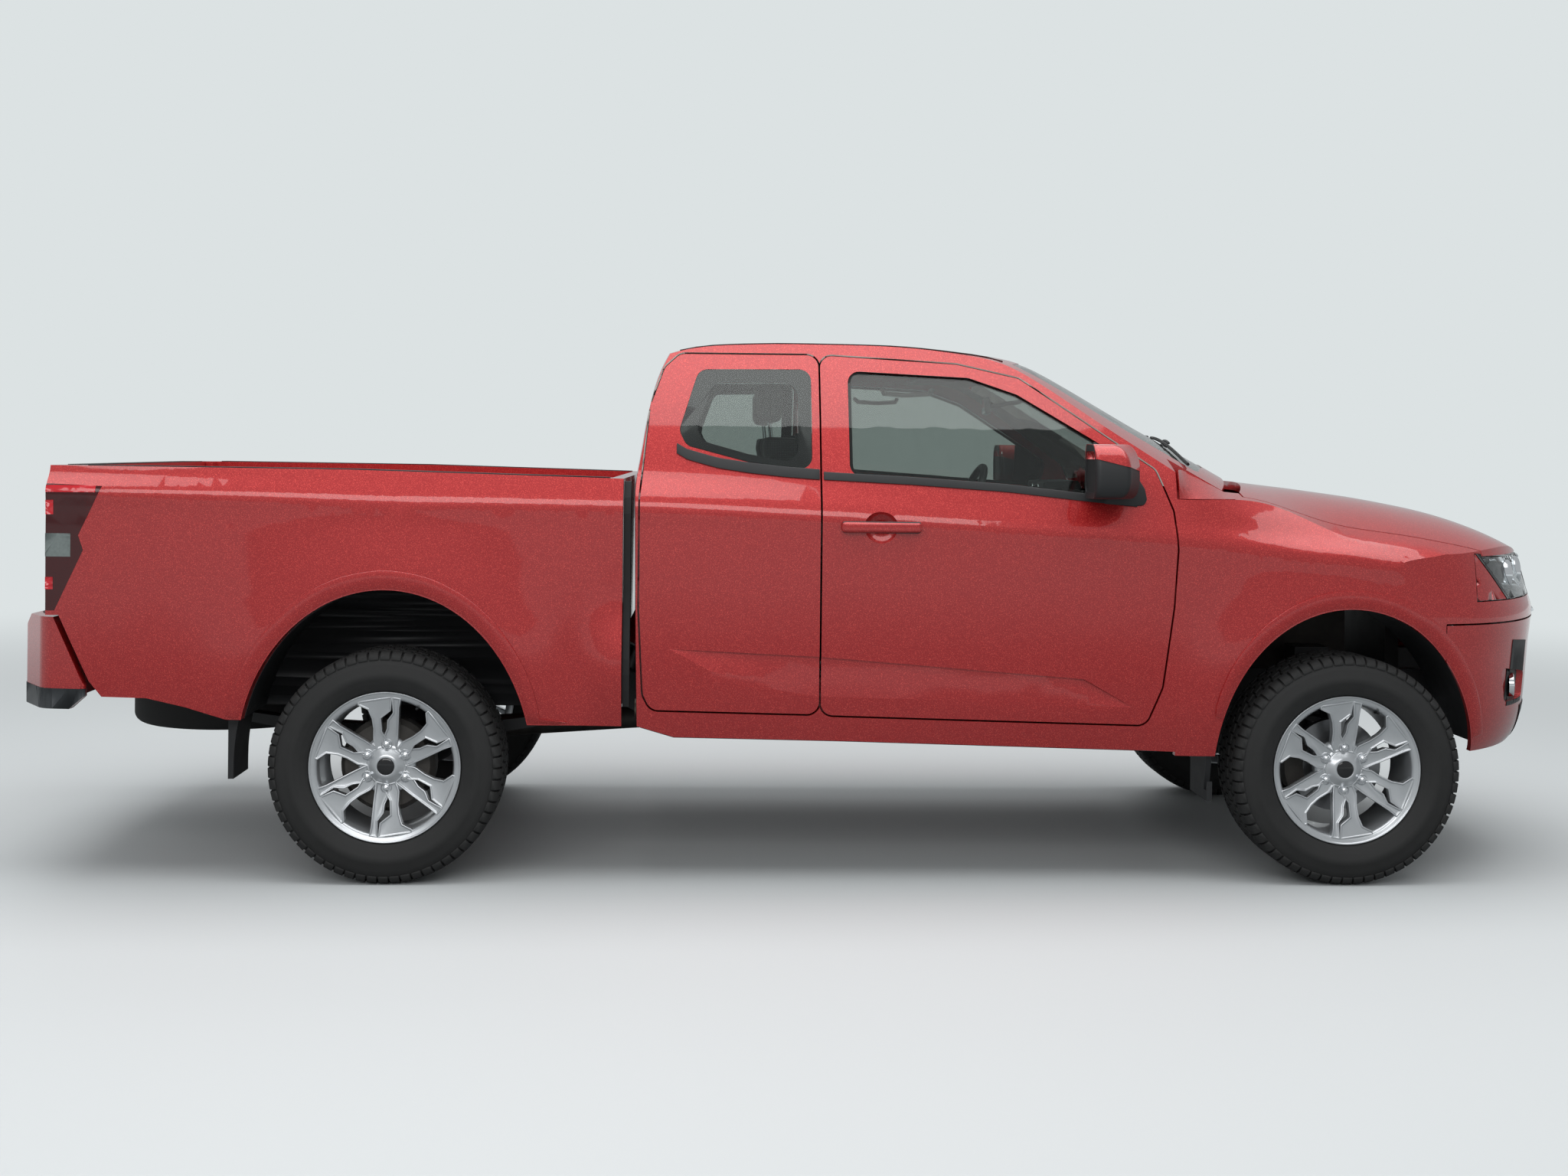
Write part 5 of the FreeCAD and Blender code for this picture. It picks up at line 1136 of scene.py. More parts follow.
@dataclass
class RoadWheels:
    """The four road wheels, each a tyre, a cast wheel, its nuts, wells, cap and valve."""

    wheelbase: float = FRONT_AXLE_X - REAR_AXLE_X

    def dress(self, parts: dict[str, bpy.types.Object], end: str, side: Side) -> None:
        """Names the parts of one wheel, gives them their finishes and seats them on its body.

        Args:
            parts: The wheel's parts, in place.
            end: "front" or "rear".
            side: The side of the truck.
        """
        key = f"{end}_{side.word}"
        finishes = {"tyre": TYRE_RUBBER, "wheel": WHEEL_SILVER, "nuts": CHROME,
                    "wells": WHEEL_SILVER, "cap": GLOSS_BLACK, "valve": SEAL_RUBBER}
        for part, finish in finishes.items():
            obj = parts[part]
            obj.name = f"{part}_{key}_dressed"
            dressed(obj, finish, f"wheel_{key}")
        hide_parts(f"tyre_{key}")
        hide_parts(f"rim_{key}")

    def build(self) -> None:
        """Makes one wheel and copies it to the other three corners."""
        first = AlloyWheel().build()
        first["tyre"] = Tyre().build()
        about = (REAR_AXLE_X, 0, 0)
        for end, shift in (("front", self.wheelbase), ("rear", 0.0)):
            left = {part: copied(obj, part, (shift, 0, 0), math.pi, about)
                    for part, obj in first.items()}
            self.dress(left, end, Side.LEFT)
        front = {part: copied(obj, part, (self.wheelbase, 0, 0)) for part, obj in first.items()}
        self.dress(front, "front", Side.RIGHT)
        self.dress(first, "rear", Side.RIGHT)


# ---- outside trim ----


def sampled(points: Sequence[tuple[float, float]], count: int) -> list[tuple[float, float]]:
    """Spaces places evenly along a broken line.

    Args:
        points: The line's corners.
        count: Places wanted.

    Returns:
        The places.
    """
    spans = [math.dist(a, b) for a, b in zip(points, points[1:])]
    total = sum(spans)
    result = []
    for index in range(count):
        left = total * index / (count - 1)
        for (a, b), span in zip(zip(points, points[1:]), spans):
            if left <= span + 1e-9:
                share = left / span if span else 0
                result.append((a[0] + (b[0] - a[0]) * share, a[1] + (b[1] - a[1]) * share))
                break
            left -= span
        else:
            result.append(tuple(points[-1]))
    return result


def on_skin(nodes: Sequence[str], points: Sequence[tuple[float, float]], side: Side,
            lift: float) -> list[Vector]:
    """Lays side-view places on the body side, a little outside it.

    Args:
        nodes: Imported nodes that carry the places.
        points: Places as (x, z).
        side: Side of the truck.
        lift: Distance outside the skin.

    Returns:
        The places in space.
    """
    return [Vector((x, skin_y(nodes, x, z, side) + side.value * lift, z)) for x, z in points]


def ribbon(name: str, lower: Sequence[Vector], upper: Sequence[Vector],
           thickness: float) -> bpy.types.Object:
    """Bridges two lines of places and gives the strip a thickness inwards.

    Args:
        name: The strip's name.
        lower: Places along its lower edge.
        upper: As many places along its upper edge.
        thickness: Thickness towards the truck's middle.

    Returns:
        The strip.
    """
    obj = join(name, [chain("lower edge", lower), chain("upper edge", upper)])
    edit(obj)
    bpy.ops.mesh.bridge_edge_loops()
    bpy.ops.mesh.select_all(action="SELECT")
    inward = -math.copysign(thickness, lower[0][1])
    bpy.ops.mesh.extrude_region_move(TRANSFORM_OT_translate={"value": (0, inward, 0)})
    solidly_out()
    leave_edit()
    return obj


def frame_on_skin(name: str, nodes: Sequence[str], outline: Sequence[tuple[float, float]],
                  width: float, side: Side, lift: float, depth: float) -> bpy.types.Object:
    """Makes a closed band that follows the body side round an outline.

    Args:
        name: The band's name.
        nodes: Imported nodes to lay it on.
        outline: Its outer edge as (x, z).
        width: Its width.
        side: Side of the truck.
        lift: Distance of its face outside the skin.
        depth: Its thickness inwards.

    Returns:
        The band.
    """
    inner = inset_outline(outline, width)
    outer_ring = chain("outer ring", on_skin(nodes, outline, side, lift), closed=True)
    inner_ring = chain("inner ring", on_skin(nodes, inner, side, lift), closed=True)
    obj = join(name, [outer_ring, inner_ring])
    edit(obj)
    bpy.ops.mesh.bridge_edge_loops()
    bpy.ops.mesh.select_all(action="SELECT")
    bpy.ops.mesh.extrude_region_move(
        TRANSFORM_OT_translate={"value": (0, -side.value * depth, 0)})
    solidly_out()
    leave_edit()
    return obj


def rel(points: Sequence[tuple[float, float]]) -> list[tuple[float, float]]:
    """Turns places measured ahead of the rear axle into the truck's frame.

    Args:
        points: Places as (distance ahead of the rear axle, height).

    Returns:
        Places as (x, z).
    """
    return [(x + REAR_AXLE_X, z) for x, z in points]


@dataclass
class BeltMouldings:
    """Black mouldings under the side windows, on the front and the access doors.

    Attributes:
        front: Lower edge of the front door's moulding, ahead of the rear axle.
        rear: Lower edge under the quarter glass.
        heights: Heights of the front and the rear mouldings.
    """

    front: tuple = ((1.4035, 1.3105), (1.70, 1.296), (2.00, 1.276), (2.256, 1.248),
                    (2.36, 1.238), (2.425, 1.231))
    rear: tuple = ((0.925, 1.392), (0.960, 1.372), (1.06, 1.345), (1.164, 1.330),
                   (1.28, 1.318), (1.3905, 1.3105))
    heights: tuple[float, float] = (0.026, 0.034)

    def strip(self, name: str, lower: Sequence[tuple[float, float]], height: float,
              body: str, side: Side) -> None:
        """Lays one moulding.

        Args:
            name: Its name.
            lower: Its lower edge.
            height: Its height.
            body: The door that it lies on, which is its body too.
            side: Side of the truck.
        """
        places = sampled(rel(lower), 26)
        low = on_skin([body], places, side, 0.0045)
        high = [p + Vector((0, -side.value * height * 0.30, height)) for p in low]
        obj = ribbon(name, low, high, 0.007)
        dressed(smooth(rounded(obj, 0.0018, 2)), BLACK_PLASTIC, body)

    def build(self) -> None:
        """Lays the mouldings of both sides."""
        for side in Side:
            word = side.word
            self.strip(f"belt_moulding_front_{word}", self.front, self.heights[0],
                       f"door_{word}", side)
            self.strip(f"belt_moulding_rear_{word}", self.rear, self.heights[1],
                       f"access_door_{word}", side)


@dataclass
class WindowSurrounds:
    """Rubber channels round the front door glasses and the dark frit of the quarter glasses.

    Attributes:
        window: Outline of the front door's window opening.
        quarter: Outline of the quarter glass.
        clear: Clear middle of the quarter glass.
    """

    window: tuple = ((1.489, 1.6725), (1.894, 1.6530), (2.053, 1.5976), (2.331, 1.4262),
                     (2.425, 1.3602), (2.400, 1.2620), (1.489, 1.3245))
    quarter: tuple = ((0.994, 1.6725), (1.367, 1.6761), (1.367, 1.3405), (1.1625, 1.3637),
                      (0.956, 1.4173), (0.931, 1.4673))
    clear: tuple = ((1.045, 1.628), (1.290, 1.630), (1.322, 1.600), (1.322, 1.395),
                    (1.290, 1.368), (1.170, 1.388), (1.010, 1.432), (0.990, 1.475))

    def channel(self, side: Side) -> None:
        """Makes the front door's glass channel.

        Args:
            side: Side of the truck.
        """
        word = side.word
        outline = rounded_outline(rel(self.window), 0.040, 5)
        glass = [f"door_glass_{word}"]
        sunk = inset_outline(outline, 0.0006)
        inner = inset_outline(outline, 0.011)
        shift = lambda p: on_glass(glass, p, inset_outline(outline, 0.02), side)
        obj = band_between(f"glass_channel_{word}", [shift(p) for p in sunk],
                           [shift(p) for p in inner], side, 0.006)
        dressed(smooth(rounded(obj, 0.0012, 1)), SEAL_RUBBER, f"door_{word}")

    def frit(self, side: Side) -> None:
        """Makes the quarter glass's printed border, just inside the glass.

        Args:
            side: Side of the truck.
        """
        word = side.word
        node = [f"quarter_glass_{word}"]
        outline = inset_outline(rounded_outline(rel(self.quarter), 0.040, 6), 0.002)
        inner = rounded_outline(rel(self.clear), 0.030, 6)
        target = len(outline)
        inner = resample_ring(inner, target, outline[0])
        outer_places = [on_glass(node, p, inset_outline(outline, 0.006), side) for p in outline]
        inner_places = [on_glass(node, p, inset_outline(outline, 0.006), side) for p in inner]
        obj = band_between(f"quarter_frit_{word}", outer_places, inner_places, side, 0.0012,
                           0.0009)
        dressed(smooth(obj), GLOSS_BLACK, f"access_door_{word}")

    def build(self) -> None:
        """Makes the surrounds of both sides."""
        for side in Side:
            self.channel(side)
            self.frit(side)


def resample_ring(ring: Sequence[tuple[float, float]], count: int,
                  near: tuple[float, float]) -> list[tuple[float, float]]:
    """Spaces places evenly along a closed outline, starting near a place.

    Args:
        ring: The outline.
        count: Places wanted.
        near: The place that the first one lies nearest.

    Returns:
        The places.
    """
    closed = list(ring) + [ring[0]]
    places = sampled(closed, count + 1)[:-1]
    start = min(range(count), key=lambda i: math.dist(places[i], near))
    return places[start:] + places[:start]


def on_glass(nodes: Sequence[str], place: tuple[float, float],
             hold: Sequence[tuple[float, float]], side: Side) -> Vector:
    """Lays a place on a pane, taking the pane's nearest place where it lies beyond its edge.

    Args:
        nodes: The pane's node.
        place: The place as (x, z).
        hold: An outline a little inside the pane.
        side: Side of the truck.

    Returns:
        The place in space, on the pane's outer face.
    """
    x, z = place
    start = Vector((x, side.value * 1.3, z))
    for node in nodes:
        hit, spot, _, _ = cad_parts[node].ray_cast(start, Vector((0, -side.value, 0)))
        if hit and abs(spot.y) > 0.5:
            return Vector((x, spot.y, z))
    near = min(hold, key=lambda p: math.dist(p, place))
    y = skin_y(nodes, near[0], near[1], side)
    slope = 0.42
    return Vector((x, y - side.value * slope * (z - near[1]), z))


def band_between(name: str, outer: Sequence[Vector], inner: Sequence[Vector], side: Side,
                 depth: float, sink: float = 0.0) -> bpy.types.Object:
    """Bridges two closed rings of places into a band and gives it a thickness inwards.

    Args:
        name: The band's name.
        outer: Places of the outer ring.
        inner: Places of the inner ring, as many.
        side: Side of the truck.
        depth: The band's thickness.
        sink: How far inside the places its outer face lies.

    Returns:
        The band.
    """
    move = Vector((0, -side.value * sink, 0))
    obj = join(name, [chain("outer", [p + move for p in outer], closed=True),
                      chain("inner", [p + move for p in inner], closed=True)])
    edit(obj)
    bpy.ops.mesh.bridge_edge_loops()
    bpy.ops.mesh.select_all(action="SELECT")
    bpy.ops.mesh.extrude_region_move(
        TRANSFORM_OT_translate={"value": (0, -side.value * depth, 0)})
    solidly_out()
    leave_edit()
    return obj


@dataclass
class DoorHandles:
    """Painted covers of the front doors' pull handles, with their key button.

    Attributes:
        rear: Rear end of the handle in the truck's frame.
        front: Its front end.
        height: Level of its middle.
    """

    rear: float = 0.065
    front: float = 0.315
    level: float = 1.160

    def build(self) -> None:
        """Makes the covers of both sides."""
        for side in Side:
            node = [f"door_{side.word}"]
            outline = rounded_outline([(self.rear - 0.004, self.level - 0.017),
                                       (self.front + 0.004, self.level - 0.015),
                                       (self.front + 0.004, self.level + 0.015),
                                       (self.rear - 0.004, self.level + 0.017)], 0.014, 5)
            y = side.value * (0.9165 + 0.0375)
            cover = slab(f"handle_cover_{side.word}", [(x, y, z) for x, z in outline],
                         (0, -side.value * 0.012, 0))
            dressed(smooth(rounded(cover, 0.004, 3)), RED_PAINT, f"door_{side.word}")
            pad = lathe(f"handle_button_{side.word}", (
                (0.0, 0.0028), (0.0075, 0.0024), (0.0090, 0.0010), (0.0090, -0.002)),
                (self.front - 0.022, y, self.level), (0, side.value, 0), 24)
            dressed(smooth(pad), GLOSS_BLACK, f"door_{side.word}")


@dataclass
class DoorMirrors:
    """Painted caps, glasses and window-corner sails of the door mirrors.

    Attributes:
        split: Level below which the housing stays black.
    """

    split: float = 1.368

    def cap(self, side: Side) -> None:
        """Makes the painted cap over the upper part of the housing.

        Args:
            side: Side of the truck.
        """
        cap = node_copy(f"mirror_cap_{side.word}", f"mirror_{side.word}")
        edit(cap)
        bpy.ops.mesh.remove_doubles(threshold=1e-6)
        bpy.ops.mesh.select_all(action="SELECT")
        bpy.ops.mesh.bisect(plane_co=(0.93, 0, self.split), plane_no=(0.24, 0, 1),
                            clear_inner=True, use_fill=False)
        bpy.ops.mesh.select_all(action="SELECT")
        bpy.ops.mesh.bisect(plane_co=(0.852, 0, 0), plane_no=(1, 0, 0), clear_inner=True,
                            use_fill=False)
        leave_edit()
        for face in cap.data.polygons:
            face.use_smooth = True
        apply_modifier(cap, "SOLIDIFY", thickness=0.0022, offset=1.0)
        dressed(smooth(cap, 30), RED_PAINT, f"door_{side.word}")

    def glass(self, side: Side) -> None:
        """Makes the mirror glass in its sunk face.

        Args:
            side: Side of the truck.
        """
        low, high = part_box(f"mirror_{side.word}")
        width = high[1] - low[1]
        inner = low[1] + width * (0.86 if side is Side.RIGHT else 0.14)
        outer = low[1] + width * (0.15 if side is Side.RIGHT else 0.85)
        outline = rounded_outline([(inner, low[2] + 0.024), (outer, low[2] + 0.026),
                                   (outer - (outer - inner) * 0.04, high[2] - 0.026),
                                   (inner, high[2] - 0.024)], 0.018, 5)
        pane = slab(f"mirror_glass_{side.word}",
                    [(low[0] + 0.0085, y, z) for y, z in outline], (0.0022, 0, 0))
        dressed(pane, CHROME, f"door_{side.word}")

    def sail(self, side: Side) -> None:
        """Makes the black triangle at the front corner of the door window.

        Args:
            side: Side of the truck.
        """
        outline = rel(((2.296, 1.447), (2.318, 1.434), (2.418, 1.364), (2.422, 1.340),
                       (2.404, 1.272), (2.392, 1.2655), (2.296, 1.2735)))
        hold = inset_outline(rounded_outline(rel(WindowSurrounds.window), 0.04, 5), 0.02)
        node = [f"door_glass_{side.word}"]
        places = [on_glass(node, p, hold, side) + Vector((0, side.value * 0.006, 0))
                  for p in rounded_outline(outline, 0.012, 3)]
        plate = slab(f"mirror_sail_{side.word}", places, (0, -side.value * 0.010, 0))
        dressed(smooth(rounded(plate, 0.002, 2)), BLACK_PLASTIC, f"door_{side.word}")

    def foot(self, side: Side) -> None:
        """Makes the black foot that carries the mirror on the door skin.

        Args:
            side: Side of the truck.
        """
        outline = rounded_outline([(0.985, 1.322), (1.034, 1.326), (1.055, 1.290),
                                   (1.060, 1.255), (1.050, 1.237), (1.012, 1.233),
                                   (0.915, 1.241), (0.915, 1.262)], 0.016, 4)
        places = on_skin([f"door_{side.word}"], outline, side, 0.006)
        plate = slab(f"mirror_foot_{side.word}", places, (0, -side.value * 0.014, 0))
        dressed(smooth(rounded(plate, 0.003, 2)), BLACK_PLASTIC, f"door_{side.word}")

    def build(self) -> None:
        """Makes the mirrors' dressing on both sides."""
        for side in Side:
            self.cap(side)
            self.glass(side)
            self.sail(side)
            self.foot(side)


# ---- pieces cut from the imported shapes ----


def cast(nodes: Sequence[str], start: Point, towards: Point) -> Vector | None:
    """Finds the first place where a ray meets one of the nodes.

    Args:
        nodes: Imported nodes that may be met.
        start: Where the ray starts.
        towards: Its direction.

    Returns:
        The nearest place, or None where it meets nothing.
    """
    best = None
    for node in nodes:
        hit, place, _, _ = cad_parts[node].ray_cast(Vector(start), Vector(towards))
        if hit and (best is None or (place - Vector(start)).length
                    < (best - Vector(start)).length):
            best = place.copy()
    return best


def ahead_x(nodes: Sequence[str], y: float, z: float, default: float = 2.5) -> float:
    """How far forward the nodes reach at a place in front view.

    Args:
        nodes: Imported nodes.
        y: Place across the truck.
        z: Height.
        default: Answer where nothing is met.

    Returns:
        The X of the foremost face.
    """
    place = cast(nodes, (3.5, y, z), (-1, 0, 0))
    return place.x if place else default


def behind_x(nodes: Sequence[str], y: float, z: float, default: float = -2.6) -> float:
    """How far back the nodes reach at a place in rear view.

    Args:
        nodes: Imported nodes.
        y: Place across the truck.
        z: Height.
        default: Answer where nothing is met.

    Returns:
        The X of the hindmost face.
    """
    place = cast(nodes, (-3.5, y, z), (1, 0, 0))
    return place.x if place else default


def top_z(nodes: Sequence[str], x: float, y: float, default: float = 1.0) -> float:
    """How high the nodes reach at a place seen from above.

    Args:
        nodes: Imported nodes.
        x: Place along the truck.
        y: Place across it.
        default: Answer where nothing is met.

    Returns:
        The Z of the topmost face.
    """
    place = cast(nodes, (x, y, 2.6), (0, 0, -1))
    return place.z if place else default


Plane = tuple[Point, Point]


def patch(name: str, node: str, keep: Callable[[Vector, Vector], bool],
          planes: Sequence[Plane], thickness: float, outward: float = 1.0) -> bpy.types.Object:
    """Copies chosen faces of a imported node, cuts them to size and gives them thickness.

    Args:
        name: The new piece's name.
        node: The node whose faces it follows.
        keep: Test on a face's centre and normal.
        planes: Cuts, each a place and a normal; what lies beyond the plane goes.
        thickness: Thickness of the piece.
        outward: 1 where it grows outside the faces, -1 where it grows inside.

    Returns:
        The piece.
    """
    obj = node_copy(name, node)
    obj.data.materials.clear()
    edit(obj)
    bpy.ops.mesh.remove_doubles(threshold=1e-5)
    for place, normal in planes:
        bpy.ops.mesh.select_all(action="SELECT")
        bpy.ops.mesh.bisect(plane_co=place, plane_no=normal, clear_outer=True, use_fill=False)
    pick_faces(obj, lambda centre, normal: not keep(centre, normal))
    bpy.ops.mesh.delete(type="FACE")
    bpy.ops.mesh.select_all(action="SELECT")
    bpy.ops.mesh.delete_loose()
    leave_edit()
    if not obj.data.polygons:
        raise ValueError(f"{name}: no face of {node} passed the test")
    apply_modifier(obj, "SOLIDIFY", thickness=thickness, offset=outward)
    return smooth(obj, 28)


# ---- front end ----


@dataclass
class HeadLamps:
    """Clear lens, dark bowl, two projectors and marker strip on each side.

    Attributes:
        inner: Half width at which the lamps begin.
        low: Level of their lower edge.
        high: Level of their upper edge.
        slant_low: Front end of the fender's slanted edge, as (x, z).
        slant_high: Rear end of that edge.
        lens: Thickness of the lens.
    """

    inner: float = 0.449
    low: float = 0.930
    high: float = 1.080
    slant_low: tuple[float, float] = (2.316, 0.9285)
    slant_high: tuple[float, float] = (2.178, 1.0815)
    lens: float = 0.003

    def facing(self, side: Side) -> Callable[[Vector, Vector], bool]:
        """Makes the test for the lamp's outer faces.

        Args:
            side: Side of the truck.

        Returns:
            The test.
        """
        return lambda c, n: (n.x + side.value * n.y > 0.35 and abs(n.z) < 0.85
                             and c.y * side.value > 0.3)

    def slant(self, shift: float) -> Plane:
        """The upright plane through the fender's slanted edge.

        Args:
            shift: Distance by which it is moved forward.

        Returns:
            The plane; its normal points back and down, into the fender.
        """
        (x0, z0), (x1, z1) = self.slant_low, self.slant_high
        normal = Vector((z0 - z1, 0, x1 - x0)).normalized()
        return (x0 + shift, 0, z0), tuple(normal)

    def projector(self, side: Side, y: float, radius: float, word: str) -> None:
        """Makes one projector: ribbed bezel, bright bowl and glass ball.

        Args:
            side: Side of the truck.
            y: Its distance from the middle.
            radius: Radius of its bezel.
            word: Its place in the name.
        """
        level = (self.low + self.high) / 2 + 0.002
        x = ahead_x(["headlamps"], side.value * y, level) - 0.012
        centre = (x, side.value * y, level)
        lean = (1, side.value * 0.10, 0)
        bezel = lathe(f"headlamp_bezel_{word}_{side.word}", (
            (radius, -0.030), (radius, -0.004), (radius * 0.97, 0.0), (radius * 0.90, -0.001),
            (radius * 0.84, -0.006), (radius * 0.80, -0.030)), centre, lean, 48, closed=True)
        dressed(smooth(bezel), CHROME, "root")
        bowl = lathe(f"headlamp_bowl_{word}_{side.word}", (
            (radius * 0.80, -0.008), (radius * 0.70, -0.016), (radius * 0.52, -0.024),
            (0.0, -0.0275), (0.0, -0.0295), (radius * 0.55, -0.0260), (radius * 0.73, -0.018),
            (radius * 0.82, -0.010)), centre, lean, 48)
        dressed(smooth(bowl), REFLECTOR, "root")
        ball = lathe(f"headlamp_ball_{word}_{side.word}", (
            (0.0, -0.0025), (radius * 0.24, -0.0045), (radius * 0.42, -0.0095),
            (radius * 0.50, -0.0165), (radius * 0.50, -0.0215), (0.0, -0.0215)),
            centre, lean, 40)
        dressed(smooth(ball), LAMP_LENS, "root")

    def marker(self, side: Side) -> None:
        """Makes the bright marker strip and the brow inside the lens.

        Args:
            side: Side of the truck.
        """
        (x0, z0), (x1, z1) = self.slant_low, self.slant_high
        for word, level, rise, depth, radius, finish in (
                ("marker", self.low + 0.018, 0.0030, 0.013, 0.0045, REFLECTOR),
                ("brow", self.high - 0.014, -0.0008, 0.012, 0.0035, CHROME)):
            path = []
            for step in range(15):
                y = self.inner + 0.030 + step * 0.0255
                z = level + rise * step
                x = ahead_x(["headlamps"], side.value * y, z, 0.0) - depth
                edge = x0 + (x1 - x0) * (z - z0) / (z1 - z0)
                if x > edge + 0.014:
                    path.append((x, side.value * y, z))
            line = tube(f"headlamp_{word}_{side.word}", path, radius, sides=8)
            dressed(smooth(line), finish, "root")

    def lamp(self, side: Side) -> bpy.types.Object:
        """Makes one lamp's shells.

        Args:
            side: Side of the truck.

        Returns:
            The lens.
        """
        facing = self.facing(side)
        own_side = ((0, side.value * 0.3, 0), (0, -side.value, 0))
        lens = patch(f"headlamp_lens_{side.word}", "headlamps", facing,
                     (own_side, self.slant(0.002)), self.lens, -1)
        dressed(lens, LAMP_LENS, "root")
        bowl = patch(f"headlamp_housing_{side.word}", "headlamps",
                     lambda c, n: not facing(c, n), (own_side,), 0.0015, -1)
        dressed(bowl, GLOSS_BLACK, "root")
        place, normal = self.slant(-0.002)
        corner = patch(f"headlamp_corner_{side.word}", "headlamps", facing,
                       (own_side, (place, tuple(-c for c in normal))), 0.006, -1)
        dressed(corner, RED_PAINT, "root")
        rim = patch(f"headlamp_rim_{side.word}", "headlamps", facing,
                    (own_side, self.slant(0.003),
                     (self.slant(0.016)[0], tuple(-c for c in normal))), 0.0008, 0)
        dressed(rim, GLOSS_BLACK, "root")
        return lens

    def build(self) -> None:
        """Makes both lamps."""
        lenses = []
        for side in Side:
            lenses.append(self.lamp(side))
            self.projector(side, self.inner + 0.085, 0.056, "main")
            self.projector(side, self.inner + 0.210, 0.050, "dip")
            self.marker(side)
        for lens in lenses:
            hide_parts("headlamps")


@dataclass
class BumperTrim:
    """Fog lamps, corner inserts, mouth bars and lower guard of the front bumper.

    Attributes:
        mouth_half: Half width of the mouth.
        mouth_low: Its lower edge.
        mouth_high: Its upper edge.
        fog_y: Distance of the fog lamps from the middle.
        fog_z: Their level.
    """

    mouth_half: float = 0.396
    mouth_low: float = 0.5665
    mouth_high: float = 0.683
    fog_y: float = 0.652
    fog_z: float = 0.630

    def fog(self, side: Side) -> None:
        """Makes one fog lamp with its bezel.

        Args:
            side: Side of the truck.
        """
        x = ahead_x(["front_bumper"], side.value * self.fog_y, self.fog_z)
        centre = (x, side.value * self.fog_y, self.fog_z)
        lean = (1, side.value * 0.30, 0)
        ring = lathe(f"fog_bezel_{side.word}", (
            (0.041, -0.004), (0.041, 0.010), (0.038, 0.013), (0.032, 0.012), (0.030, 0.004),
            (0.030, -0.004)), centre, lean, 40, closed=True)
        dressed(smooth(ring), CHROME, "root")
        glass = lathe(f"fog_lens_{side.word}", (
            (0.0, 0.0095), (0.018, 0.0088), (0.0295, 0.0060), (0.0295, 0.002), (0.0, 0.002)),
            centre, lean, 40)
        dressed(smooth(glass), LAMP_LENS, "root")
        back = lathe(f"fog_mirror_{side.word}", (
            (0.0, -0.001), (0.0295, 0.0015), (0.0295, -0.003), (0.0, -0.0035)),
            centre, lean, 40)
        dressed(smooth(back), REFLECTOR, "root")

    def insert(self, side: Side) -> None:
        """Makes the dark insert at the bumper's corner.

        Args:
            side: Side of the truck.
        """
        s = side.value
        planes = (((0, s * 0.575, 0), (0, -s, 0)), ((2.335, 0, 0.66), (-1, 0, 0.10)),
                  ((0, 0, 0.566), (0, 0, -1)), ((0, s * 0.60, 0.778), (0, -s * 0.10, 1)))
        plate = patch(f"bumper_insert_{side.word}", "front_bumper",
                      lambda c, n: n.x > 0.02 and c.y * s > 0.5 and c.x > 2.2,
                      planes, 0.0022)
        dressed(plate, BLACK_PLASTIC, "root")

    def bars(self) -> None:
        """Lays bars across the bumper's mouth."""
        levels = [self.mouth_low + (self.mouth_high - self.mouth_low) * share
                  for share in (0.14, 0.38, 0.62, 0.86)]
        spots = [-self.mouth_half + self.mouth_half * 2 * i / 16 for i in range(17)]
        rows = [(ahead_x(["front_bumper"], y, self.mouth_high + 0.03) - 0.030, y)
                for y in spots]
        for index, level in enumerate(levels):
            lower = [Vector((x, y, level - 0.005)) for x, y in rows]
            upper = [Vector((x - 0.004, y, level + 0.006)) for x, y in rows]
            bar = join(f"mouth_bar_{index + 1}", [chain("low", lower), chain("high", upper)])
            edit(bar)
            bpy.ops.mesh.bridge_edge_loops()
            bpy.ops.mesh.select_all(action="SELECT")
            bpy.ops.mesh.extrude_region_move(TRANSFORM_OT_translate={"value": (-0.016, 0, 0)})
            solidly_out()
            leave_edit()
            dressed(smooth(rounded(bar, 0.002, 2)), BLACK_PLASTIC, "root")
        posts = []
        for index in range(1, 16, 2):
            x, y = rows[index]
            post = slab("post", [(x - 0.010, y - 0.0025, self.mouth_low - 0.004),
                                 (x - 0.010, y + 0.0025, self.mouth_low - 0.004),
                                 (x - 0.010, y + 0.0025, self.mouth_high + 0.004),
                                 (x - 0.010, y - 0.0025, self.mouth_high + 0.004)],
                        (-0.010, 0, 0))
            posts.append(post)
        dressed(join("mouth_posts", posts), BLACK_PLASTIC, "root")

    def guard(self) -> None:
        """Makes the lower guard under the mouth."""
        planes = (((0, 0, 0.548), (0, 0, 1)), ((0, 0.52, 0.50), (0, 1, -0.8)),
                  ((0, -0.52, 0.50), (0, -1, -0.8)))
        plate = patch("bumper_guard", "front_bumper",
                      lambda c, n: n.x > 0.15 and c.x > 2.3, planes, 0.003)
        dressed(plate, BLACK_PLASTIC, "root")

    def build(self) -> None:
        """Makes every piece of the bumper's trim."""
        for side in Side:
            self.insert(side)
            self.fog(side)
        self.bars()
        self.guard()


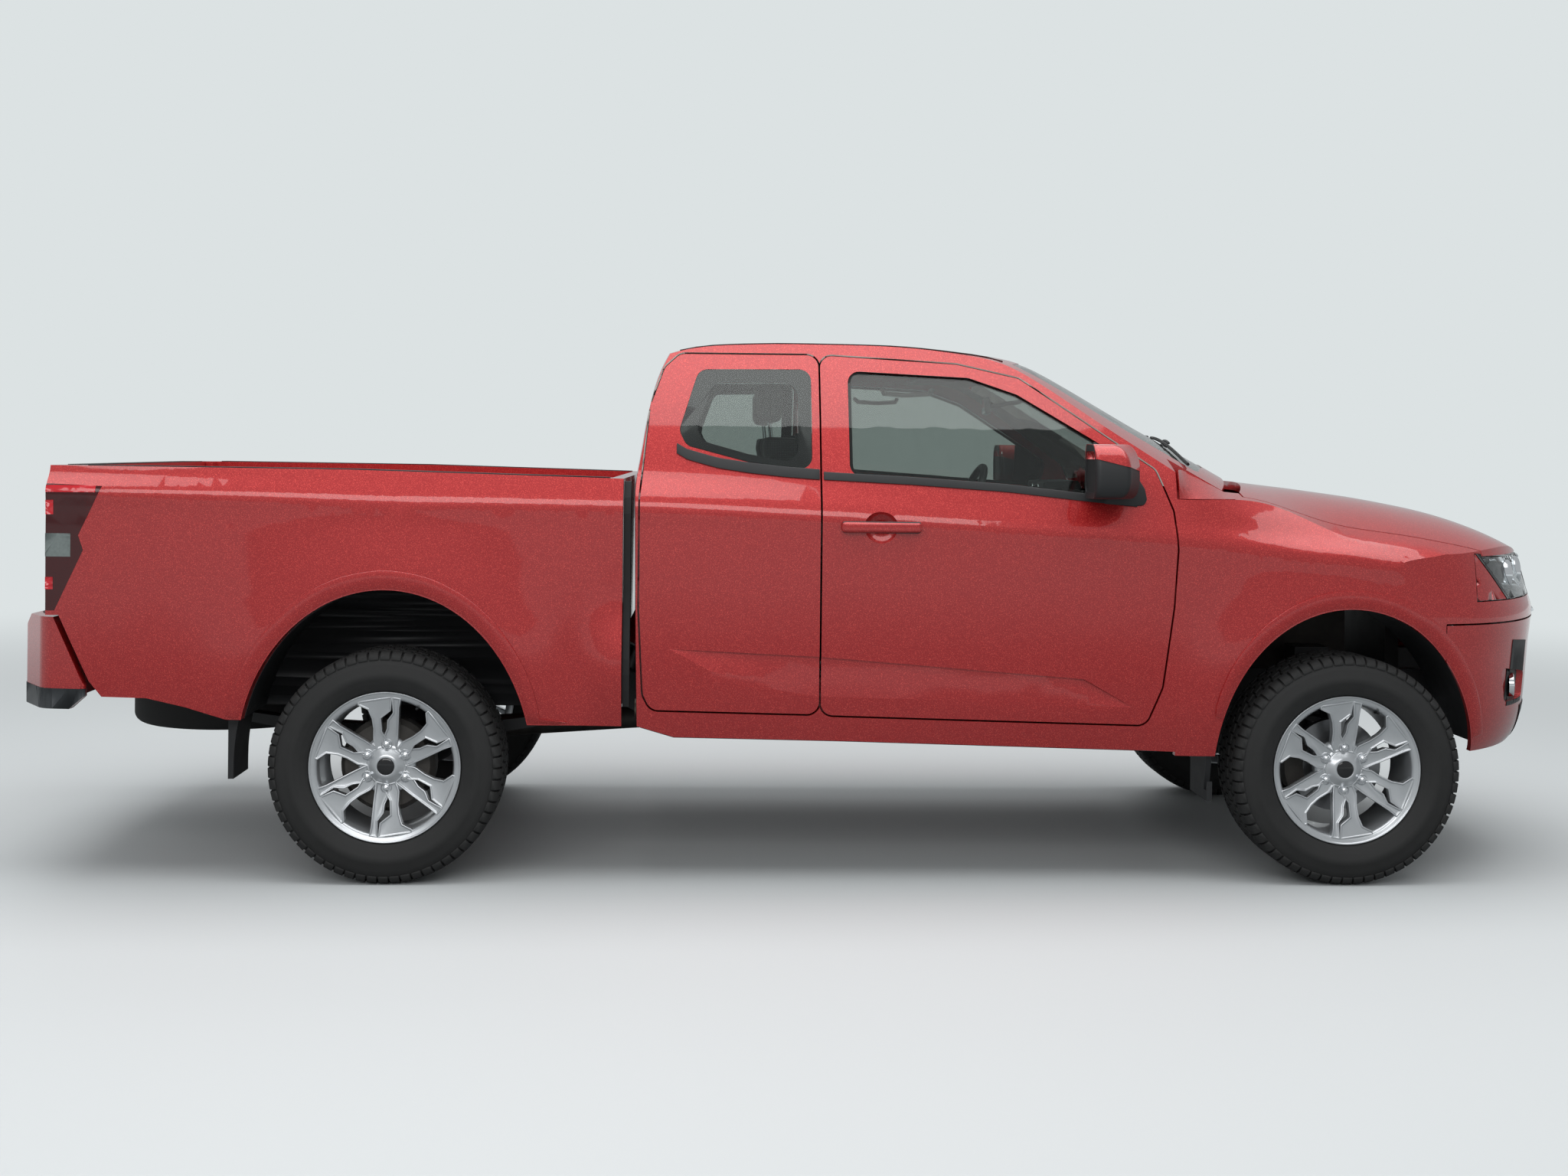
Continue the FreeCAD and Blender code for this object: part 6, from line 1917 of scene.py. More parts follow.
@dataclass
class GrilleTrim:
    """Bright upper and lower lips of the grille.

    Attributes:
        half: Half width of the grille.
        low: Its lower edge.
        high: Its upper edge.
    """

    half: float = 0.434
    low: float = 0.858
    high: float = 1.066

    def build(self) -> None:
        """Makes the lips along the grille's upper and lower edges."""
        spots = [-self.half + self.half * 2 * i / 24 for i in range(25)]
        rows = [ahead_x(["grille"], y, self.high - 0.010, 0.0) for y in spots]
        lows = [ahead_x(["grille"], y, self.low + 0.009, 0.0) for y in spots]
        upper = [(x + 0.0015, y, self.high - 0.010) for x, y in zip(rows, spots)]
        lower = [(x + 0.0015, y, self.low + 0.009) for x, y in zip(lows, spots)]
        for name, path in (("grille_lip_upper", upper), ("grille_lip_lower", lower)):
            lip = tube(name, path, 0.0065, sides=10)
            dressed(smooth(lip), CHROME, "root")


@dataclass
class Wipers:
    """Two wipers that lie at the foot of the windscreen.

    Attributes:
        pivots: Distance of each pivot from the middle.
        reach: Length of each blade.
    """

    pivots: tuple[float, ...] = (0.50, -0.10)
    reach: float = 0.54

    def on_screen(self, x: float, y: float, lift: float) -> Vector:
        """Lays a place on the windscreen or the cowl.

        Args:
            x: Place along the truck.
            y: Place across it.
            lift: Distance above the surface.

        Returns:
            The place.
        """
        return Vector((x, y, top_z(["cab_glass", "cab_shell"], x, y, 1.25) + lift))

    def wiper(self, index: int, pivot: float) -> None:
        """Makes one wiper.

        Args:
            index: Its number.
            pivot: Distance of its pivot from the middle.
        """
        foot_x = 1.300
        hub = self.on_screen(foot_x, pivot, 0.0)
        cap = lathe(f"wiper_hub_{index}", (
            (0.0, 0.030), (0.010, 0.029), (0.013, 0.024), (0.014, 0.0), (0.017, -0.006),
            (0.0, -0.006)), tuple(hub), (0.45, 0, 0.9), 28)
        dressed(smooth(cap), BLACK_PLASTIC, "root")
        tip_y = pivot - self.reach * 0.55
        arm = [hub + Vector((0, 0, 0.026))]
        for share in (0.25, 0.5, 0.75, 1.0):
            y = pivot + (tip_y - pivot) * share
            arm.append(self.on_screen(foot_x - 0.050 * share, y, 0.026 - 0.004 * share))
        dressed(smooth(tube(f"wiper_arm_{index}", arm, 0.0042, sides=8)), BLACK_PLASTIC, "root")
        blade = []
        for step in range(13):
            share = step / 12
            y = tip_y + self.reach * (0.5 - share)
            blade.append(self.on_screen(foot_x - 0.050 - 0.012 * math.sin(share * math.pi), y,
                                        0.011))
        dressed(smooth(tube(f"wiper_blade_{index}", blade, 0.0058, sides=8)), SEAL_RUBBER,
                "root")

    def build(self) -> None:
        """Makes both wipers."""
        for index, pivot in enumerate(self.pivots):
            self.wiper(index + 1, pivot)


# ---- load bed, rear end and body sides ----


def side_box(side: Side, near: float, far: float) -> tuple[Plane, Plane]:
    """Two cuts that leave a band across the truck.

    Args:
        side: Side of the truck.
        near: Distance from the middle at which the band begins.
        far: Distance at which it ends.

    Returns:
        The two planes.
    """
    s = side.value
    return ((0, s * near, 0), (0, -s, 0)), ((0, s * far, 0), (0, s, 0))


def level_box(low: float, high: float) -> tuple[Plane, Plane]:
    """Two cuts that leave a band between two levels.

    Args:
        low: Lower level.
        high: Upper level.

    Returns:
        The two planes.
    """
    return ((0, 0, low), (0, 0, -1)), ((0, 0, high), (0, 0, 1))


def length_box(rear: float, front: float) -> tuple[Plane, Plane]:
    """Two cuts that leave a band along the truck.

    Args:
        rear: Place of its rear end.
        front: Place of its front end.

    Returns:
        The two planes.
    """
    return ((rear, 0, 0), (-1, 0, 0)), ((front, 0, 0), (1, 0, 0))


@dataclass
class ArchTrim:
    """Black liners in the rear wheelhouses.

    Attributes:
        reach: Half length of the rear arch.
    """

    reach: float = 0.60

    def liner(self, side: Side) -> None:
        """Makes the liner of one rear wheelhouse.

        Args:
            side: Side of the truck.
        """
        s = side.value

        def inside(centre: Vector, normal: Vector) -> bool:
            out = Vector((centre.x - REAR_AXLE_X, 0, centre.z - AXLE_Z))
            if out.length > self.reach or centre.y * s < 0.50 or centre.z < 0.30:
                return False
            wall = normal.y * s > 0.7 and centre.y * s < 0.72
            bow = abs(normal.y) < 0.5 and normal.dot(out.normalized()) < -0.5
            return wall or bow

        shell = patch(f"wheelhouse_liner_{side.word}", "load_bed", inside,
                      side_box(side, 0.50, 0.868), 0.0025, 1)
        dressed(shell, BLACK_PLASTIC, "root")

    def build(self) -> None:
        """Makes the liners."""
        for side in Side:
            self.liner(side)


@dataclass
class ArchBands:
    """Painted lips round the four wheel arches, leaning inwards towards the wheel.

    Attributes:
        width: Width of a lip at the top of its arch.
        narrow: Width at its ends.
        proud: How far its outer edge stands out.
        arches: For each arch its word, nodes, wheel centre and first and last angle.
    """

    width: float = 0.062
    narrow: float = 0.030
    proud: float = 0.0075
    arches: tuple = (
        ("rear", ("load_bed",), (-1.3975, 0.375), (4.0, 172.0)),
        ("front", ("front_fenders", "front_bumper", "cab_shell"), (1.7275, 0.375),
         (-8.0, 158.0)))

    def skin(self, nodes: Sequence[str], x: float, z: float, side: Side) -> float | None:
        """Finds the outer skin at a place.

        Args:
            nodes: Nodes that may carry it.
            x: Place along the truck.
            z: Height.
            side: Side of the truck.

        Returns:
            The skin's Y, or None inside the arch.
        """
        hit = cast(nodes, (x, side.value * 1.3, z), (0, -side.value, 0))
        return hit.y if hit is not None and abs(hit.y) > 0.80 else None

    def lip(self, word: str, nodes: Sequence[str], centre: tuple[float, float],
            angles: tuple[float, float], side: Side) -> None:
        """Makes one lip.

        Args:
            word: Front or rear.
            nodes: Nodes round the arch.
            centre: The wheel's centre in side view.
            angles: First and last angle, from the front over the top.
            side: Side of the truck.
        """
        lower, upper = [], []
        for step in range(49):
            share = step / 48
            angle = math.radians(angles[0] + (angles[1] - angles[0]) * share)
            way = (math.cos(angle), math.sin(angle))
            radius = 0.40
            while radius < 0.64 and self.skin(nodes, centre[0] + radius * way[0],
                                              centre[1] + radius * way[1], side) is None:
                radius += 0.002
            if radius >= 0.64:
                continue
            wide = self.narrow + (self.width - self.narrow) * max(0.0, math.sin(
                math.pi * share)) ** 0.6
            pair = []
            for reach, lift in ((radius + 0.003, 0.0012), (radius + wide, self.proud)):
                x, z = centre[0] + reach * way[0], centre[1] + reach * way[1]
                y = self.skin(nodes, x, z, side)
                if y is not None:
                    pair.append(Vector((x, y + side.value * lift, z)))
            if len(pair) == 2:
                lower.append(pair[0])
                upper.append(pair[1])
        band = ribbon(f"arch_lip_{word}_{side.word}", lower, upper, 0.0072)
        dressed(smooth(rounded(band, 0.0022, 2)), RED_PAINT, "root")

    def build(self) -> None:
        """Makes the four lips."""
        for side in Side:
            for word, nodes, centre, angles in self.arches:
                self.lip(word, nodes, centre, angles, side)


@dataclass
class TailLampTrim:
    """Bright elements and the clear waist band of the tail lamps.

    Attributes:
        waist_low: Lower edge of the waist band.
        waist_high: Its upper edge.
    """

    waist_low: float = 1.046
    waist_high: float = 1.120

    def element(self, name: str, low: float, high: float, rear: float, front: float,
                finish: Finish, side: Side, lift: float) -> None:
        """Lays one patch on the lamp.

        Args:
            name: Its name.
            low: Lower edge.
            high: Upper edge.
            rear: Rear end.
            front: Front end.
            finish: Its finish.
            side: Side of the truck.
            lift: Thickness of the patch.
        """
        s = side.value
        planes = (*level_box(low, high), *length_box(rear, front), ((0, s * 0.3, 0), (0, -s, 0)))
        piece = patch(f"{name}_{side.word}", "tail_lamps",
                      lambda c, n: c.y * s > 0.3 and (n.y * s > 0.2 or n.x < -0.2)
                      and abs(n.z) < 0.8, planes, lift)
        dressed(piece, finish, "root")

    def build(self) -> None:
        """Makes the elements of both lamps."""
        low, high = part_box("tail_lamps")
        rear = low[0]
        for side in Side:
            self.element("tail_lamp_waist", self.waist_low, self.waist_high, rear - 0.01,
                         rear + 0.079, REVERSE_LENS, side, 0.0012)
            for word, bottom, top in (("upper", 1.180, 1.226), ("lower", 0.942, 0.981)):
                self.element(f"tail_lamp_{word}", bottom, top, rear - 0.01, rear + 0.024,
                             SIGNAL_RED, side, 0.0010)
            self.element("tail_lamp_cap", 1.251, 1.273, rear - 0.01, high[0] - 0.02,
                         SIGNAL_RED, side, 0.0008)


@dataclass
class RearBumperTrim:
    """Dark lower step, tread pads, blank plate and plate lamps of the rear bumper.

    Attributes:
        split: Level below which the bumper is dark.
        top: Level of its upper face.
        slants: Planes of the two slanted cuts, each a place and an outward normal.
    """

    split: float = 0.626
    top: float = 0.808
    slants: tuple[Plane, ...] = (((-2.632, 0, 0.756), (-0.787, 0, 0.617)),
                                 ((-2.342, 0, 0.604), (0.64, 0, -0.768)))

    def cut_body(self) -> bpy.types.Object:
        """Makes the bumper with its slanted rear top edge and slanted lower corner.

        Returns:
            The painted bumper.
        """
        obj = node_copy("rear_bumper_body", "rear_bumper")
        edit(obj)
        bpy.ops.mesh.remove_doubles(threshold=1e-5)
        for place, normal in self.slants:
            bpy.ops.mesh.select_all(action="SELECT")
            bpy.ops.mesh.bisect(plane_co=place, plane_no=normal, clear_outer=True,
                                use_fill=True)
        bpy.ops.mesh.select_all(action="SELECT")
        bpy.ops.mesh.dissolve_limited(angle_limit=math.radians(0.6))
        solidly_out()
        leave_edit()
        smooth(obj, 28)
        apply_modifier(obj, "WEIGHTED_NORMAL", keep_sharp=True)
        return dressed(obj, RED_PAINT, "root")

    def lower_step(self) -> None:
        """Makes the dark lower part."""
        step = patch("rear_bumper_step", "rear_bumper",
                     lambda c, n: n.x < -0.05 or abs(n.y) > 0.3 or n.z < -0.5,
                     (((0, 0, self.split), (0, 0, 1)), *self.slants), 0.0016)
        dressed(step, STEP_GREY, "root")

    def pads(self) -> None:
        """Makes the ribbed tread pads on the upper face."""
        for word, near, far in (("middle", -0.26, 0.26), ("right", -0.80, -0.34),
                                ("left", 0.34, 0.80)):
            ribs = []
            for index in range(4):
                spots = [near + (far - near) * i / 12 for i in range(13)]
                path = []
                for y in spots:
                    rear = behind_x(["rear_bumper"], y, self.top - 0.03)
                    x = rear + 0.052 + index * 0.017
                    path.append((x, y, top_z(["rear_bumper"], x, y, self.top)))
                if max(p[2] for p in path) - min(p[2] for p in path) > 0.02:
                    continue
                ribs.append(tube("rib", path, 0.0035, sides=8))
            if ribs:
                dressed(smooth(join(f"step_ribs_{word}", ribs)), BLACK_PLASTIC, "root")

    def plate(self) -> None:
        """Makes the blank plate with its two lamps."""
        low, high, half = 0.640, 0.750, 0.255
        face = min(behind_x(["rear_bumper"], y, 0.70) for y in (-0.25, 0.0, 0.25)) - 0.002
        outline = rounded_outline([(-half, low), (half, low), (half, high), (-half, high)],
                                  0.010, 4)
        carrier = slab("rear_plate_carrier", [(face, y * 1.03, 0.695 + (z - 0.695) * 1.08)
                                              for y, z in outline], (0.010, 0, 0))
        dressed(smooth(rounded(carrier, 0.001, 1)), BLACK_PLASTIC, "root")
        sheet = slab("rear_plate", [(face, y, z) for y, z in outline], (-0.0018, 0, 0))
        dressed(smooth(rounded(sheet, 0.0005, 1)), PLATE_WHITE, "root")
        for index, y in enumerate((-0.15, 0.15)):
            hood = slab(f"plate_lamp_{index + 1}",
                        [(face + 0.004, y - 0.024, high + 0.010),
                         (face + 0.004, y + 0.024, high + 0.010),
                         (face - 0.016, y + 0.020, high + 0.014),
                         (face - 0.016, y - 0.020, high + 0.014)], (0, 0, 0.012))
            dressed(smooth(rounded(hood, 0.002, 2)), GLOSS_BLACK, "root")

    def build(self) -> None:
        """Makes the rear bumper's trim."""
        body = self.cut_body()
        self.lower_step()
        self.pads()
        self.plate()
        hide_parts("rear_bumper")


@dataclass
class BedTrim:
    """Black rail strips of painted shade, tie-down loops, tailgate handle and latches of the bed.

    Attributes:
        floor: Level of the floor; not used.
        inner: Half width between the walls.
        front: Front end of the floor; not used.
        rear: Rear end of the floor; not used.
    """

    floor: float = 0.840
    inner: float = 0.765
    front: float = -0.70
    rear: float = -2.43

    def loop(self, index: int, x: float, side: Side) -> None:
        """Makes one tie-down loop with its foot plate.

        Args:
            index: Its number.
            x: Its place.
            side: Side of the truck.
        """
        s = side.value
        z = 1.235
        wall = cast(["load_bed"], (x, 0, z), (0, s, 0))
        y = abs(wall.y) if wall else self.inner
        foot = slab(f"tie_down_foot_{index}_{side.word}",
                    [(px, s * (y + 0.0005), pz) for px, pz in rounded_outline(
                        [(x - 0.026, z - 0.030), (x + 0.026, z - 0.030),
                         (x + 0.026, z + 0.030), (x - 0.026, z + 0.030)], 0.010, 4)],
                    (0, -s * 0.004, 0))
        dressed(smooth(rounded(foot, 0.001, 2)), STEP_GREY, "root")
        ring = [(x + 0.018 * math.cos(a), s * (y - 0.010 - 0.010 * (1 - math.sin(a))),
                 z - 0.006 + 0.020 * math.sin(a))
                for a in [math.radians(d) for d in range(0, 360, 24)]]
        dressed(smooth(tube(f"tie_down_loop_{index}_{side.word}", ring, 0.0042, cyclic=True,
                            sides=10)), BRAKE_STEEL, "root")

    def rail_guard(self, side: Side) -> None:
        """Lays a black strip on the inner part of the side wall's top, painted shade for the dark
        line along the rail's inner edge.

        Args:
            side: Side of the truck.
        """
        s = side.value
        # Painted shade: a black strip where the rail's inner edge falls dark
        guard = patch(f"rail_guard_{side.word}", "load_bed",
                      lambda c, n: n.z > 0.85 and c.z > 1.26 and c.y * s > 0.70,
                      (*side_box(side, 0.772, 0.845), *length_box(-2.36, -0.69)), 0.0025)
        dressed(guard, BLACK_PLASTIC, "root")

    def tailgate(self) -> None:
        """Makes the tailgate's handle, its recess lining and the upper guard."""
        face = behind_x(["tailgate"], 0.0, 1.17)
        outline = rounded_outline([(-0.085, 1.188), (0.085, 1.188), (0.085, 1.250),
                                   (-0.085, 1.250)], 0.016, 4)
        pocket = behind_x(["tailgate"], 0.0, 1.222)
        plate = slab("tailgate_handle_back", [(pocket - 0.0005, y, z) for y, z in outline],
                     (0.002, 0, 0))
        dressed(smooth(rounded(plate, 0.0006, 1)), BLACK_PLASTIC, "tailgate")
        grip = rounded_outline([(-0.072, 1.214), (0.072, 1.214), (0.072, 1.246),
                                (-0.072, 1.246)], 0.010, 4)
        lever = slab("tailgate_handle", [(min(face, pocket) - 0.001, y, z) for y, z in grip],
                     (abs(pocket - face) * 0.6 + 0.006, 0, 0))
        dressed(smooth(rounded(lever, 0.003, 3)), GLOSS_BLACK, "tailgate")
        strip = patch("tailgate_top_guard", "tailgate",
                      lambda c, n: n.z > 0.7 and c.z > 1.30,
                      (((0, 0.66, 0), (0, 1, 0)), ((0, -0.66, 0), (0, -1, 0))), 0.0022)
        dressed(strip, BLACK_PLASTIC, "tailgate")
        lock = lathe("tailgate_lock", ((0.0, 0.0025), (0.008, 0.0022), (0.0105, 0.0005),
                                       (0.0105, -0.003), (0.0, -0.003)),
                     (behind_x(["tailgate"], 0.135, 1.222), 0.135, 1.222), (-1, 0, 0), 28)
        dressed(smooth(lock), CHROME, "tailgate")

    def build(self) -> None:
        """Makes the bed's trim."""
        for side in Side:
            for index, x in enumerate((-0.90, -2.22)):
                self.loop(index + 1, x, side)
            self.rail_guard(side)
        self.tailgate()


@dataclass
class BodyDetails:
    """Sill guards, roof mouldings, filler flap, roof lamp and the lips behind the cab.

    Attributes:
        roof_y: Distance of the roof mouldings from the middle.
        gap_low: Lower end of the lips between cab and bed.
        gap_high: Their upper end.
        fender_top: Level of the fender's upper edge beside the windscreen.
        pillar_foot: Line of the pillar's foot, from the door to the bonnet, on the left.
    """

    roof_y: float = 0.580
    gap_low: float = 0.575
    gap_high: float = 1.300
    fender_top: float = 1.258
    pillar_foot: tuple[Point, ...] = (
        (1.168, 0.857, 1.352), (1.184, 0.812, 1.353), (1.204, 0.762, 1.351),
        (1.230, 0.731, 1.343), (1.260, 0.729, 1.329), (1.300, 0.731, 1.307),
        (1.330, 0.738, 1.290), (1.360, 0.765, 1.272))

    def sill_guard(self, side: Side) -> None:
        """Makes the stone guard along the lower edge of the sill.

        Args:
            side: Side of the truck.
        """
        s = side.value
        guard = patch(f"sill_guard_{side.word}", "cab_shell",
                      lambda c, n: c.y * s > 0.6 and n.z < -0.35 and c.z < 0.56,
                      (*length_box(-0.58, 1.10), ((0, 0, 0.56), (0, 0, 1)),
                       ((0, s * 0.6, 0), (0, -s, 0))), 0.0018)
        dressed(guard, BLACK_PLASTIC, "root")

    def roof_moulding(self, side: Side) -> None:
        """Lays the moulding in the roof seam.

        Args:
            side: Side of the truck.
        """
        y = side.value * self.roof_y
        spots = [(-0.470 + 1.10 * i / 20, y) for i in range(21)]
        path = [(x, y, top_z(["cab_shell"], x, y, 1.75) - 0.0005) for x, y in spots]
        left = [Vector((x, y - 0.009, z)) for x, y, z in path]
        right = [Vector((x, y + 0.009, z)) for x, y, z in path]
        bar = join(f"roof_moulding_{side.word}", [chain("l", left), chain("r", right)])
        edit(bar)
        bpy.ops.mesh.bridge_edge_loops()
        bpy.ops.mesh.select_all(action="SELECT")
        bpy.ops.mesh.extrude_region_move(TRANSFORM_OT_translate={"value": (0, 0, 0.0035)})
        solidly_out()
        leave_edit()
        dressed(smooth(rounded(bar, 0.0015, 2)), BLACK_PLASTIC, "root")

    def filler_flap(self) -> None:
        """Makes the shut line and the lock of the fuel flap on the left bed side."""
        side = Side.LEFT
        outline = rounded_outline([(-0.95, 1.03), (-0.79, 1.03), (-0.79, 1.18), (-0.95, 1.18)],
                                  0.030, 6)
        line = frame_on_skin("filler_flap_line", ["load_bed"], outline, 0.0028, side, 0.0004,
                             0.0030)
        dressed(line, SEAL_RUBBER, "root")
        x, z = -0.80, 1.105
        y = skin_y(["load_bed"], x, z, side)
        pull = lathe("filler_flap_pull", ((0.0, 0.0012), (0.007, 0.0012), (0.0085, 0.0002),
                                          (0.0085, -0.002), (0.0, -0.002)),
                     (x, y, z), (0, 1, 0), 24)
        dressed(smooth(pull), SEAL_RUBBER, "root")

    def cab_gap(self, side: Side) -> None:
        """Makes the dark rubber lip that closes the gap between cab and bed.

        Args:
            side: Side of the truck.
        """
        levels = [self.gap_low + (self.gap_high - self.gap_low) * i / 14 for i in range(15)]
        outer = [(skin_y(["load_bed"], -0.665, z, side) - side.value * 0.016, z)
                 for z in levels]
        inner = [(y - side.value * 0.05, z) for y, z in reversed(outer)]
        lip = slab(f"cab_gap_lip_{side.word}", [(-0.6390, y, z) for y, z in outer + inner],
                   (0.0225, 0, 0))
        dressed(lip, SEAL_RUBBER, "root")

    def cowl_corner(self, side: Side) -> None:
        """Makes the painted panel from the fender's top up to the foot of the pillar.

        Args:
            side: Side of the truck.
        """
        s = side.value
        upper = [Vector((x, s * y, z)) for x, y, z in self.pillar_foot]
        lower = []
        for place in upper:
            y = skin_y(["front_fenders"], place.x, self.fender_top - 0.004, side)
            lower.append(Vector((place.x, y - s * 0.001, self.fender_top)))
        middle = [(a + b) / 2 + Vector((0, s * 0.004, -0.004)) for a, b in zip(upper, lower)]
        panel = join(f"cowl_corner_{side.word}", [chain("low", lower), chain("mid", middle),
                                                  chain("high", upper)])
        edit(panel)
        bpy.ops.mesh.bridge_edge_loops()
        solidly_out()
        leave_edit()
        apply_modifier(panel, "SOLIDIFY", thickness=0.002, offset=0.0)
        dressed(smooth(panel, 40), RED_PAINT, "root")

    def roof_lamp(self) -> None:
        """Makes the third stop lamp above the rear window."""
        z = 1.700
        x = behind_x(["cab_shell"], 0.0, z)
        outline = rounded_outline([(-0.14, z - 0.014), (0.14, z - 0.014), (0.14, z + 0.014),
                                   (-0.14, z + 0.014)], 0.008, 4)
        body = slab("roof_stop_lamp", [(x - 0.010, y, pz) for y, pz in outline],
                    (0.022, 0, 0))
        dressed(smooth(rounded(body, 0.003, 3)), TAIL_LENS, "root")

    def build(self) -> None:
        """Makes the details."""
        for side in Side:
            self.sill_guard(side)
            self.roof_moulding(side)
            self.cab_gap(side)
            self.cowl_corner(side)
        self.filler_flap()
        self.roof_lamp()


# ---- cabin ----


def bar_box(name: str, low: Point, high: Point, round_by: float,
            segments: int = 3) -> bpy.types.Object:
    """Makes a moulded block between two corners, with its edges rounded.

    Args:
        name: The block's name.
        low: Its lowest corner.
        high: Its highest corner.
        round_by: Radius of its edges.
        segments: Pieces of each round.

    Returns:
        The block.
    """
    corners = [(low[0], low[1], low[2]), (high[0], low[1], low[2]),
               (high[0], high[1], low[2]), (low[0], high[1], low[2])]
    return smooth(rounded(slab(name, corners, (0, 0, high[2] - low[2])), round_by, segments))


def stood(obj: bpy.types.Object, place: Point, facing: Point,
          upward: Point = (0, 0, 1)) -> bpy.types.Object:
    """Moves a piece that was modelled flat at the origin to its place.

    Args:
        obj: The piece, modelled about the origin with its front towards +Z and its top
            towards +Y.
        place: Where its origin comes.
        facing: Where its front faces.
        upward: Where its top points, about.

    Returns:
        The piece, settled.
    """
    front = Vector(facing).normalized()
    side = Vector(upward).cross(front).normalized()
    top = front.cross(side)
    turned = Matrix((side, top, front)).transposed().to_4x4()
    obj.matrix_world = Matrix.Translation(Vector(place)) @ turned
    return settle(obj)


@dataclass
class Pad:
    """A foam pad under cloth: a crowned block that swells between its seams.

    Attributes:
        name: The pad's name.
        low: Lowest corner of the space that it fills.
        high: Highest corner.
        lean: How far its top leans back.
        bolster: How far its sides stand above its middle.
        face: Axis along which its padded face looks, as an index and a sign.
        voxel: Size of the remeshed faces.
        cap: How far a point may swell.
    """

    name: str
    low: Point
    high: Point
    lean: float = 0.0
    bolster: float = 0.0
    face: tuple[int, int] = (2, 1)
    voxel: float = 0.009
    cap: float = 0.014

    def shape(self) -> bpy.types.Object:
        """Models the pad before it swells.

        Returns:
            The shape.
        """
        size = Vector(self.high) - Vector(self.low)
        middle = (Vector(self.high) + Vector(self.low)) / 2
        deselect()
        bpy.ops.mesh.primitive_cube_add(size=1.0, location=middle, scale=size - Vector(
            (self.cap, self.cap, self.cap)) * 1.6)
        obj = named(self.name)
        settle(obj)
        edit(obj)
        bpy.ops.mesh.subdivide(number_cuts=7)
        axis, sign = self.face
        front = middle[axis] + sign * size[axis] * 0.30
        pick_points(obj, lambda p: (p[axis] - front) * sign > 0
                    and abs(p.y - middle.y) > size.y * 0.30)
        lift = Vector((0, 0, 0))
        lift[axis] = sign * self.bolster
        bpy.ops.transform.translate(value=lift)
        if self.lean:
            rows = 8
            for row in range(1, rows + 1):
                level = self.low[2] + size.z * (row - 0.5) / rows
                pick_points(obj, lambda p, level=level: p.z > level)
                bpy.ops.transform.translate(value=(-self.lean / rows, 0, 0))
        leave_edit()
        return rounded(obj, min(size) * 0.16, 3, 50)

    def swell(self, obj: bpy.types.Object) -> None:
        """Blows the pad up under its cover by a cloth simulation.

        Args:
            obj: The pad.
        """
        apply_modifier(obj, "REMESH", mode="VOXEL", voxel_size=self.voxel)
        before = [vertex.co.copy() for vertex in obj.data.vertices]
        activate(obj)
        cloth = obj.modifiers.new("cover", "CLOTH")
        cloth.settings.use_pressure = True
        cloth.settings.uniform_pressure_force = 4.0
        cloth.settings.effector_weights.gravity = 0.0
        cloth.settings.quality = 4
        cloth.point_cache.frame_start = 1
        cloth.point_cache.frame_end = 20
        for step in range(1, 21):
            bpy.context.scene.frame_set(step)
        bpy.ops.object.modifier_apply(modifier=cloth.name)
        bpy.context.scene.frame_set(1)
        for vertex, place in zip(obj.data.vertices, before):
            move = vertex.co - place
            if move.length > self.cap:
                vertex.co = place + move * (self.cap / move.length)

    def build(self) -> bpy.types.Object:
        """Makes the pad.

        Returns:
            The pad.
        """
        obj = self.shape()
        self.swell(obj)
        apply_modifier(obj, "SUBSURF", levels=1, render_levels=1)
        for face in obj.data.polygons:
            face.use_smooth = True
        return obj


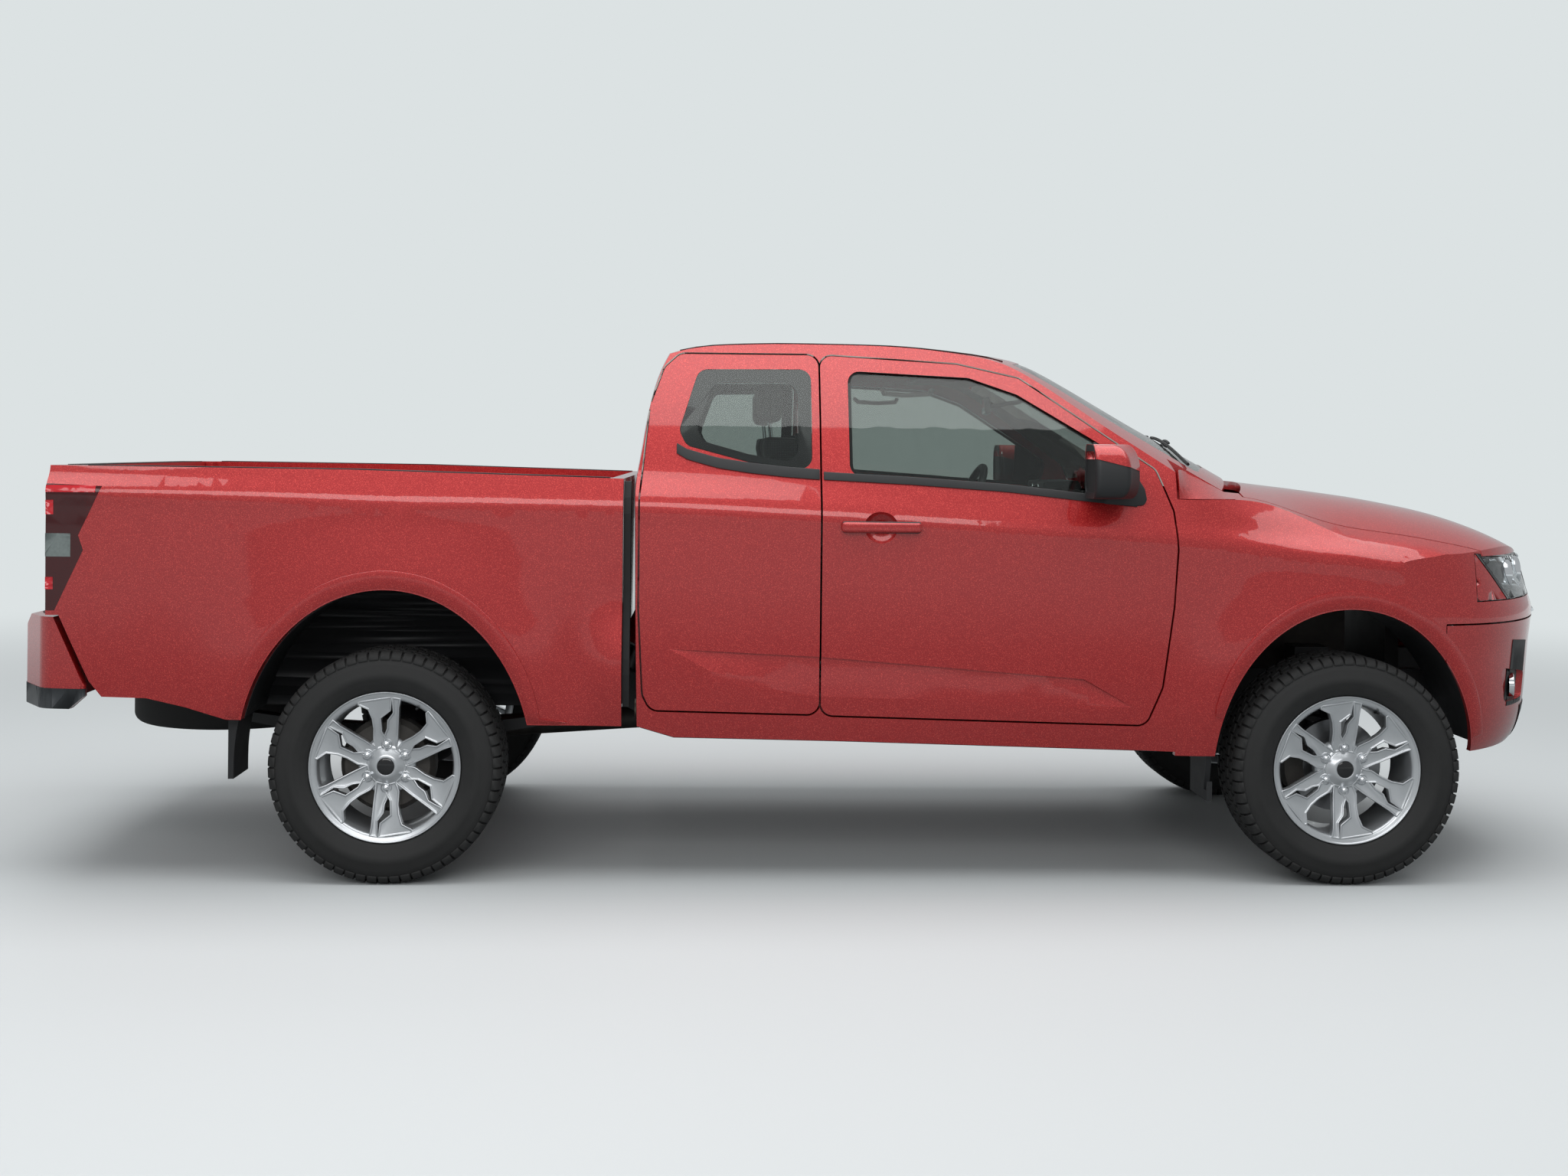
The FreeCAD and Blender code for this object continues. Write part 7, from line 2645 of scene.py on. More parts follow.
@dataclass
class Seats:
    """Front seats with pads, bases, headrests and buckles, and the small rear seats.

    Attributes:
        across: Distance of each seat's middle from the truck's middle.
        width: Width of a front seat.
        front: Front end of the cushion.
        rear: Rear end of the cushion.
        top: Level of the cushion's upper side.
    """

    across: float = 0.385
    width: float = 0.505
    front: float = 0.402
    rear: float = -0.070
    top: float = 0.990

    def piping(self, name: str, pad: bpy.types.Object, ring: Sequence[Point],
               towards: Point) -> bpy.types.Object:
        """Sews a piping along a ring of places on a pad.

        Args:
            name: The piping's name.
            pad: The pad.
            ring: Places outside the pad.
            towards: The direction in which they are laid onto it.

        Returns:
            The piping.
        """
        path = []
        for place in ring:
            hit, spot, _, _ = pad.ray_cast(Vector(place), Vector(towards))
            if hit:
                path.append(spot - Vector(towards) * 0.0005)
        return smooth(tube(name, path, 0.0035, cyclic=True, sides=8))

    def front_seat(self) -> list[bpy.types.Object]:
        """Makes the right front seat's soft pieces.

        Returns:
            The pieces.
        """
        y0 = -self.across - self.width / 2
        y1 = y0 + self.width
        cushion = Pad("seat_cushion_right", (self.rear, y0, self.top - 0.145),
                      (self.front, y1, self.top), bolster=0.020).build()
        back = Pad("seat_back_right", (self.rear, y0, self.top - 0.060),
                   (self.rear + 0.118, y1, self.top + 0.475), lean=0.125, bolster=0.020,
                   face=(0, 1)).build()
        head = Pad("seat_headrest_right", (-0.200, -self.across - 0.120, self.top + 0.505),
                   (-0.118, -self.across + 0.120, self.top + 0.648), cap=0.008,
                   voxel=0.006).build()
        ring = [(x, y, 1.3) for x, y in rounded_outline(
            [(self.rear + 0.150, y0 + 0.115), (self.front - 0.045, y0 + 0.115),
             (self.front - 0.045, y1 - 0.115), (self.rear + 0.150, y1 - 0.115)], 0.040, 5)]
        seam = self.piping("seat_cushion_piping_right", cushion, ring, (0, 0, -1))
        ring = [(0.5, y, z) for y, z in rounded_outline(
            [(y0 + 0.115, self.top + 0.090), (y1 - 0.115, self.top + 0.090),
             (y1 - 0.125, self.top + 0.420), (y0 + 0.125, self.top + 0.420)], 0.040, 5)]
        back_seam = self.piping("seat_back_piping_right", back, ring, (-1, 0, 0))
        for piece in (cushion, back, head):
            dressed(piece, SEAT_CLOTH, "root")
        for piece in (seam, back_seam):
            dressed(piece, PIPING, "root")
        return [cushion, back, head, seam, back_seam]

    def base(self) -> list[bpy.types.Object]:
        """Makes the right front seat's base, shields, rails, posts and buckle.

        Returns:
            The pieces.
        """
        y0 = -self.across - self.width / 2
        y1 = y0 + self.width
        pieces = []
        for word, y in (("outer", y0 + 0.062), ("inner", y1 - 0.102)):
            rail = bar_box(f"seat_rail_{word}_right", (self.rear - 0.01, y, 0.663),
                           (self.front - 0.03, y + 0.040, 0.690), 0.006)
            pieces.append(dressed(rail, BRAKE_STEEL, "root"))
        frame_box_ = bar_box("seat_base_right", (self.rear + 0.02, y0 + 0.060, 0.688),
                             (self.front - 0.07, y1 - 0.060, self.top - 0.128), 0.020)
        pieces.append(dressed(frame_box_, BLACK_PLASTIC, "root"))
        outline = rounded_outline([(self.rear - 0.02, 0.780), (self.front - 0.09, 0.775),
                                   (self.front - 0.05, self.top - 0.110),
                                   (self.rear - 0.02, self.top - 0.055)], 0.024, 5)
        shield = slab("seat_shield_right", [(x, y0 + 0.006, z) for x, z in outline],
                      (0, 0.050, 0))
        pieces.append(dressed(smooth(rounded(shield, 0.006, 3)), BLACK_PLASTIC, "root"))
        posts = []
        for offset in (-0.060, 0.060):
            y = -self.across + offset
            posts.append(tube("post", [(-0.152, y, self.top + 0.440),
                                       (-0.158, y, self.top + 0.500),
                                       (-0.160, y, self.top + 0.540)], 0.0055, sides=12))
        pieces.append(dressed(smooth(join("seat_posts_right", posts)), CHROME, "root"))
        buckle = bar_box("seat_buckle_right", (self.rear + 0.060, y1 - 0.002, self.top - 0.10),
                         (self.rear + 0.085, y1 + 0.012, self.top + 0.020), 0.004)
        pieces.append(dressed(buckle, BLACK_PLASTIC, "root"))
        return pieces

    def rear_seat(self) -> list[bpy.types.Object]:
        """Makes the right small rear seat.

        Returns:
            The pieces.
        """
        y0, y1 = -self.across - 0.205, -self.across + 0.205
        pad = Pad("rear_seat_cushion_right", (-0.486, y0, 0.868), (-0.226, y1, 0.955),
                  cap=0.009).build()
        rest = Pad("rear_seat_back_right", (-0.489, y0, 1.000), (-0.430, y1, 1.340),
                   face=(0, 1), cap=0.008).build()
        box = bar_box("rear_seat_base_right", (-0.480, y0 + 0.010, 0.662),
                      (-0.250, y1 - 0.010, 0.872), 0.012)
        return [dressed(pad, SEAT_CLOTH, "root"), dressed(rest, SEAT_CLOTH, "root"),
                dressed(box, BLACK_PLASTIC, "root")]

    def build(self) -> None:
        """Makes the seats on the right and their mirror images on the left."""
        pieces = self.front_seat() + self.base() + self.rear_seat()
        for piece in pieces:
            twin = mirrored(piece, piece.name.replace("right", "left"))
            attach(twin, "root")
        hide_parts("seats")


@dataclass
class Dashboard:
    """Screen, vents, dials, glove box, levers and pedals.

    Attributes:
    """


    def face(self, y: float, z: float) -> float:
        """Finds the dashboard's rear face.

        Args:
            y: Place across the truck.
            z: Height.

        Returns:
            Its X.
        """
        place = cast(["dashboard"], (0.30, y, z), (1, 0, 0))
        return place.x if place else 0.90

    def panel(self, name: str, y0: float, y1: float, z0: float, z1: float, lift: float,
              radius: float, finish: Finish) -> None:
        """Lays a flat panel on the dashboard's rear face.

        Args:
            name: Its name.
            y0: One side.
            y1: The other side.
            z0: Lower edge.
            z1: Upper edge.
            lift: How far it stands out.
            radius: Radius of its corners.
            finish: Its finish.
        """
        low = self.face((y0 + y1) / 2, z0 + 0.005)
        high = self.face((y0 + y1) / 2, z1 - 0.005)
        slope = (high - low) / (z1 - z0)
        outline = rounded_outline([(y0, z0), (y1, z0), (y1, z1), (y0, z1)], radius, 4)
        plate = slab(name, [(low + slope * (z - z0) - lift, y, z) for y, z in outline],
                     (lift + 0.004, 0, 0))
        dressed(smooth(rounded(plate, 0.002, 2)), finish, "root")

    def vent(self, index: int, y: float, z: float, half: float) -> None:
        """Makes one air vent: frame and slats.

        Args:
            index: Its number.
            y: Its middle.
            z: Its level.
            half: Half its width.
        """
        x = min(self.face(y + d, z) for d in (-half, 0, half)) - 0.004
        rim = rounded_outline([(y - half, z - 0.030), (y + half, z - 0.030),
                               (y + half, z + 0.030), (y - half, z + 0.030)], 0.012, 4)
        outer = chain("o", [(x, py, pz) for py, pz in rim], closed=True)
        inner = chain("i", [(x, py, pz) for py, pz in inset_outline(rim, 0.006)], closed=True)
        ring = join(f"vent_frame_{index}", [outer, inner])
        edit(ring)
        bpy.ops.mesh.bridge_edge_loops()
        bpy.ops.mesh.select_all(action="SELECT")
        bpy.ops.mesh.extrude_region_move(TRANSFORM_OT_translate={"value": (0.012, 0, 0)})
        solidly_out()
        leave_edit()
        dressed(smooth(rounded(ring, 0.0015, 2)), REFLECTOR, "root")
        slats = []
        for row in range(4):
            level = z - 0.018 + row * 0.012
            slats.append(slab("slat", [(x + 0.001, y - half + 0.006, level),
                                       (x + 0.001, y + half - 0.006, level),
                                       (x + 0.010, y + half - 0.006, level + 0.005),
                                       (x + 0.010, y - half + 0.006, level + 0.005)],
                              (0, 0, 0.0018)))
        dressed(join(f"vent_slats_{index}", slats), BLACK_PLASTIC, "root")

    def dial(self, index: int, y: float) -> None:
        """Makes one round instrument.

        Args:
            index: Its number.
            y: Its place across the truck.
        """
        z = 1.236
        x = self.face(y, z) - 0.002
        ring = lathe(f"dial_rim_{index}", ((0.046, 0.0), (0.046, 0.006), (0.043, 0.008),
                                          (0.040, 0.006), (0.040, 0.0)),
                     (x + 0.003, y, z), (-1, 0, 0.2), 48, closed=True)
        dressed(smooth(ring), REFLECTOR, "root")
        plate = lathe(f"dial_face_{index}", ((0.0, 0.0012), (0.040, 0.0012), (0.040, -0.001),
                                            (0.0, -0.001)),
                      (x + 0.002, y, z), (-1, 0, 0.2), 48)
        dressed(plate, GLOSS_BLACK, "root")

    def levers(self) -> None:
        """Makes the gear lever, the parking brake and the pedals."""
        base = Vector((0.585, 0.0, 0.836))
        boot = lathe("gear_boot", ((0.062, 0.0), (0.052, 0.022), (0.032, 0.046),
                                  (0.018, 0.070), (0.014, 0.078), (0.0, 0.078)),
                     tuple(base), (0, 0, 1), 32)
        dressed(smooth(boot, 60), SEAL_RUBBER, "root")
        stick = tube("gear_stick", [base + Vector((0, 0, 0.06)), base + Vector((-0.006, 0, .12)),
                                    base + Vector((-0.016, 0, 0.18))], 0.0055, sides=12)
        dressed(smooth(stick), CHROME, "root")
        knob = lathe("gear_knob", ((0.0, 0.060), (0.012, 0.058), (0.021, 0.048),
                                  (0.023, 0.032), (0.017, 0.012), (0.012, 0.0), (0.0, 0.0)),
                     tuple(base + Vector((-0.012, 0, 0.155))), (-0.12, 0, 1), 32)
        dressed(smooth(knob, 60), BLACK_PLASTIC, "root")
        brake = tube("parking_brake", [(0.43, 0.060, 0.842), (0.50, 0.060, 0.862),
                                       (0.515, 0.060, 0.866)][::-1] + [(0.36, 0.060, 0.905)],
                     0.012, sides=14)
        dressed(smooth(brake), BLACK_PLASTIC, "root")
        for index, (y, height) in enumerate(((0.47, 0.05), (0.385, 0.07), (0.29, 0.09))):
            arm = tube(f"pedal_arm_{index + 1}", [(1.16, y, 0.98), (1.12, y, 0.90),
                                                  (1.085, y, 0.80)], 0.006, sides=8)
            dressed(smooth(arm), BRAKE_STEEL, "root")
            pad = bar_box(f"pedal_pad_{index + 1}", (1.070, y - 0.030, 0.790 - height * 0.5),
                          (1.084, y + 0.030, 0.790 + height * 0.5), 0.005)
            dressed(pad, SEAL_RUBBER, "root")

    def build(self) -> None:
        """Makes the dashboard's fittings."""
        self.panel("dash_screen", -0.092, 0.092, 1.078, 1.172, 0.008, 0.008, GLOSS_BLACK)
        self.panel("dash_controls", -0.088, 0.088, 0.985, 1.030, 0.006, 0.006, BLACK_PLASTIC)
        self.panel("glove_box_lid", -0.640, -0.190, 0.955, 1.075, 0.005, 0.020, DASH_SKIN)
        self.panel("glove_box_pull", -0.470, -0.360, 1.048, 1.066, 0.010, 0.008, REFLECTOR)
        self.panel("dash_inlay", -0.690, -0.130, 1.088, 1.104, 0.004, 0.006, REFLECTOR)
        for index, y in enumerate((-0.640, -0.045, 0.045, 0.660)):
            if abs(y) > 0.5:
                self.vent(index + 1, y, 1.148, 0.048)
        for index, y in enumerate((0.320, 0.450)):
            self.dial(index + 1, y)
        for index, y in enumerate((-0.060, 0.0, 0.060)):
            x = self.face(y, 1.007) - 0.004
            knob = lathe(f"climate_knob_{index + 1}", (
                (0.0, 0.020), (0.013, 0.020), (0.0155, 0.017), (0.0165, 0.0), (0.0, 0.0)),
                (x, y, 1.007), (-1, 0, 0), 32)
            dressed(smooth(knob), REFLECTOR, "root")
        self.levers()


@dataclass
class SteeringWheelTrim:
    """Hub pad and spoke covers of the steering wheel, and the two stalks.

    Attributes:
        centre: Middle of the wheel.
        rake: Lean of its column, in degrees.
        radius: Radius of its rim.
    """

    centre: Point = (0.6275, 0.385, 1.169)
    rake: float = 24.0
    radius: float = 0.190

    def build(self) -> None:
        """Makes the pieces."""
        lean = math.radians(self.rake)
        facing = Vector((-math.cos(lean), 0, math.sin(lean)))
        pad = rounded_outline([(-0.072, 0.038), (-0.058, -0.052), (0.058, -0.052),
                               (0.072, 0.038)], 0.022, 5)
        hub = slab("wheel_hub_pad", [(x, y, 0.012) for x, y in pad], (0, 0, 0.030))
        rounded(hub, 0.010, 4)
        stood(hub, self.centre, facing)
        dressed(smooth(hub, 60), DASH_SKIN, "steering_wheel")
        for word, angle in (("left", 0), ("right", 180), ("lower", 270)):
            reach = self.radius - 0.010
            cover = slab(f"wheel_spoke_{word}", [
                (0.050, -0.022, 0.008), (reach, -0.014, 0.002), (reach, 0.014, 0.002),
                (0.050, 0.022, 0.008)], (0, 0, 0.014))
            rounded(cover, 0.004, 3)
            cover.matrix_world = Matrix.Rotation(math.radians(angle), 4, "Z")
            settle(cover)
            stood(cover, self.centre, facing)
            dressed(smooth(cover), BLACK_PLASTIC if word != "lower" else REFLECTOR,
                    "steering_wheel")
        for word, s in (("left", 1), ("right", -1)):
            start = Vector(self.centre) - facing * 0.055
            path = [start + Vector((0, s * 0.030, 0)), start + Vector((0.002, s * 0.095, 0.006)),
                    start + Vector((-0.010, s * 0.165, 0.016))]
            stalk = tube(f"column_stalk_{word}", path, 0.0062, sides=12)
            dressed(smooth(stalk), BLACK_PLASTIC, "root")


@dataclass
class DoorTrim:
    """Inner panels of the four doors with armrests, pulls, speakers and pockets.

    Attributes:
        low: Lower edge of the panels.
        high: Upper edge.
    """

    low: float = 0.640
    high: float = 1.235

    def inner_y(self, node: str, x: float, z: float, side: Side) -> float:
        """Finds the door's inner face.

        Args:
            node: The door's node.
            x: Place along the truck.
            z: Height.
            side: Side of the truck.

        Returns:
            Its Y.
        """
        place = cast([node], (x, 0.0, z), (0, side.value, 0))
        return place.y if place else side.value * 0.80

    def panel(self, node: str, rear: float, front: float, side: Side) -> None:
        """Makes a panel over the door's inner face.

        Args:
            node: The door's node.
            rear: Its rear end.
            front: Its front end.
            side: Side of the truck.
        """
        s = side.value
        trim = patch(f"{node}_trim", node, lambda c, n: n.y * s < -0.6,
                     (*length_box(rear, front), *level_box(self.low, self.high)), 0.006)
        dressed(trim, DASH_SKIN, node)

    def fittings(self, side: Side) -> None:
        """Makes the front door's armrest, pull, speaker and pocket.

        Args:
            side: Side of the truck.
        """
        s, node = side.value, f"door_{side.word}"
        y = self.inner_y(node, 0.45, 0.98, side)
        rest = rounded_outline([(0.16, 0.945), (0.74, 0.975), (0.76, 1.015), (0.70, 1.030),
                                (0.16, 0.990)], 0.018, 5)
        arm = slab(f"door_armrest_{side.word}", [(x, y, z) for x, z in rest],
                   (0, -s * 0.050, 0))
        dressed(smooth(rounded(arm, 0.010, 3)), BLACK_PLASTIC, node)
        pull = tube(f"door_pull_{side.word}", [
            (0.30, y - s * 0.004, 1.075), (0.32, y - s * 0.040, 1.082),
            (0.44, y - s * 0.042, 1.095), (0.46, y - s * 0.004, 1.100)], 0.010, sides=12)
        dressed(smooth(pull), REFLECTOR, node)
        yz = self.inner_y(node, 0.80, 0.80, side)
        ring = lathe(f"door_speaker_{side.word}", (
            (0.072, -0.002), (0.072, 0.010), (0.066, 0.013), (0.058, 0.009), (0.0, 0.012),
            (0.0, -0.002)), (0.80, yz, 0.80), (0, -s, 0), 48)
        dressed(smooth(ring), BLACK_PLASTIC, node)
        pocket = rounded_outline([(0.14, 0.665), (0.64, 0.665), (0.62, 0.790),
                                  (0.16, 0.790)], 0.020, 4)
        yp = self.inner_y(node, 0.40, 0.72, side)
        bin_ = slab(f"door_pocket_{side.word}", [(x, yp, z) for x, z in pocket],
                    (0, -s * 0.036, 0))
        dressed(smooth(rounded(bin_, 0.008, 3)), DASH_SKIN, node)

    def build(self) -> None:
        """Makes the trims of all four doors."""
        for side in Side:
            self.panel(f"door_{side.word}", 0.035, 1.10, side)
            self.panel(f"access_door_{side.word}", -0.56, -0.035, side)
            self.fittings(side)


@dataclass
class CabinLining:
    """Headliner, carpet, rear wall, mirror, visors, grab handles and belts.

    Attributes:
        middle: A place inside the cabin from which its walls are judged.
    """

    middle: Point = (0.25, 0.0, 1.25)

    def faces_in(self, centre: Vector, normal: Vector) -> bool:
        """Tells whether a face of the cab looks into the cabin.

        Args:
            centre: The face's centre.
            normal: Its normal.

        Returns:
            True if it looks in.
        """
        way = (centre - Vector(self.middle)).normalized()
        return (normal.dot(way) < -0.30 and -0.60 < centre.x < 1.35 and abs(centre.y) < 0.86)

    def lining(self) -> None:
        """Makes the large linings."""
        roof = patch("headliner", "cab_shell",
                     lambda c, n: self.faces_in(c, n) and c.z > 1.30, (), 0.004)
        dressed(roof, PALE_TRIM, "root")
        carpet = patch("cabin_carpet", "cab_shell",
                       lambda c, n: n.z > 0.6 and 0.60 < c.z < 0.80 and -0.58 < c.x < 1.18
                       and abs(c.y) < 0.80, (), 0.005)
        dressed(carpet, CARPET, "root")
        wall = patch("cabin_rear_wall", "cab_shell",
                     lambda c, n: n.x > 0.7 and c.x < -0.50 and abs(c.y) < 0.80
                     and 0.66 < c.z < 1.32, (), 0.004)
        dressed(wall, DASH_SKIN, "root")

    def mirror(self) -> None:
        """Makes the inside mirror on its stem."""
        outline = rounded_outline([(-0.122, -0.030), (0.122, -0.030), (0.112, 0.034),
                                   (-0.112, 0.034)], 0.022, 6)
        shell = slab("inside_mirror_shell", [(x, y, -0.016) for x, y in outline], (0, 0, 0.022))
        rounded(shell, 0.008, 3)
        facing = (-1.0, 0.10, -0.05)
        place = Vector((0.655, 0.0, 1.572))
        stood(shell, place, facing)
        dressed(smooth(shell, 50), BLACK_PLASTIC, "root")
        glass = slab("inside_mirror_glass", [(x, y, 0.0055) for x, y in
                                             inset_outline(outline, 0.005)], (0, 0, 0.0012))
        stood(glass, place, facing)
        dressed(glass, CHROME, "root")
        foot = cast(["cab_glass"], (0.60, 0.0, 1.60), (1, 0, 0.15))
        end = (foot.x - 0.004, 0.0, foot.z) if foot else (0.78, 0.0, 1.625)
        stem = tube("inside_mirror_stem", [tuple(place + Vector((0.012, 0, 0))),
                                           ((place.x + end[0]) / 2, 0.0, 1.590), end],
                    0.0085, sides=12)
        dressed(smooth(stem), BLACK_PLASTIC, "root")

    def visor(self, side: Side) -> None:
        """Makes a sun visor folded against the headliner.

        Args:
            side: Side of the truck.
        """
        s = side.value
        spots = []
        for x, y in ((0.42, 0.16), (0.57, 0.16), (0.57, 0.54), (0.42, 0.54)):
            place = cast(["cab_shell", "cab_glass"], (x, s * y, 1.30), (0, 0, 1))
            spots.append(place.z if place else 1.66)
        level = min(spots) - 0.022
        outline = rounded_outline([(0.415, s * 0.160), (0.565, s * 0.160), (0.565, s * 0.545),
                                   (0.415, s * 0.545)], 0.026, 5)
        flap = slab(f"sun_visor_{side.word}", [(x, y, level) for x, y in outline],
                    (0, 0, 0.014))
        dressed(smooth(rounded(flap, 0.005, 3)), PALE_TRIM, "root")

    def grab_handle(self, side: Side) -> None:
        """Makes the grab handle above the front door.

        Args:
            side: Side of the truck.
        """
        s = side.value
        place = cast(["cab_shell"], (0.30, s * 0.30, 1.615), (0, s, 0.05))
        y = abs(place.y) if place else 0.62
        path = [(0.215, s * (y - 0.002), 1.612), (0.225, s * (y - 0.036), 1.600),
                (0.30, s * (y - 0.042), 1.595), (0.375, s * (y - 0.036), 1.600),
                (0.385, s * (y - 0.002), 1.612)]
        bar = tube(f"grab_handle_{side.word}", path, 0.0085, sides=12)
        dressed(smooth(bar), PALE_TRIM, "root")

    def belt(self, side: Side) -> None:
        """Makes the seat belt that hangs beside the front seat.

        Args:
            side: Side of the truck.
        """
        s = side.value
        y = 0.655
        path = [(-0.052, s * (y + 0.004), 1.440), (-0.060, s * (y + 0.012), 1.10),
                (-0.058, s * (y + 0.014), 0.72)]
        left = [Vector((x - 0.022, py, z)) for x, py, z in path]
        right = [Vector((x + 0.022, py, z)) for x, py, z in path]
        strap = join(f"belt_strap_{side.word}", [chain("l", left), chain("r", right)])
        edit(strap)
        bpy.ops.mesh.bridge_edge_loops()
        bpy.ops.mesh.select_all(action="SELECT")
        bpy.ops.mesh.extrude_region_move(
            TRANSFORM_OT_translate={"value": (0, -s * 0.0014, 0)})
        solidly_out()
        leave_edit()
        dressed(strap, SEAL_RUBBER, "root")
        guide = bar_box(f"belt_guide_{side.word}", (-0.080, s * y - 0.008, 1.425),
                        (-0.024, s * y + 0.008, 1.462), 0.005)
        dressed(guide, BLACK_PLASTIC, "root")
        reel = bar_box(f"belt_reel_{side.word}", (-0.095, s * (y + 0.014) - 0.020, 0.664),
                       (-0.025, s * (y + 0.014) + 0.020, 0.735), 0.008)
        dressed(reel, BLACK_PLASTIC, "root")

    def build(self) -> None:
        """Makes the linings and fittings."""
        self.lining()
        self.mirror()
        for side in Side:
            self.visor(side)
            self.grab_handle(side)
            self.belt(side)


ASSEMBLIES: tuple[type, ...] = (
    RoadWheels, BeltMouldings, WindowSurrounds, DoorHandles, DoorMirrors, HeadLamps,
    BumperTrim, GrilleTrim, Wipers, ArchTrim, ArchBands, TailLampTrim, RearBumperTrim, BedTrim,
    BodyDetails, Seats, Dashboard, SteeringWheelTrim, DoorTrim, CabinLining)


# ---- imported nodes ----


NODE_FINISHES: dict[str, Finish] = {
    "ladder_frame": CHASSIS_PAINT, "front_suspension": CHASSIS_PAINT, "rear_axle": CHASSIS_PAINT,
    "leaf_springs": CHASSIS_PAINT, "engine_block": RAW_IRON, "driveline": RAW_IRON,
    "radiator": BLACK_PLASTIC, "exhaust": EXHAUST_STEEL, "fuel_tank": BLACK_PLASTIC,
    "spare_wheel": TYRE_RUBBER, "arch_liners": BLACK_PLASTIC, "seats": SEAT_CLOTH,
    "dashboard": DASH_SKIN, "steering_wheel": BLACK_PLASTIC, "cab_shell": RED_PAINT,
    "cab_glass": WINDOW_GLASS, "headlamps": LAMP_LENS, "front_bumper": RED_PAINT,
    "front_fenders": RED_PAINT, "grille": GLOSS_BLACK, "load_bed": RED_PAINT,
    "tail_lamps": TAIL_LENS, "rear_bumper": RED_PAINT, "bonnet": RED_PAINT,
    "tailgate": RED_PAINT}
SIDED_FINISHES: dict[str, Finish] = {
    "door": RED_PAINT, "access_door": RED_PAINT, "door_glass": WINDOW_GLASS,
    "quarter_glass": WINDOW_GLASS, "mirror": BLACK_PLASTIC, "knuckle": RAW_IRON,
    "brake_disc": BRAKE_STEEL, "brake_drum": RAW_IRON, "tyre_front": TYRE_RUBBER,
    "tyre_rear": TYRE_RUBBER, "rim_front": WHEEL_SILVER, "rim_rear": WHEEL_SILVER}


def finish_nodes() -> None:
    """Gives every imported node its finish."""
    for node, finish in NODE_FINISHES.items():
        refinish(node, finish)
    for key, finish in SIDED_FINISHES.items():
        for side in Side:
            refinish(f"{key}_{side.word}", finish)


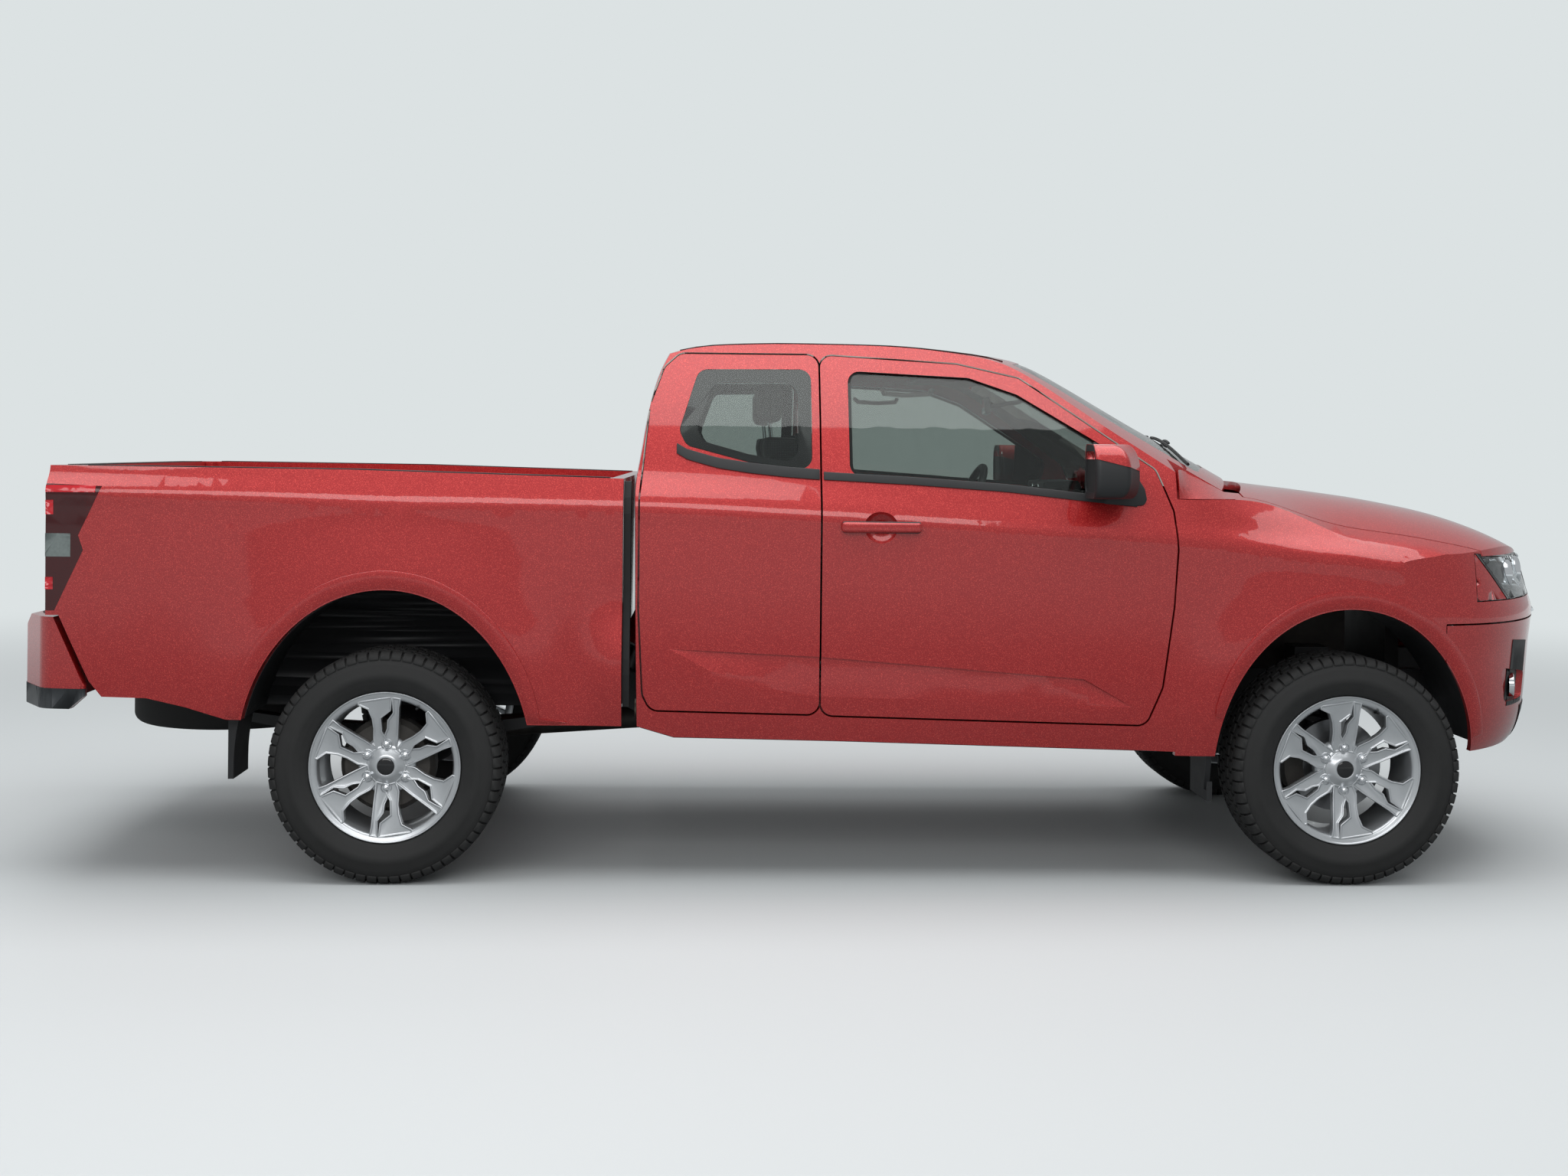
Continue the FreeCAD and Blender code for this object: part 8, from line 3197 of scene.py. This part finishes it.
@dataclass
class Studio:
    """Pale floor, soft light and the camera at the photograph's place.

    Attributes:
        camera_place: Where the camera stands.
        yaw: How far the camera is turned towards +X, in radians.
        roll: How far the camera leans, in radians.
        focal_mm: Focal length for a sensor 36 mm wide.
        shift: Vertical shift of the picture, as a share of its width.
    """

    camera_place: Point = (-0.3465, -6.90, 1.413)
    yaw: float = 0.0368
    roll: float = 0.0095
    focal_mm: float = 42.717
    shift: float = -0.0894

    def camera(self) -> None:
        """Places the camera."""
        data = bpy.data.cameras.new("camera")
        obj = bpy.data.objects.new("camera", data)
        bpy.context.scene.collection.objects.link(obj)
        level = Vector((math.cos(self.yaw), -math.sin(self.yaw), 0))
        upright = Vector((0, 0, 1))
        right = level * math.cos(self.roll) + upright * math.sin(self.roll)
        up = upright * math.cos(self.roll) - level * math.sin(self.roll)
        back = right.cross(up)
        turned = Matrix((right, up, back)).transposed().to_4x4()
        obj.matrix_world = Matrix.Translation(Vector(self.camera_place)) @ turned
        data.lens = self.focal_mm
        data.sensor_width = 36.0
        data.shift_y = self.shift
        data.clip_end = 200.0
        bpy.context.scene.camera = obj

    def floor(self) -> None:
        """Lays the floor, which shades into the white of the backdrop; its colour is a pale lit
        copy for the camera and a darker shaded copy for all other rays.
        """
        deselect()
        bpy.ops.mesh.primitive_plane_add(size=60.0, location=(0, 0, 0))
        obj = named("floor")
        made = bpy.data.materials.new("pale studio floor")
        made.use_nodes = True
        tree = made.node_tree
        tree.nodes.clear()
        shader = add_node(tree, "ShaderNodeBsdfPrincipled", {("in", "Roughness"): 0.6})
        path = add_node(tree, "ShaderNodeLightPath")
        # Painted light and shade: the camera sees a pale floor, while bounce rays meet a darker
        # one, which paints shade onto the truck's lower side
        lit_and_shaded_tone = add_node(tree, "ShaderNodeMix", {"data_type": "RGBA"}, {0: (path, 0)})
        lit_and_shaded_tone.inputs[6].default_value = linear("8D9192")
        lit_and_shaded_tone.inputs[7].default_value = linear("CDD1D2")
        tree.links.new(lit_and_shaded_tone.outputs[2], shader.inputs["Base Color"])
        place = add_node(tree, "ShaderNodeTexCoord")
        reach = add_node(tree, "ShaderNodeVectorMath", {"operation": "LENGTH"},
                         {0: (place, "Object")})
        far = add_node(tree, "ShaderNodeMapRange", {
            "interpolation_type": "SMOOTHSTEP", ("in", "From Min"): 3.5,
            ("in", "From Max"): 11.0}, {"Value": (reach, "Value")})
        air = add_node(tree, "ShaderNodeEmission", {("in", "Color"): linear("DCE2E3")})
        mixed = add_node(tree, "ShaderNodeMixShader", links={
            0: (far, 0), 1: (shader, 0), 2: (air, 0)})
        add_node(tree, "ShaderNodeOutputMaterial", links={"Surface": (mixed, 0)})
        obj.data.materials.append(made)

    def lamp(self, name: str, place: Point, target: Point, size: tuple[float, float],
             power: float) -> None:
        """Hangs one soft lamp.

        Args:
            name: The lamp's name.
            place: Where it hangs.
            target: What it faces.
            size: Its width and height.
            power: Its power in watts.
        """
        data = bpy.data.lights.new(name, "AREA")
        data.shape = "RECTANGLE"
        data.size, data.size_y = size
        data.energy = power
        obj = bpy.data.objects.new(name, data)
        bpy.context.scene.collection.objects.link(obj)
        obj.location = place
        look = Vector(target) - Vector(place)
        obj.rotation_euler = look.to_track_quat("-Z", "Y").to_euler()

    def world(self) -> None:
        """Lights the air evenly and shows a pale backdrop to camera, gloss and glass."""
        world = bpy.data.worlds.new("studio air")
        bpy.context.scene.world = world
        world.use_nodes = True
        tree = world.node_tree
        tree.nodes.clear()
        path = add_node(tree, "ShaderNodeLightPath")
        seen = add_node(tree, "ShaderNodeMath", {"operation": "MAXIMUM"},
                        {0: (path, "Is Camera Ray"), 1: (path, "Is Transmission Ray")})
        light = add_node(tree, "ShaderNodeBackground", {
            ("in", "Color"): linear("E8ECEE"), ("in", "Strength"): 0.55})
        shown = add_node(tree, "ShaderNodeBackground", {
            ("in", "Color"): linear("DCE2E3"), ("in", "Strength"): 1.0})
        mixed = add_node(tree, "ShaderNodeMixShader", links={
            0: (seen, 0), 1: (light, 0), 2: (shown, 0)})
        add_node(tree, "ShaderNodeOutputWorld", links={"Surface": (mixed, 0)})

    def build(self) -> None:
        """Sets up the whole studio."""
        bpy.context.scene.view_settings.view_transform = "Standard"
        self.camera()
        self.floor()
        self.world()
        self.lamp("overhead softbox", (0, -0.8, 5.5), (0, 0, 0.8), (9.0, 5.5), 350)
        self.lamp("side softbox", (-1.5, -7.5, 4.2), (0, 0, 0.8), (7.0, 2.5), 170)
        self.lamp("far softbox", (-1.0, 5.5, 6.0), (0, 0, 0.8), (8.0, 3.0), 90)


def main() -> None:
    """Builds and dresses every sub-assembly in order."""
    finish_nodes()
    Studio().build()
    for piece in ASSEMBLIES:
        piece().build()


if __name__ == "__main__":
    main()
